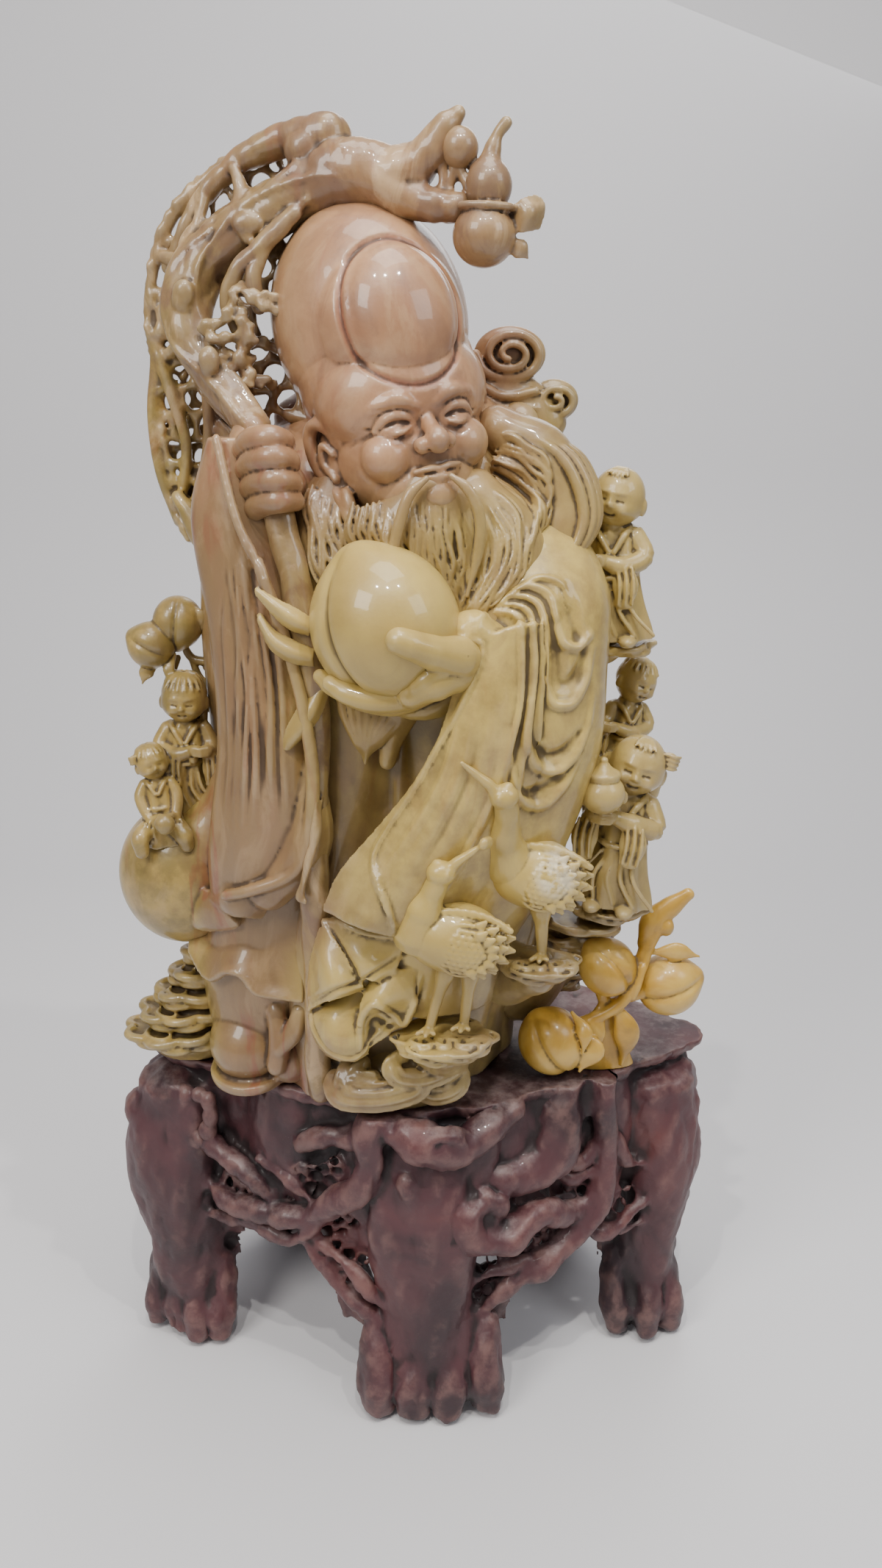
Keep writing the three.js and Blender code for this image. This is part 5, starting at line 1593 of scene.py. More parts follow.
# A child of the carving, one unit tall, with its feet at the origin and looking along -Y
def childForms(at, tall, turn, headTurn, hair, hands=(0, -0.2, 0.49), seated=False):
    body = scaled(turned(**turn, at=at), tall)
    head = body @ turned(**headTurn, at=(0, -0.01, 0.7))
    forms = [
        dollHead(head), limb([[0, 0.01, -0.04, 0.075], [0, 0, 0.03, 0.07]], frame=head, sides=16, steps=4),
    ]
    handX, handY, handZ = hands
    for side in (-1, 1):
        forms += [
            ball([side * 0.152, 0.01, 0.1], [0.02, 0.035, 0.048], frame=head, around=12, high=8),
            limb([
                [side * 0.12, 0.01, 0.61, 0.06], [side * 0.17, -0.03, 0.5, 0.062],
                [(side * 0.15 + handX) / 2 + side * 0.03, (handY - 0.06) / 2, handZ - 0.04, 0.056],
                [handX + side * 0.05, handY + 0.03, handZ, 0.038],
            ], frame=body, sides=14, steps=14),
            ball([handX + side * 0.03, handY, handZ], [0.05, 0.035, 0.042], frame=body, around=14, high=10),
            limb([
                [(side * 0.15 + handX) / 2 + side * 0.03, handY * 0.7, handZ - 0.02, 0.05, 0.03],
                [side * 0.13 + handX / 2, handY * 0.8, handZ - 0.14, 0.075, 0.026],
                [side * 0.12 + handX / 2, handY * 0.8, handZ - 0.26, 0.05, 0.018],
            ], frame=body, sides=14, steps=12),
        ]
        for k in range(4):
            lift = handZ + 0.026 - 0.017 * k
            forms.append(limb([
                [handX + side * 0.05, handY - 0.02, lift, 0.011],
                [handX - side * 0.005, handY - 0.032, lift - 0.004, 0.011],
            ], frame=body, sides=6, steps=3))
        for k in range(3):
            x = side * 0.13 + handX / 2 + 0.04 * (k - 1)
            forms.append(limb([
                [x, handY * 0.8 - 0.02, handZ - 0.04, 0.009],
                [x + side * 0.01, handY * 0.8 - 0.03, handZ - 0.14, 0.012],
                [x, handY * 0.8 - 0.02, handZ - 0.25, 0.008],
            ], frame=body, sides=6, steps=8))
        forms.append(limb([
            [side * 0.1, 0.02, 0.66, 0.02], [side * 0.07, -0.08, 0.63, 0.02],
            [side * 0.015, -0.125, 0.54, 0.016],
        ], frame=body, sides=8, steps=10))
    forms += hairForms(hair, head)
    wave = lambda angle, z: 0.07 * np.sin(7 * angle + 1 + 0.02 * z)
    if seated:
        forms += [
            stack([
                [0.02, 0, -0.02, 0.24, 0.2], [0.22, 0, -0.02, 0.2, 0.17], [0.45, 0, 0, 0.15, 0.13],
                [0.62, 0, 0.01, 0.13, 0.1], [0.68, 0, 0, 0.06, 0.06],
            ], sides=40, rows=24, ripple=wave, frame=body),
            limb([
                [-0.14, -0.14, 0.2, 0.1], [-0.2, -0.24, 0.16, 0.09], [-0.2, -0.26, 0.03, 0.07],
            ], frame=body, sides=16),
            limb([
                [0.14, -0.14, 0.2, 0.1], [0.2, -0.22, 0.14, 0.09], [0.22, -0.22, 0.03, 0.07],
            ], frame=body, sides=16),
        ]
    else:
        forms += [
            stack([
                [0.03, 0.02, 0, 0.2, 0.15], [0.1, 0.015, 0, 0.19, 0.15], [0.24, 0, -0.01, 0.165, 0.14],
                [0.4, 0, -0.015, 0.14, 0.125], [0.52, 0, 0, 0.145, 0.12], [0.62, 0, 0.01, 0.13, 0.1],
                [0.69, 0, 0, 0.06, 0.06],
            ], sides=60, rows=40, ripple=wave, frame=body),
            *[
                ball([side * 0.09, -0.13, 0.035], [0.052, 0.085, 0.038], frame=body, around=20, high=14)
                for side in (-1, 1)
            ],
        ]
        for k in range(5):
            x = 0.06 * (k - 2)
            forms.append(limb([
                [x * 0.7, -0.13, 0.36, 0.01], [x * 1.2 - 0.03, -0.15, 0.22, 0.014],
                [x * 1.8 + 0.02, -0.14 + 0.5 * x * x, 0.07, 0.012],
            ], frame=body, sides=6, steps=12))
    forms.append(limb([
        [-0.14, -0.04, 0.41, 0.014], [-0.06, -0.135, 0.4, 0.016], [0.06, -0.135, 0.4, 0.016],
        [0.14, -0.04, 0.41, 0.014],
    ], frame=body, sides=8, steps=14))
    return forms


# A shaven head's forelock, a combed tuft over an ear, or a cap of hair combed down from the crown
def hairForms(kinds, head):
    forms = []
    if "forelock" in kinds:
        for k in range(5):
            x = 0.022 * (k - 2)
            forms.append(limb([
                [x * 0.6, -0.04, 0.293, 0.012], [x, -0.082, 0.276, 0.013],
                [x * 1.3, -0.11, 0.252 + 0.3 * abs(x), 0.007],
            ], frame=head, sides=8, steps=8))
    if "cap" in kinds:
        forms.append(ball([0, 0.03, 0.16], [0.156, 0.142, 0.15], frame=head, around=40, high=28))
        for k in range(16):
            angle = math.pi * (k - 7.5) / 9 - math.pi / 2
            across, deep = math.cos(angle), math.sin(angle)
            low = 0.225 if abs(k - 7.5) < 3 else 0.13
            forms.append(limb([
                [across * 0.03, 0.03 + deep * 0.03, 0.312, 0.013],
                [across * 0.105, 0.025 + deep * 0.1, 0.277, 0.016],
                [across * 0.15, 0.02 + deep * 0.145, low, 0.01],
            ], frame=head, sides=8, steps=10))
    for side, name in ((-1, "leftTuft"), (1, "rightTuft")):
        if name in kinds:
            forms.append(ball([side * 0.15, 0, 0.21], [0.05, 0.045, 0.042], frame=head, around=16, high=12))
            for k in range(4):
                z = 0.175 + 0.024 * k
                forms.append(limb([
                    [side * 0.12, -0.035, z, 0.009], [side * 0.17, -0.042, z, 0.011],
                    [side * 0.2, -0.015, z, 0.008],
                ], frame=head, sides=6, steps=6))
    return forms


def makeRightChildren(s):
    forms = [
        *childForms(
            [110, -28, 487], 97, {"yaw": -14, "roll": -3}, {"yaw": -10, "roll": 12, "pitch": 0}, ["forelock"],
            hands=(-0.1, -0.19, 0.5),
        ),
        *childForms(
            [116, -8, 396], 78, {"yaw": 14, "roll": 8}, {"yaw": 14, "roll": 12}, ["cap"],
            hands=(-0.2, -0.16, 0.5), seated=True,
        ),
        *childForms(
            [112, -48, 334], 106, {"yaw": -16, "roll": 6}, {"yaw": 8, "roll": 10}, ["forelock", "rightTuft"],
            hands=(-0.1, -0.22, 0.58),
        ),
        ball([101, -72, 412], [12.5, 12.5, 11.5], around=36, high=28),
        stack([
            [420, 101, -72, 9, 9], [424, 101, -72, 9.4, 9.4], [427, 101, -72, 5, 5],
            [431, 101, -72, 1.6, 1.6],
        ], sides=32),
        ball([101, -72, 431], [2.4, 2.4, 2.2], around=12, high=8),
    ]
    forms += [
        ball([101 + across, -72 + deep, 409], [2.6, 2.6, 4], around=12, high=8)
        for across, deep in ((-12, 0), (12, 2), (0, 12))
    ]
    return fuse(makeObject("right_children", forms), s["voxel"], soften=1)


# Two children and two hanging peaches on the far left
def makeLeftChildren(s):
    forms = [
        *childForms(
            [-137, -24, 384], 84, {"yaw": 4}, {"yaw": 0, "roll": 3, "pitch": 4}, ["cap"],
            hands=(0.12, -0.18, 0.5),
        ),
        *childForms(
            [-149, -42, 371], 60, {"yaw": 8, "roll": -4}, {"yaw": 16, "roll": -8}, ["cap", "leftTuft"],
            seated=True, hands=(0.06, -0.24, 0.34),
        ),
        ball([-144, -62, 390], [6, 5, 6], around=16, high=12),
        peach([-154, -20, 484], [13.6, 13, 13.6], turn={"roll": -62}, around=36, high=26),
        peach([-139, -14, 496], [14.6, 14, 15.4], turn={"roll": 188}, around=36, high=26),
        limb([
            [-151, -16, 476, 2], [-146, -14, 468, 2.4], [-138, -12, 462, 2.4], [-128, -16, 446, 3],
            [-129, -28, 428, 2.6], [-131, -36, 420, 2.6],
        ]),
        limb([[-139, -8, 484, 2.2], [-134, -8, 474, 2.6], [-122, -10, 472, 3], [-112, -10, 474, 6]]),
        limb([[-142, -8, 474, 2], [-146, -8, 462, 2.4], [-140, -8, 452, 2.6], [-126, -8, 444, 3.4]]),
        limb([[-134, -8, 474, 2.2], [-130, -8, 462, 2.4], [-120, -8, 452, 4]]),
        limb([[-126, -8, 468, 2], [-118, -8, 460, 2], [-112, -8, 462, 4]]),
        leaf([-150, -18, 474], [-160, -24, 462], 4.6, 1.8, bulge=(-2, -3, 1)),
        leaf([-141, -18, 478], [-145, -26, 464], 3.4, 1.8, bulge=(-1, -3, 0)),
        leaf([-132, -16, 506], [-124, -18, 492], 4.6, 2, bulge=(2, -2, 1)),
    ]
    return fuse(makeObject("left_children", forms), s["voxel"] * 1.15, soften=1)


craneSettings = {"voxel": 0.8, "triangles": 70000}


# A crane at rest: a scaled wing laid on its side, and rows of rounded feathers to its tail
def craneForms(c):
    wide, deep, tall = c["radii"]
    ownFrame = turned(roll=c["roll"], at=c["body"])
    forms = [ball([0, 0, 0], c["radii"], around=48, high=32, frame=ownFrame)]
    wing = [wide * 0.16, -deep * 0.62, -tall * 0.04]
    wingWide, wingTall = wide * 0.52, tall * 0.72
    forms.append(ball(wing, [wingWide, 7.5, wingTall], around=40, high=28, frame=ownFrame))
    rim = [
        [wing[0] + wingWide * 1.02 * math.cos(a), wing[1] - 1.2, wing[2] + wingTall * 1.02 * math.sin(a), 1.5]
        for a in np.linspace(0.6, 5.8, 15)
    ]
    forms.append(limb(rim, sides=10, steps=60, frame=ownFrame))
    for row in range(-5, 6):
        for k in range(-5, 6):
            x, z = 3.3 * (k + 0.5 * (row % 2)), 2.9 * row
            inside = (x / wingWide) ** 2 + (z / wingTall) ** 2
            if inside < 0.78:
                y = wing[1] - 7.5 * math.sqrt(1 - inside)
                forms.append(ball(
                    [wing[0] + x, y, wing[2] + z], [2.0, 0.8, 1.7], around=10, high=6, frame=ownFrame,
                ))
    for column, (share, size) in enumerate(((0.7, 5.2), (0.88, 5.6), (1.04, 5.4))):
        for k in range(7):
            angle = math.radians(-66 + 21 * (k + 0.5 * (column % 2)))
            if column == 2 and not 0 < k < 6:
                continue
            x = wide * (share - 0.16) * math.cos(angle) + wide * 0.14
            z = tall * share * 0.86 * math.sin(angle)
            off = min(0.9, (x / wide) ** 2 + (z / tall) ** 2 * 0.6)
            depth = -deep * math.sqrt(max(0.05, 1 - off)) + 2.0 * column
            way = np.array([math.cos(angle * 0.75), -0.12, math.sin(angle * 0.75)])
            start = np.array([x, depth, z]) - way * size * 0.8
            end = np.array([x, depth - 1, z]) + way * size * 0.75
            forms.append(limb([
                [*start, 2.8, 1.7], [*((start + end) / 2 + [0, -0.9, 0]), 3.2, 1.9], [*end, 1.4, 1.1],
            ], sides=12, steps=10, frame=ownFrame))
    for k in range(9):
        x = wide * (-0.5 + 0.15 * k)
        z = tall * math.sqrt(max(0.05, 1 - (x / wide) ** 2)) * 0.9
        forms.append(limb([
            [x, -deep * 0.35, z, 1.8], [x + 3.5, -deep * 0.42, z + 0.8, 2.5, 1.8],
            [x + 8, -deep * 0.44, z - 0.4, 1.9],
        ], sides=10, steps=8, frame=ownFrame))
    head = np.array(c["neck"][-1][:3])
    beak = np.array(c["beak"])
    side = c["beakSide"]
    forms += [
        limb(c["neck"], sides=24, steps=36),
        ball(head, c["headRadii"], around=28, high=20),
        limb([
            [*(head + [side * 3, 0, 0.5]), 4.6], [*(head * 0.66 + beak * 0.34), 2.9],
            [*(head * 0.3 + beak * 0.7), 2.1], [*beak, 1.2],
        ], sides=14, steps=24),
        ball(head + [side * 2.6, -c["headRadii"][1] * 0.86, 0.8], [1.8, 1.1, 1.8], around=12, high=8),
        limb([
            [*(head + [-side * 2, 0, c["headRadii"][2] * 0.72]), 3],
            [*(head + [side * 4, 0, c["headRadii"][2] * 0.6]), 1.8],
        ], sides=12, steps=6),
    ]
    for stops in c["legs"]:
        forms.append(limb(stops, sides=12, steps=18))
        foot = stops[-1]
        for toe in (-1, 0, 1):
            forms.append(limb([
                [foot[0], foot[1], foot[2] + 1, 2.2],
                [foot[0] + 4.5 * toe - 2, foot[1] - 7 + 2 * abs(toe), foot[2], 1.5],
            ], sides=8, steps=4))
    return forms


def makeCranes(s):
    near = craneForms({
        "body": seen(619, 1275, -110), "radii": [28, 18, 20], "roll": 10,
        "neck": shown(
            (572, 1268, -110, 16, 14), (577, 1238, -114, 10.4), (589, 1214, -117, 6.6),
            (600, 1188, -119, 5.8),
        ),
        "headRadii": [7.8, 6.8, 7], "beak": seen(655, 1150, -121), "beakSide": 1,
        "legs": [
            shown((608, 1318, -108, 5.6), (596, 1355, -106, 3.4), (584, 1400, -106, 2.8)),
            shown((640, 1320, -106, 5.6), (636, 1355, -104, 3.4), (631, 1394, -102, 2.8)),
        ],
    })
    far = craneForms({
        "body": seen(728, 1188, -94), "radii": [27, 17, 20], "roll": 12,
        "neck": shown(
            (696, 1176, -96, 15, 13), (686, 1142, -104, 9.6), (690, 1110, -114, 6.6), (686, 1084, -119, 5.8),
        ),
        "headRadii": [7.6, 6.6, 7], "beak": seen(628, 1038, -124), "beakSide": -1,
        "legs": [shown((736, 1232, -90, 6.6), (737, 1262, -88, 3.8), (737, 1300, -88, 2.8))],
    })
    roundel = limb([
        [*seen(658, 1148, -122), 3.6, 2.6], [*seen(664, 1146, -118), 3.6, 2.6],
    ], sides=16, steps=4)
    return fuse(makeObject("cranes", [*near, *far, roundel]), s["voxel"], soften=1)


spraySettings = {"voxel": 0.9, "triangles": 22000}


# Three peaches on one leafy branch, on the stand's right shoulder
def makeSpray(s):
    forms = [
        peach([81, -44, 240], [21, 20, 21.8], turn={"roll": -32, "yaw": -14}, point=0.1, cleft=0.13),
        peach([113, -44, 291], [17.5, 16, 18.5], turn={"roll": -38, "yaw": 30}, point=0.2, cleft=0.12),
        peach([152.5, -34, 274], [19.5, 18, 20], turn={"roll": 72, "yaw": 0}, point=0.16, cleft=0.12),
        limb([
            [88, -40, 246, 5], [104, -46, 256, 4], [122, -46, 268, 4], [131, -44, 284, 4.2],
            [136, -40, 300, 4.6], [141, -36, 314, 6.4],
        ], sides=18, steps=50),
        limb([
            [136, -38, 304, 5], [140, -36, 318, 7.4], [149, -36, 326, 7, 5], [161, -36, 336, 4, 3],
        ], sides=18, steps=26),
        ball([148, -38, 315], [5, 5, 6], around=20, high=14),
        limb([[134, -46, 292, 2.6], [131, -48, 280, 2.6], [129, -48, 272, 1.6]], sides=12),
        limb([[112, -42, 268, 4], [108, -42, 280, 4]], steps=6),
        limb([[122, -42, 268, 4], [142, -38, 274, 5]], steps=8),
        leaf([111, -44, 268], [107, -48, 228], 8.4, 3.4, bulge=(-4, -3, 0)),
        leaf([118, -44, 268], [125, -42, 222], 8.4, 4, bulge=(5, -3, 2)),
        leaf([96, -50, 250], [97, -56, 226], 9, 3, bulge=(7, -3, 2)),
        leaf([92, -48, 262], [98, -60, 240], 5, 2.6, bulge=(4, -4, 3)),
        leaf([140, -38, 298], [170, -36, 294], 6.5, 3, bulge=(0, -3, 3)),
        stack([[standTop, 110, -34, 24, 9], [256, 112, -38, 8, 5]], sides=32, rows=12),
    ]
    return fuse(makeObject("peach_branch", forms), s["voxel"], soften=1)


standSettings = {
    "voxel": 1.6,
    "triangles": 110000,
    "cell": 2.0,
    "wall": 15,
    "seed": 21,
    "plate": [183, 88],
    # roots on the front: each stop is across and down in the photograph, its half width, and how
    # far out it stands
    "roots": [
        [(294, 1557, 7.5, 2), (334, 1592, 7, 3), (367, 1622, 5, 2), (382, 1639, 3, 0)],
        [
            (245, 1565, 4, -2), (282, 1606, 6, 1), (315, 1635, 7, 3), (367, 1648, 7, 5), (415, 1656, 8, 7),
            (452, 1635, 8, 9), (489, 1621, 9, 9), (506, 1587, 9, 9), (504, 1543, 11, 7), (515, 1528, 12, 3),
        ],
        [
            (216, 1598, 3, 0), (253, 1632, 4, 1), (308, 1656, 4, 2), (352, 1665, 4, 3), (397, 1687, 5, 5),
            (419, 1676, 6, 6), (441, 1646, 6, 8),
        ],
        [(415, 1683, 5, 4), (434, 1713, 5, 4), (467, 1754, 5, 3), (504, 1783, 5, 2), (545, 1809, 4, 1)],
        [(434, 1691, 4, 4), (475, 1724, 4, 5), (515, 1765, 4, 4), (552, 1794, 3.4, 3)],
        [(352, 1576, 3, 0), (397, 1609, 3.6, 2), (426, 1635, 3.6, 4), (441, 1646, 4, 5)],
        [(412, 1554, 6, -2), (441, 1547, 8, 0), (475, 1547, 8, 2), (493, 1554, 6, 2)],
        [
            (515, 1528, 10, 3), (552, 1543, 11, 5), (577, 1554, 12, 6), (625, 1560, 12, 6), (662, 1535, 9, 4),
            (699, 1510, 7, 0),
        ],
        [
            (821, 1447, 9, 0), (815, 1498, 9, 3), (825, 1539, 8, 4), (823, 1587, 8, 5), (810, 1635, 9, 6),
            (781, 1683, 9, 7), (740, 1719, 8, 7), (695, 1746, 6, 5), (651, 1783, 4.5, 3), (607, 1820, 3, 1),
        ],
        [
            (795, 1639, 6, 4), (766, 1652, 8, 6), (740, 1645, 9, 8), (714, 1661, 10, 10), (684, 1683, 12, 11),
            (655, 1680, 13, 10), (638, 1654, 12, 9), (655, 1635, 10, 8),
        ],
        [
            (777, 1473, 10, -6), (762, 1521, 16, -5), (740, 1572, 17, -3), (699, 1598, 14, -2),
            (655, 1598, 8, -3),
        ],
        [(836, 1547, 5, 1), (855, 1580, 5, 0), (888, 1582, 4, 0)],
        [(895, 1617, 5, 0), (866, 1639, 6, 2), (836, 1669, 6, 3), (806, 1676, 6, 4)],
        [(910, 1645, 4, 0), (873, 1661, 4, 1), (843, 1676, 4, 2)],
        [(810, 1558, 4, 1), (795, 1580, 4, 2), (777, 1580, 4, 1)],
        [(814, 1587, 3.4, 2), (784, 1602, 3.4, 2), (762, 1598, 3.4, 0)],
        [(747, 1702, 4, 4), (703, 1720, 4.4, 4), (662, 1732, 4, 3), (625, 1769, 3.4, 2)],
        [(551, 1609, 5, 6), (562, 1646, 4, 7), (555, 1687, 5, 8), (573, 1735, 4, 7)],
    ],
    # openwork between the roots: a path, and half the width it fills
    "nets": [
        ([(367, 1602, -3), (415, 1613, -3), (475, 1598, -2)], 15),
        ([(301, 1606, -3), (334, 1626, -2), (382, 1643, -2)], 8),
        ([(478, 1646, -3), (467, 1687, -3), (493, 1724, -3)], 17),
        ([(449, 1706, -2), (486, 1750, -2), (523, 1783, -2)], 6),
        ([(795, 1598, -3), (777, 1624, -3)], 14),
        ([(762, 1676, -2), (718, 1698, -2), (662, 1713, -2)], 11),
        ([(699, 1735, -2), (662, 1757, -2), (633, 1780, -2)], 6),
        ([(814, 1646, -3), (843, 1639, -3), (873, 1624, -3)], 12),
    ],
    "knobs": [
        (-184, -10, 172, 13, 15, 16), (-185, -8, 146, 11, 13, 14), (-184, -4, 118, 10, 12, 12),
        (-181, -4, 84, 11, 13, 14), (-176, 0, 52, 10, 12, 13), (176, -6, 168, 10, 14, 20),
        (177, 4, 136, 9, 12, 14), (178, -2, 96, 9, 12, 13), (170, -6, 60, 9, 11, 12),
        (46, -88, 150, 9, 7, 10),
    ],
    "gnarl": 2.1,
    "waves": (42, 23, 12, 7),
}


# The face of the stand under a pixel of the photograph, standing out a little way from its plate's rim
def onStand(px, py, out, plate):
    y = -80
    for _ in range(8):
        x = abs(seen(px, py, y)[0])
        y = -plate[1] * max(0.02, 1 - min(1, x / plate[0]) ** 1.25) ** 0.8 - 2 - out
    return seen(px, py, y)


# Moves a skin in and out by warped waves, so it looks gnarled like a root
def gnarl(piece, depth, seed, sizes=(44, 25, 14), upright=0.35):
    dice = random.Random(seed)
    mesh = piece.data
    points, normals = readPoints(mesh) * 1000, readNormals(mesh)
    total = np.zeros(len(points))
    for size in sizes:
        warp = points * [1, 1, upright]
        for _ in range(2):
            way = np.array([dice.uniform(-1, 1) for _ in range(3)])
            bend = np.sin(points @ way / size * 3 + dice.uniform(0, 6))[:, None]
            warp = warp + 0.22 * size * bend * np.array([dice.uniform(-1, 1) for _ in range(3)])
        for _ in range(3):
            way = unit(np.array([dice.uniform(-1, 1) for _ in range(3)]))
            ridge = np.abs(np.sin(warp @ way * math.pi / size + dice.uniform(0, 6)))
            total += (ridge - 0.64) * size / sizes[0]
    moved = points + normals * (depth * total)[:, None]
    writePoints(mesh, moved / 1000)


# Holds a skin inside the box of the modelled part, so its feet are flat on the floor
def keepInside(piece, node, spare=0.0002):
    low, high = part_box(node)
    points = np.clip(readPoints(piece.data), np.array(low) + [spare, spare, 0], np.array(high) - spare)
    writePoints(piece.data, points)


# A wall that follows level ovals, left out wherever isOpen says so
def pierced(sections, wall, power, isOpen, cell=2.0, ripple=None):
    around = int(2 * math.pi * 150 / cell)
    shape = lambda grow: stack(
        [[section[0], section[1], section[2], section[3] - grow, section[4] - grow] for section in sections],
        sides=around, rows=int((sections[-1][0] - sections[0][0]) / cell), ripple=ripple, power=power,
    )[0][:-2]
    outer, inner = shape(0), shape(wall)
    rows = len(outer) // around
    outerGrid, innerGrid = outer.reshape(rows, around, 3), inner.reshape(rows, around, 3)
    r, c = np.meshgrid(np.arange(rows - 1), np.arange(around), indexing="ij")
    angle = (c + 0.5) * 2 * math.pi / around
    height = outerGrid[r, c, 2]
    kept = ~isOpen(outerGrid[r, c], angle, height)
    index = np.arange(rows * around).reshape(rows, around)
    half = rows * around
    faces = []
    for r, c in np.argwhere(kept):
        t = (c + 1) % around
        a, b, d, e = index[r, c], index[r + 1, c], index[r + 1, t], index[r, t]
        faces.append((a, b, d, e))
        faces.append((half + a, half + e, half + d, half + b))
        if r == 0 or not kept[r - 1, c]:
            faces.append((a, e, half + e, half + a))
        if r == rows - 2 or not kept[r + 1, c]:
            faces.append((b, half + b, half + d, d))
        if not kept[r, c - 1]:
            faces.append((a, half + a, half + b, b))
        if not kept[r, t]:
            faces.append((e, d, half + d, half + e))
    return np.concatenate([outerGrid.reshape(-1, 3), innerGrid.reshape(-1, 3)]), faces


def legForms(top, knee, ankle, foot, spread, toes, facing):
    aheadX, aheadY = facing
    forms = [limb([top, knee, ankle, foot], sides=40, steps=50, facing=(aheadX, aheadY, 0), capRound=0.5)]
    for k in range(toes):
        side = 2 * k / (toes - 1) - 1
        x, y = foot[0] - aheadY * side * spread, foot[1] + aheadX * side * spread
        reach = 16 + 8 * (1 - abs(side))
        wide = 0.86 * spread / (toes - 1) + 3.6
        forms.append(limb([
            [x, y, 62, wide * 0.6, 9],
            [x + aheadX * reach * 0.4, y + aheadY * reach * 0.4, 42, wide * 0.9, 12],
            [x + aheadX * reach * 0.8, y + aheadY * reach * 0.8, 22, wide * 1.02, 13],
            [x + aheadX * reach, y + aheadY * reach, 7, wide * 0.72, 8],
        ], sides=20, steps=24, facing=(aheadX, aheadY, 0), capRound=0.6))
    return forms


def makeStand(s):
    dice = random.Random(s["seed"])
    outline = lambda angle: np.where(np.sin(angle) > 0, 1.25, 1.9)
    wave = lambda angle, z: 0.014 * np.cos(9 * angle + 1) + 0.01 * np.cos(4 * angle)
    plate = stack([
        [206, 0, 0, 170, 78], [211, 0, 0, 181, 86], [217, 0, 0, 181, 86], [219.8, 0, 0, 176, 81],
    ], sides=260, rows=18, power=outline, ripple=wave)
    rim = []
    for angle in np.linspace(-math.pi, math.pi, 90):
        bend = 1.25 if math.sin(angle) > 0 else 1.9
        reach = (1 + wave(angle, 0)) / (
            abs(math.cos(angle)) ** bend + abs(math.sin(angle)) ** bend
        ) ** (1 / bend)
        rim.append([
            reach * 179 * math.cos(angle), -reach * 84.5 * math.sin(angle),
            215.5 + 1.6 * math.sin(5 * angle + 1), 4.4 + 1.1 * math.sin(7 * angle), 3.4,
        ])
    arches = [(-102, -54, 50, 82), (98, -48, 44, 88), (-150, 40, 48, 96), (150, 40, 48, 96), (0, 80, 64, 98)]
    gaps = [
        (-82, 126, 22, 12, 0.3), (-58, 128, 20, 12, 0.1), (-28, 96, 12, 22, 0), (-40, 62, 9, 24, 0.5),
        (70, 132, 12, 18, 0), (40, 96, 24, 11, -0.4), (64, 108, 20, 9, -0.4), (96, 118, 18, 12, -0.3),
        (66, 150, 8, 9, 0),
    ]

    def isOpen(points, angle, height):
        x, y = points[..., 0], points[..., 1]
        gone = np.zeros(x.shape, bool)
        for ax, ay, wide, high in arches:
            gone |= ((x - ax) / wide) ** 2 + ((y - ay) / 60) ** 2 + ((height - 28) / high) ** 2 < 1
        for gx, gz, wide, high, lean in gaps:
            across = (x - gx) * math.cos(lean) + (height - gz) * math.sin(lean)
            up = (height - gz) * math.cos(lean) - (x - gx) * math.sin(lean)
            gone |= ((across / wide) ** 2 + (up / high) ** 2 < 1) & (y < 0)
        return gone

    apron = pierced(
        [[40, 0, 0, 150, 78], [130, 0, 0, 170, 90], [180, 0, 0, 173, 89], [209, 0, 0, 169, 85]],
        s["wall"], outline, isOpen, s["cell"], ripple=lambda angle, z: 0.03 * np.cos(11 * angle),
    )
    legs = [
        (
            [2, -72, 196, 46, 16], [2, -82, 136, 36, 20], [4, -82, 74, 30, 21], [6, -82, 16, 36, 21], 34, 4,
            (0, -1),
        ),
        (
            [-158, -12, 192, 30, 26], [-164, -14, 136, 34, 29], [-160, -14, 72, 28, 27],
            [-157, -14, 14, 28, 23], 24, 4, (-0.3, -0.95),
        ),
        (
            [152, -10, 192, 28, 24], [158, -10, 136, 30, 27], [152, -10, 72, 25, 23], [149, -12, 14, 23, 19],
            18, 3, (0.2, -0.98),
        ),
        (
            [-84, 62, 192, 36, 18], [-88, 70, 136, 34, 20], [-88, 68, 72, 26, 18], [-90, 70, 14, 26, 16], 18,
            3, (-0.2, 0.98),
        ),
        (
            [84, 62, 192, 36, 18], [88, 70, 136, 34, 20], [88, 68, 72, 26, 18], [90, 70, 14, 26, 16], 18, 3,
            (0.2, 0.98),
        ),
    ]
    backRoots = [
        [[-156, 26, 150, 9], [-126, 52, 116, 8], [-100, 68, 84, 9]],
        [[156, 26, 150, 9], [126, 52, 116, 8], [100, 68, 84, 9]],
        [[-76, 78, 130, 9], [-30, 84, 150, 9], [12, 86, 132, 9], [62, 80, 120, 9]],
        [[-60, 80, 196, 7], [-20, 86, 176, 8], [24, 86, 188, 7], [58, 80, 160, 6]],
        [[-172, -10, 196, 8], [-176, 20, 170, 9], [-160, 40, 140, 8]],
        [[172, -6, 196, 8], [176, 20, 168, 9], [160, 40, 138, 8]],
    ]
    forms = [plate, apron, limb(rim, sides=12, steps=300)]
    for one in legs:
        forms += legForms(*one)
    forms += [limb(r, sides=20, steps=16 * len(r)) for r in backRoots]
    for root in s["roots"]:
        stops = [[*onStand(px, py, out, s["plate"]), wide] for px, py, wide, out in root]
        forms.append(limb(stops, sides=18, steps=14 * len(stops)))
    # a knot hole in the middle root, ringed by its bark
    for grow, wide, out in ((1.0, 2.6, 15), (1.6, 3, 11)):
        ringed = [
            (607 + 27 * grow * math.cos(a), 1562 + 15 * grow * math.sin(a))
            for a in np.linspace(0, 2 * math.pi, 17)
        ]
        forms.append(limb(
            [[*onStand(px, py, out, s["plate"]), wide] for px, py in ringed], sides=12, steps=60,
        ))
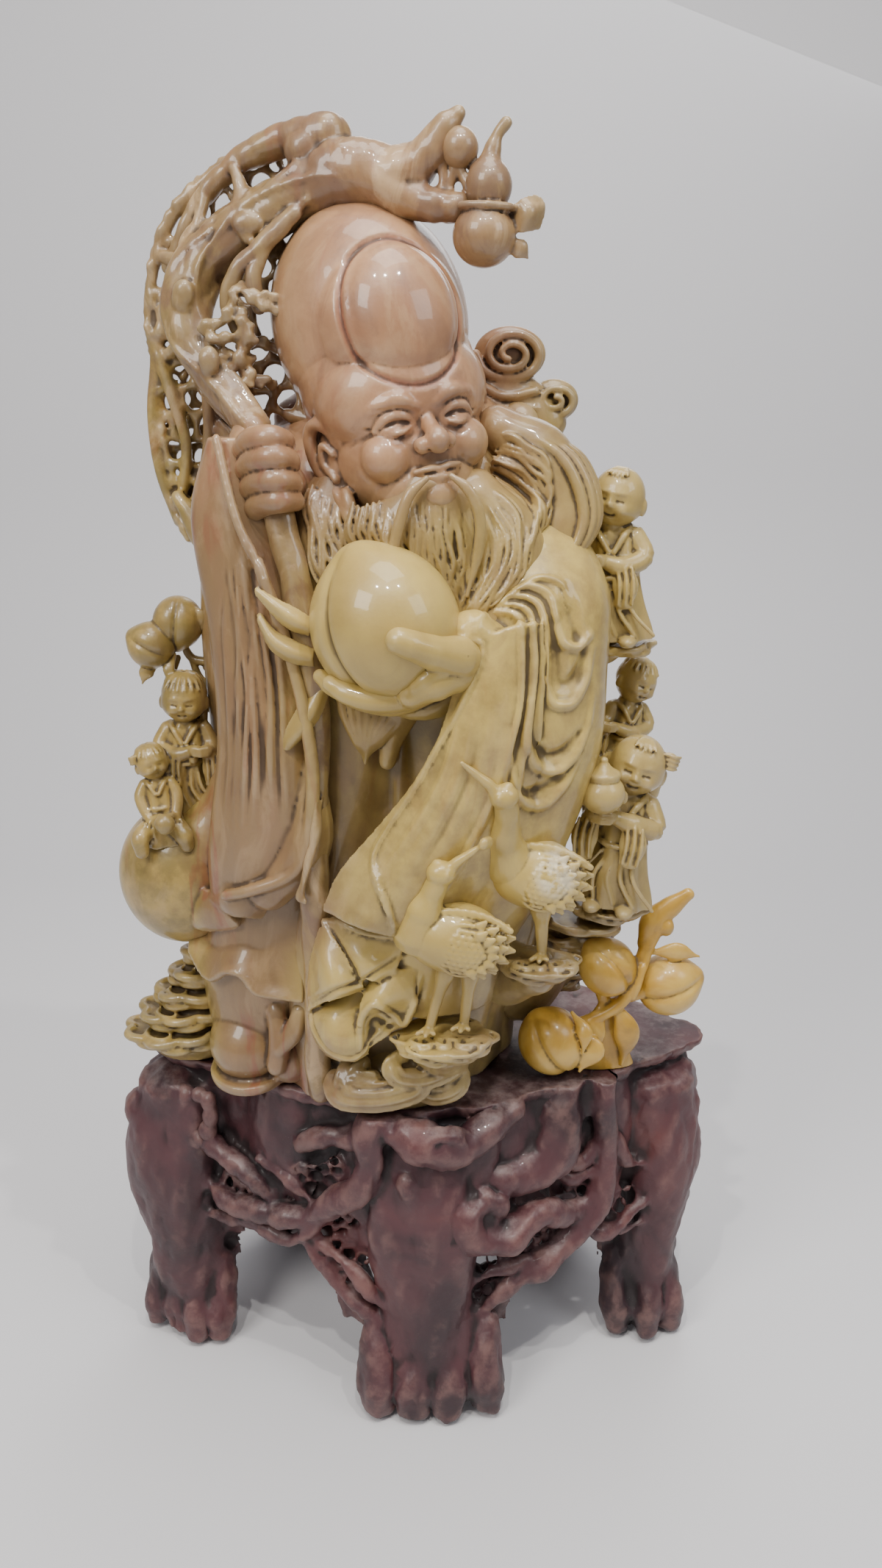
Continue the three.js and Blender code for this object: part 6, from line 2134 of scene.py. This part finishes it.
    # a pitted knot on the left shoulder, ringed by small lumps
    for k in range(9):
        angle = k * 2 * math.pi / 9
        lump = onStand(
            267 + 24 * math.cos(angle), 1517 + 30 * math.sin(angle), 4 + dice.uniform(-1, 2), s["plate"],
        )
        size = dice.uniform(4, 6.5)
        forms.append(ball(lump, [size, size, size * dice.uniform(0.8, 1.4)], around=16, high=12))
    for path, half in s["nets"]:
        stops = [[*onStand(px, py, out, s["plate"]), half] for px, py, out in path]
        forms += honeycomb(stops, half, 5.6, 1.35, dice, depth=1.6, sides=6)
    forms += [
        ball([x, y, z], [wide, deep, high], around=28, high=20) for x, y, z, wide, deep, high in s["knobs"]
    ]
    stand = makeObject("stand_root", forms)
    fuse(stand, s["voxel"], soften=2)
    gnarl(stand, s["gnarl"], s["seed"], s["waves"])
    return stand


# One output of a node, on which Python's own maths signs work
class Wire:
    def __init__(self, finish, socket):
        self.finish, self.socket = finish, socket

    def maths(self, operation, first, second=0.0):
        return self.finish.node("ShaderNodeMath", {"operation": operation}, {0: first, 1: second}, 0)

    def __add__(self, other):
        return self.maths("ADD", self, other)

    def __sub__(self, other):
        return self.maths("SUBTRACT", self, other)

    def __rsub__(self, other):
        return self.maths("SUBTRACT", other, self)

    def __mul__(self, other):
        return self.maths("MULTIPLY", self, other)

    def __truediv__(self, other):
        return self.maths("DIVIDE", self, other)

    def __pow__(self, other):
        return self.maths("POWER", self, other)

    def __abs__(self):
        return self.maths("ABSOLUTE", self)

    __radd__, __rmul__ = __add__, __mul__


def tone(red, green, blue):
    straight = [
        (v / 255) / 12.92 if v < 11 else ((v / 255 + 0.055) / 1.055) ** 2.4 for v in (red, green, blue)
    ]
    return (*straight, 1)


# A material and its nodes
class Finish:
    def __init__(self, name):
        self.material = bpy.data.materials.new(name)
        self.material.use_nodes = True
        self.tree = self.material.node_tree
        self.shader = self.tree.nodes["Principled BSDF"]
        self.spot = self.node("ShaderNodeTexCoord", {}, {}, "Object")
        self.x, self.y, self.z = (self.node("ShaderNodeSeparateXYZ", {}, {0: self.spot}, k) for k in range(3))

    def node(self, kind, settings, sockets, output=None):
        made = self.tree.nodes.new(kind)
        for key, value in settings.items():
            if key == "stops":
                for k, (place, colour) in enumerate(value):
                    stop = made.color_ramp.elements[k] if k < 2 else made.color_ramp.elements.new(place)
                    stop.position, stop.color = place, colour
            else:
                setattr(made, key, value)
        for key, value in sockets.items():
            self.feed(made.inputs[key], value)
        return made if output is None else Wire(self, made.outputs[output])

    def feed(self, socket, value):
        if isinstance(value, Wire):
            self.tree.links.new(value.socket, socket)
        else:
            socket.default_value = value

    def set(self, **sockets):
        for key, value in sockets.items():
            self.feed(self.shader.inputs[key.replace("_", " ")], value)

    def eased(self, value, low, high):
        return self.node(
            "ShaderNodeMapRange", {"interpolation_type": "SMOOTHSTEP"},
            {0: value, 1: low, 2: high, 3: 0.0, 4: 1.0}, 0,
        )

    def blend(self, first, second, mask):
        settings = {"data_type": "RGBA", "blend_type": "MIX", "clamp_factor": True}
        return self.node("ShaderNodeMix", settings, {0: mask, 6: first, 7: second}, 2)

    def noise(self, scale, detail=4.0, rough=0.55, bent=0.0, spot=None):
        sockets = {
            "Vector": spot or self.spot, "Scale": scale, "Detail": detail, "Roughness": rough,
            "Distortion": bent,
        }
        return self.node("ShaderNodeTexNoise", {}, sockets, "Fac")

    def stretched(self, across, deep, up):
        return self.node(
            "ShaderNodeMapping", {"vector_type": "POINT"}, {0: self.spot, 3: (across, deep, up)}, 0,
        )

    def attribute(self, name):
        return self.node(
            "ShaderNodeAttribute", {"attribute_type": "GEOMETRY", "attribute_name": name}, {}, "Fac",
        )

    def bump(self, height, distance, strength=1.0):
        self.set(
            Normal=self.node(
                "ShaderNodeBump", {}, {"Height": height, "Distance": distance, "Strength": strength},
                "Normal",
            ),
        )

    # A soft oval seen from the front, in the carver's millimetres, with a wandering rim
    def oval(self, x, z, wide, tall, wander=0.0, soft=0.35):
        across = (self.x - (x + shift[0]) / 1000) / (wide / 1000)
        up = (self.z - z / 1000) / (tall / 1000)
        reach = (across * across + up * up) ** 0.5 + wander
        return 1 - self.eased(reach, 1 - soft, 1 + soft)


stoneColours = {
    "khaki": tone(134, 113, 69),
    "paleKhaki": tone(164, 142, 88),
    "brown": tone(133, 105, 69),
    "rosy": tone(142, 107, 74),
    "pink": tone(148, 106, 75),
    "palePink": tone(184, 142, 104),
    "cream": tone(194, 168, 91),
    "deepCream": tone(150, 125, 65),
    "olive": tone(132, 112, 58),
    "mustard": tone(164, 138, 74),
    "plum": tone(104, 74, 58), "bloom": tone(196, 166, 126), "deepBrown": tone(112, 90, 62),
    "vein": tone(132, 44, 32),
    # The colour of the painted shade in the hollows, with some brown dirt in it
    "creviceShadeAndDirt": tone(40, 24, 14),
    # A pale colour for dust and a rubbed patch, also used as a painted highlight on proud points
    "dustAndSheen": tone(220, 208, 176),
}


# Soapstone in its clouded colours: pink at the head, cream down the right, brown and rosy down the
# left, olive at the far left. tint gives a piece a colour of its own, and worn a rubbed white patch.
def makeSoapstone(name, tint=None, tintShare=0.85, veined=1.0, inner=False, worn=None, mottled=0.22):
    s = stoneColours
    f = Finish(name)
    cloudy = f.noise(9, detail=3)
    wander = (cloudy - 0.5) * 1.1
    fine = f.noise(48, detail=5, rough=0.6)
    colour = f.blend(s["khaki"], s["paleKhaki"], f.eased(fine, 0.3, 0.75))
    left = 1 - f.eased(f.x + wander * 0.05, (-62 + shift[0]) / 1000, (-30 + shift[0]) / 1000)
    streak = f.noise(16, detail=4, bent=0.6, spot=f.stretched(3.2, 3.2, 0.5))
    brown = f.blend(s["brown"], s["rosy"], f.eased(streak, 0.46, 0.8))
    colour = f.blend(colour, brown, left)
    creams = f.blend(s["deepCream"], s["cream"], f.eased(fine, 0.2, 0.7))
    colour = f.blend(colour, creams, f.oval(34, 470, 92, 128, wander * 0.5))
    colour = f.blend(colour, s["cream"], f.oval(-26, 298, 46, 42, wander * 0.4) * 0.8)
    pinks = f.blend(s["pink"], s["palePink"], f.eased(f.noise(26, detail=5, bent=0.8), 0.36, 0.7))
    colour = f.blend(colour, pinks, f.oval(-24, 652, 82, 92, wander * 0.5))
    colour = f.blend(colour, s["brown"], f.oval(-104, 690, 56, 66, wander * 0.6) * 0.75)
    if inner:
        facing = 1 - f.eased(f.y, -0.02, 0.02)
        colour = f.blend(
            colour, f.blend(s["deepBrown"], s["brown"], f.eased(streak, 0.4, 0.75)),
            f.oval(-26, 352, 40, 124, wander * 0.3) * facing * 0.6,
        )
    if tint:
        colour = f.blend(colour, f.blend(s[tint[0]], s[tint[1]], f.eased(cloudy, 0.35, 0.65)), tintShare)
    far = 1 - f.eased(f.x + wander * 0.015, (-132 + shift[0]) / 1000, (-117 + shift[0]) / 1000)
    colour = f.blend(
        colour, f.blend(s["olive"], s["mustard"], f.eased(fine, 0.4, 0.62)),
        far * (1 - f.eased(f.z, 0.6, 0.7)),
    )
    threads = abs(f.noise(13, detail=4, rough=0.5, bent=0.5, spot=f.stretched(2.4, 2.4, 0.45)) - 0.5)
    veins = (1 - f.eased(threads, 0.0, 0.04)) * f.eased(f.noise(8, detail=3), 0.46, 0.62)
    colour = f.blend(colour, s["vein"], veins * (left * 0.3 + 0.14) * veined)
    colour = f.blend(colour, s["vein"], f.attribute("mark") * 0.7)
    mottle = f.noise(20, detail=6, rough=0.62, bent=0.9, spot=f.stretched(1.5, 1.5, 0.8))
    colour = f.blend(colour, s["plum"], f.eased(mottle, 0.5, 0.62) * mottled)
    colour = f.blend(colour, s["bloom"], (1 - f.eased(mottle, 0.36, 0.47)) * mottled * 0.8)
    colour = f.blend(colour, s["plum"], f.eased(f.noise(150, detail=5, rough=0.7), 0.5, 0.72) * mottled * 0.5)
    hollow = f.attribute("hollow")
    sunk = f.eased(hollow, 0.05, 0.55)
    proud = f.eased(hollow * -1, 0.1, 0.7)
    # Painted shade, with some brown dirt: points that lie in hollows are darkened towards a near-black brown
    colour = f.blend(colour, s["creviceShadeAndDirt"], sunk * 0.82)
    # Painted highlight, with some rubbed wear: proud points are lightened a little towards a pale colour
    colour = f.blend(colour, s["dustAndSheen"], proud * 0.1)
    if worn:
        colour = f.blend(
            colour, s["dustAndSheen"],
            f.oval(*worn, wander=wander * 0.8) * f.eased(f.noise(160, detail=4), 0.36, 0.56) * 0.85,
        )
    f.set(Base_Color=colour, Roughness=0.34 + 0.14 * fine + 0.25 * sunk, Coat_Weight=0.5 - 0.45 * sunk)
    f.set(
        Coat_Roughness=0.07, Subsurface_Weight=0.1, Subsurface_Radius=(0.005, 0.003, 0.0015),
        Subsurface_Scale=1.0,
    )
    f.bump(f.noise(420, detail=3) + 0.6 * f.noise(120, detail=4), 0.0002, 0.5)
    return f.material


yellowColours = {
    "gold": tone(184, 142, 52), "pale": tone(204, 168, 84), "deep": tone(108, 78, 30),
    # The darkest colour, used as painted shade in the hollows
    "creviceShadeAndDirt": tone(48, 32, 14),
}


def makeYellowStone(name):
    s = yellowColours
    f = Finish(name)
    cloudy = f.noise(34, detail=4, bent=0.5)
    colour = f.blend(s["gold"], s["pale"], f.eased(cloudy, 0.42, 0.68))
    colour = f.blend(colour, s["deep"], (1 - f.eased(cloudy, 0.3, 0.46)) * 0.5)
    hollow = f.attribute("hollow")
    sunk = f.eased(hollow, 0.08, 0.6)
    # Painted shade, with some dirt: points that lie in hollows are darkened towards a near-black brown
    colour = f.blend(colour, s["creviceShadeAndDirt"], sunk * 0.7)
    # Painted highlight, with some rubbed wear: proud points are lightened towards the pale gold
    colour = f.blend(colour, s["pale"], f.eased(hollow * -1, 0.15, 0.7) * 0.35)
    f.set(Base_Color=colour, Roughness=0.3 + 0.16 * cloudy + 0.2 * sunk, Coat_Weight=0.35 - 0.3 * sunk)
    f.set(
        Coat_Roughness=0.14, Subsurface_Weight=0.12, Subsurface_Radius=(0.006, 0.003, 0.001),
        Subsurface_Scale=1.0,
    )
    f.bump(f.noise(380, detail=3) + 0.5 * f.noise(90, detail=3), 0.0002, 0.5)
    return f.material


redColours = {
    "body": tone(78, 44, 48), "dark": tone(46, 27, 32), "warm": tone(98, 52, 50), "worn": tone(140, 106, 98),
    # The pale colour doubles as painted top light, and the darkest is painted shade in the hollows
    "dustAndSheen": tone(176, 160, 156), "creviceShadeAndDirt": tone(20, 13, 14),
}


def makeRedStone(name):
    s = redColours
    f = Finish(name)
    cloudy = f.noise(11, detail=4, bent=0.6)
    fine = f.noise(70, detail=5, rough=0.65)
    colour = f.blend(s["body"], s["dark"], f.eased(cloudy, 0.42, 0.66))
    colour = f.blend(colour, s["warm"], (1 - f.eased(cloudy, 0.3, 0.46)) * 0.8)
    hollow = f.attribute("hollow")
    sunk, proud = f.eased(hollow, 0.06, 0.55), f.eased(hollow * -1, 0.05, 0.5)
    up = f.node("ShaderNodeSeparateXYZ", {}, {0: f.node("ShaderNodeNewGeometry", {}, {}, "Normal")}, 2)
    colour = f.blend(colour, s["worn"], proud * f.eased(fine, 0.35, 0.65) * 0.42)
    # Pale dust and painted top light: upward faces are lightened in noisy patches
    colour = f.blend(
        colour, s["dustAndSheen"],
        f.eased(up, 0.35, 0.95) * f.eased(f.noise(38, detail=6, rough=0.7), 0.42, 0.72) * 0.4,
    )
    # Painted shade, with some dirt: points that lie in hollows are darkened nearly to black
    colour = f.blend(colour, s["creviceShadeAndDirt"], sunk * 0.8)
    specks = 1 - f.eased(f.node("ShaderNodeTexVoronoi", {}, {"Scale": 130.0}, "Distance"), 0.0, 0.07)
    colour = f.blend(colour, s["dustAndSheen"], specks * f.eased(cloudy, 0.45, 0.6) * 0.7)
    f.set(Base_Color=colour, Roughness=0.42 + 0.25 * fine + 0.15 * sunk, Coat_Weight=0.12)
    f.bump(f.noise(300, detail=4) + f.noise(60, detail=4), 0.0004, 0.6)
    return f.material


# What each kind of soapstone changes: a tint and its share, and how far it is veined and mottled
soapstones = {
    "soapstone": {},
    "robeStone": {"inner": True, "mottled": 0.3},
    "rootStone": {"tint": ("brown", "khaki"), "tintShare": 0.6, "veined": 0.6, "mottled": 0.6},
    "creamStone": {
        "tint": ("deepCream", "cream"),
        "tintShare": 0.75,
        "veined": 0.0,
        "worn": (73, 379, 12, 13),
        "mottled": 0.08,
    },
    "headStone": {"tint": ("pink", "palePink"), "tintShare": 0.25, "veined": 0.6, "mottled": 0.26},
    "beardStone": {"tint": ("rosy", "khaki"), "tintShare": 0.5, "veined": 0.0, "mottled": 0.2},
    "childStone": {"tint": ("paleKhaki", "cream"), "tintShare": 0.45, "veined": 0.0, "mottled": 0.15},
    "oliveStone": {"tint": ("olive", "mustard"), "tintShare": 0.5, "veined": 0.0, "mottled": 0.2},
}
finishes = {}
markPaths = {}


def finishOf(name):
    if name not in finishes:
        if name in soapstones:
            finishes[name] = makeSoapstone(name, **soapstones[name])
        else:
            finishes[name] = {"yellowStone": makeYellowStone, "redStone": makeRedStone}[name](name)
    return finishes[name]


# How far each point lies in a hollow, above nothing, or stands proud, below nothing
def writeHollows(piece, spread=3):
    mesh = piece.data
    points, normals = readPoints(mesh), readNormals(mesh)
    edges = np.empty(len(mesh.edges) * 2, int)
    mesh.edges.foreach_get("vertices", edges)
    a, b = edges.reshape(-1, 2).T
    way = points[b] - points[a]
    size = np.maximum(np.linalg.norm(way, axis=1), 1e-9)
    count = np.bincount(a, minlength=len(points)) + np.bincount(b, minlength=len(points))
    count = np.maximum(count, 1)
    rise = np.bincount(a, (way * normals[a]).sum(1) / size, len(points))
    rise += np.bincount(b, -(way * normals[b]).sum(1) / size, len(points))
    hollow = rise / count * 5.5
    for _ in range(spread):
        around = np.bincount(a, hollow[b], len(points)) + np.bincount(b, hollow[a], len(points))
        hollow = 0.5 * hollow + 0.5 * around / count
    made = mesh.attributes.new("hollow", "FLOAT", "POINT")
    made.data.foreach_set("value", np.clip(hollow, -1, 1).astype(np.float32))


# Colours the points near a path, for a vein of another colour
def writeMarks(piece, paths):
    mesh = piece.data
    points = readPoints(mesh) * 1000
    mark = np.zeros(len(points))
    for path, wide in paths:
        for low in range(0, len(points), 5000):
            away = np.sqrt(((points[low:low + 5000, None, :] - path[None]) ** 2).sum(-1).min(1))
            mark[low:low + 5000] = np.maximum(mark[low:low + 5000], np.clip(1.6 - away / wide, 0, 1))
    made = mesh.attributes.new("mark", "FLOAT", "POINT")
    made.data.foreach_set("value", mark.astype(np.float32))


def handOver(piece, node, finish, most):
    thin(piece, most)
    if node == "stand":
        keepInside(piece, node)
    alone(piece)
    bpy.ops.object.mode_set(mode="EDIT")
    bpy.ops.mesh.select_all(action="SELECT")
    bpy.ops.mesh.normals_make_consistent(inside=False)
    bpy.ops.object.mode_set(mode="OBJECT")
    bpy.ops.object.shade_smooth()
    writeHollows(piece)
    if piece.name in markPaths:
        writeMarks(piece, markPaths[piece.name])
    piece.data.materials.clear()
    piece.data.materials.append(finishOf(finish))
    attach(piece, "root")
    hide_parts(node)


lightSettings = [
    # name, place, size, watts, tint
    ("softLeft", (-0.9, -1.1, 1.5), 0.7, 19, (1.0, 0.97, 0.93)),
    ("softRight", (1.1, -0.7, 1.3), 0.6, 6, (0.95, 0.97, 1.0)),
    ("above", (0.1, -0.1, 2.0), 0.8, 15, (1.0, 0.98, 0.95)),
    ("spotOne", (-0.25, -0.75, 1.75), 0.035, 7, (1.0, 0.97, 0.92)),
    ("spotTwo", (0.1, -0.8, 1.8), 0.035, 7, (1.0, 0.97, 0.92)),
    ("spotThree", (0.45, -0.6, 1.75), 0.035, 6, (1.0, 0.97, 0.92)),
    ("behind", (0.3, 1.2, 1.3), 0.8, 6, (0.95, 0.97, 1.0)),
]


def makeLights():
    for name, place, size, watts, tint in lightSettings:
        way = np.array([0, 0, 0.42]) - np.array(place)
        turn = (math.acos(-way[2] / np.linalg.norm(way)), 0, math.atan2(way[1], way[0]) - math.pi / 2)
        bpy.ops.object.light_add(type="AREA", location=place, rotation=turn)
        light = bpy.context.object
        light.name = name
        light.data.size = size
        light.data.energy = watts
        light.data.color = tint


stageSettings = {
    "half": 3.0, "wallAt": 1.3, "bend": 0.5, "high": 2.6, "colour": tone(216, 215, 217),
    "air": tone(214, 214, 220), "airLight": 0.38,
}


# A pale floor that curves up into a backdrop
def makeStage(s):
    line = [(-s["half"], 0.0), (s["wallAt"] - s["bend"], 0.0)]
    line += [
        (s["wallAt"] - s["bend"] + s["bend"] * math.sin(a), s["bend"] * (1 - math.cos(a)))
        for a in np.linspace(0.1, math.pi / 2, 14)
    ]
    line += [(s["wallAt"], s["high"])]
    points = [(side * s["half"], y, z) for y, z in line for side in (-1, 1)]
    faces = [(2 * k, 2 * k + 1, 2 * k + 3, 2 * k + 2) for k in range(len(line) - 1)]
    mesh = bpy.data.meshes.new("floor")
    mesh.from_pydata(points, [], faces)
    floor = bpy.data.objects.new("floor", mesh)
    bpy.context.scene.collection.objects.link(floor)
    alone(floor)
    bpy.ops.object.shade_smooth()
    f = Finish("paleFloor")
    f.set(Base_Color=s["colour"], Roughness=0.6)
    floor.data.materials.append(f.material)
    world = bpy.context.scene.world or bpy.data.worlds.new("world")
    bpy.context.scene.world = world
    world.use_nodes = True
    air = world.node_tree.nodes["Background"]
    air.inputs["Color"].default_value = s["air"]
    air.inputs["Strength"].default_value = s["airLight"]


for label, maker, settings, node, finish in (
    ("robe", makeRobe, robeSettings, "carving", "robeStone"),
    ("skirt", makeSkirt, skirtSettings, "carving", "soapstone"),
    ("raised sleeve", makeRaisedSleeve, raisedSleeveSettings, "carving", "soapstone"),
    ("peach sleeve", makePeachSleeve, peachSleeveSettings, "carving", "soapstone"),
    ("head", makeFinishedHead, headSettings, "carving", "headStone"),
    ("beard", makeBeard, beardSettings, "carving", "beardStone"),
    ("peach and hand", makePeachAndHand, peachSettings, "carving", "creamStone"),
    ("fist", makeFist, fistSettings, "carving", "soapstone"),
    ("branch", makeBranch, branchSettings, "carving", "rootStone"),
    ("gourd", makeGourd, gourdSettings, "carving", "rootStone"),
    ("screen", makeScreen, screenSettings, "carving", "rootStone"),
    ("shoulder cloud", makeShoulderCloud, scrollSettings, "carving", "soapstone"),
    ("ledges", makeLedges, ledgeSettings, "carving", "soapstone"),
    ("right children", makeRightChildren, childSettings, "carving", "childStone"),
    ("left children", makeLeftChildren, childSettings, "carving", "oliveStone"),
    ("cranes", makeCranes, craneSettings, "carving", "creamStone"),
    ("spray", makeSpray, spraySettings, "peach_spray", "yellowStone"),
    ("stand", makeStand, standSettings, "stand", "redStone"),
):
    handOver(maker(settings), node, finish, settings["triangles"])
    print("made", label, round(time.time() - began, 1), "s")
makeLights()
makeStage(stageSettings)
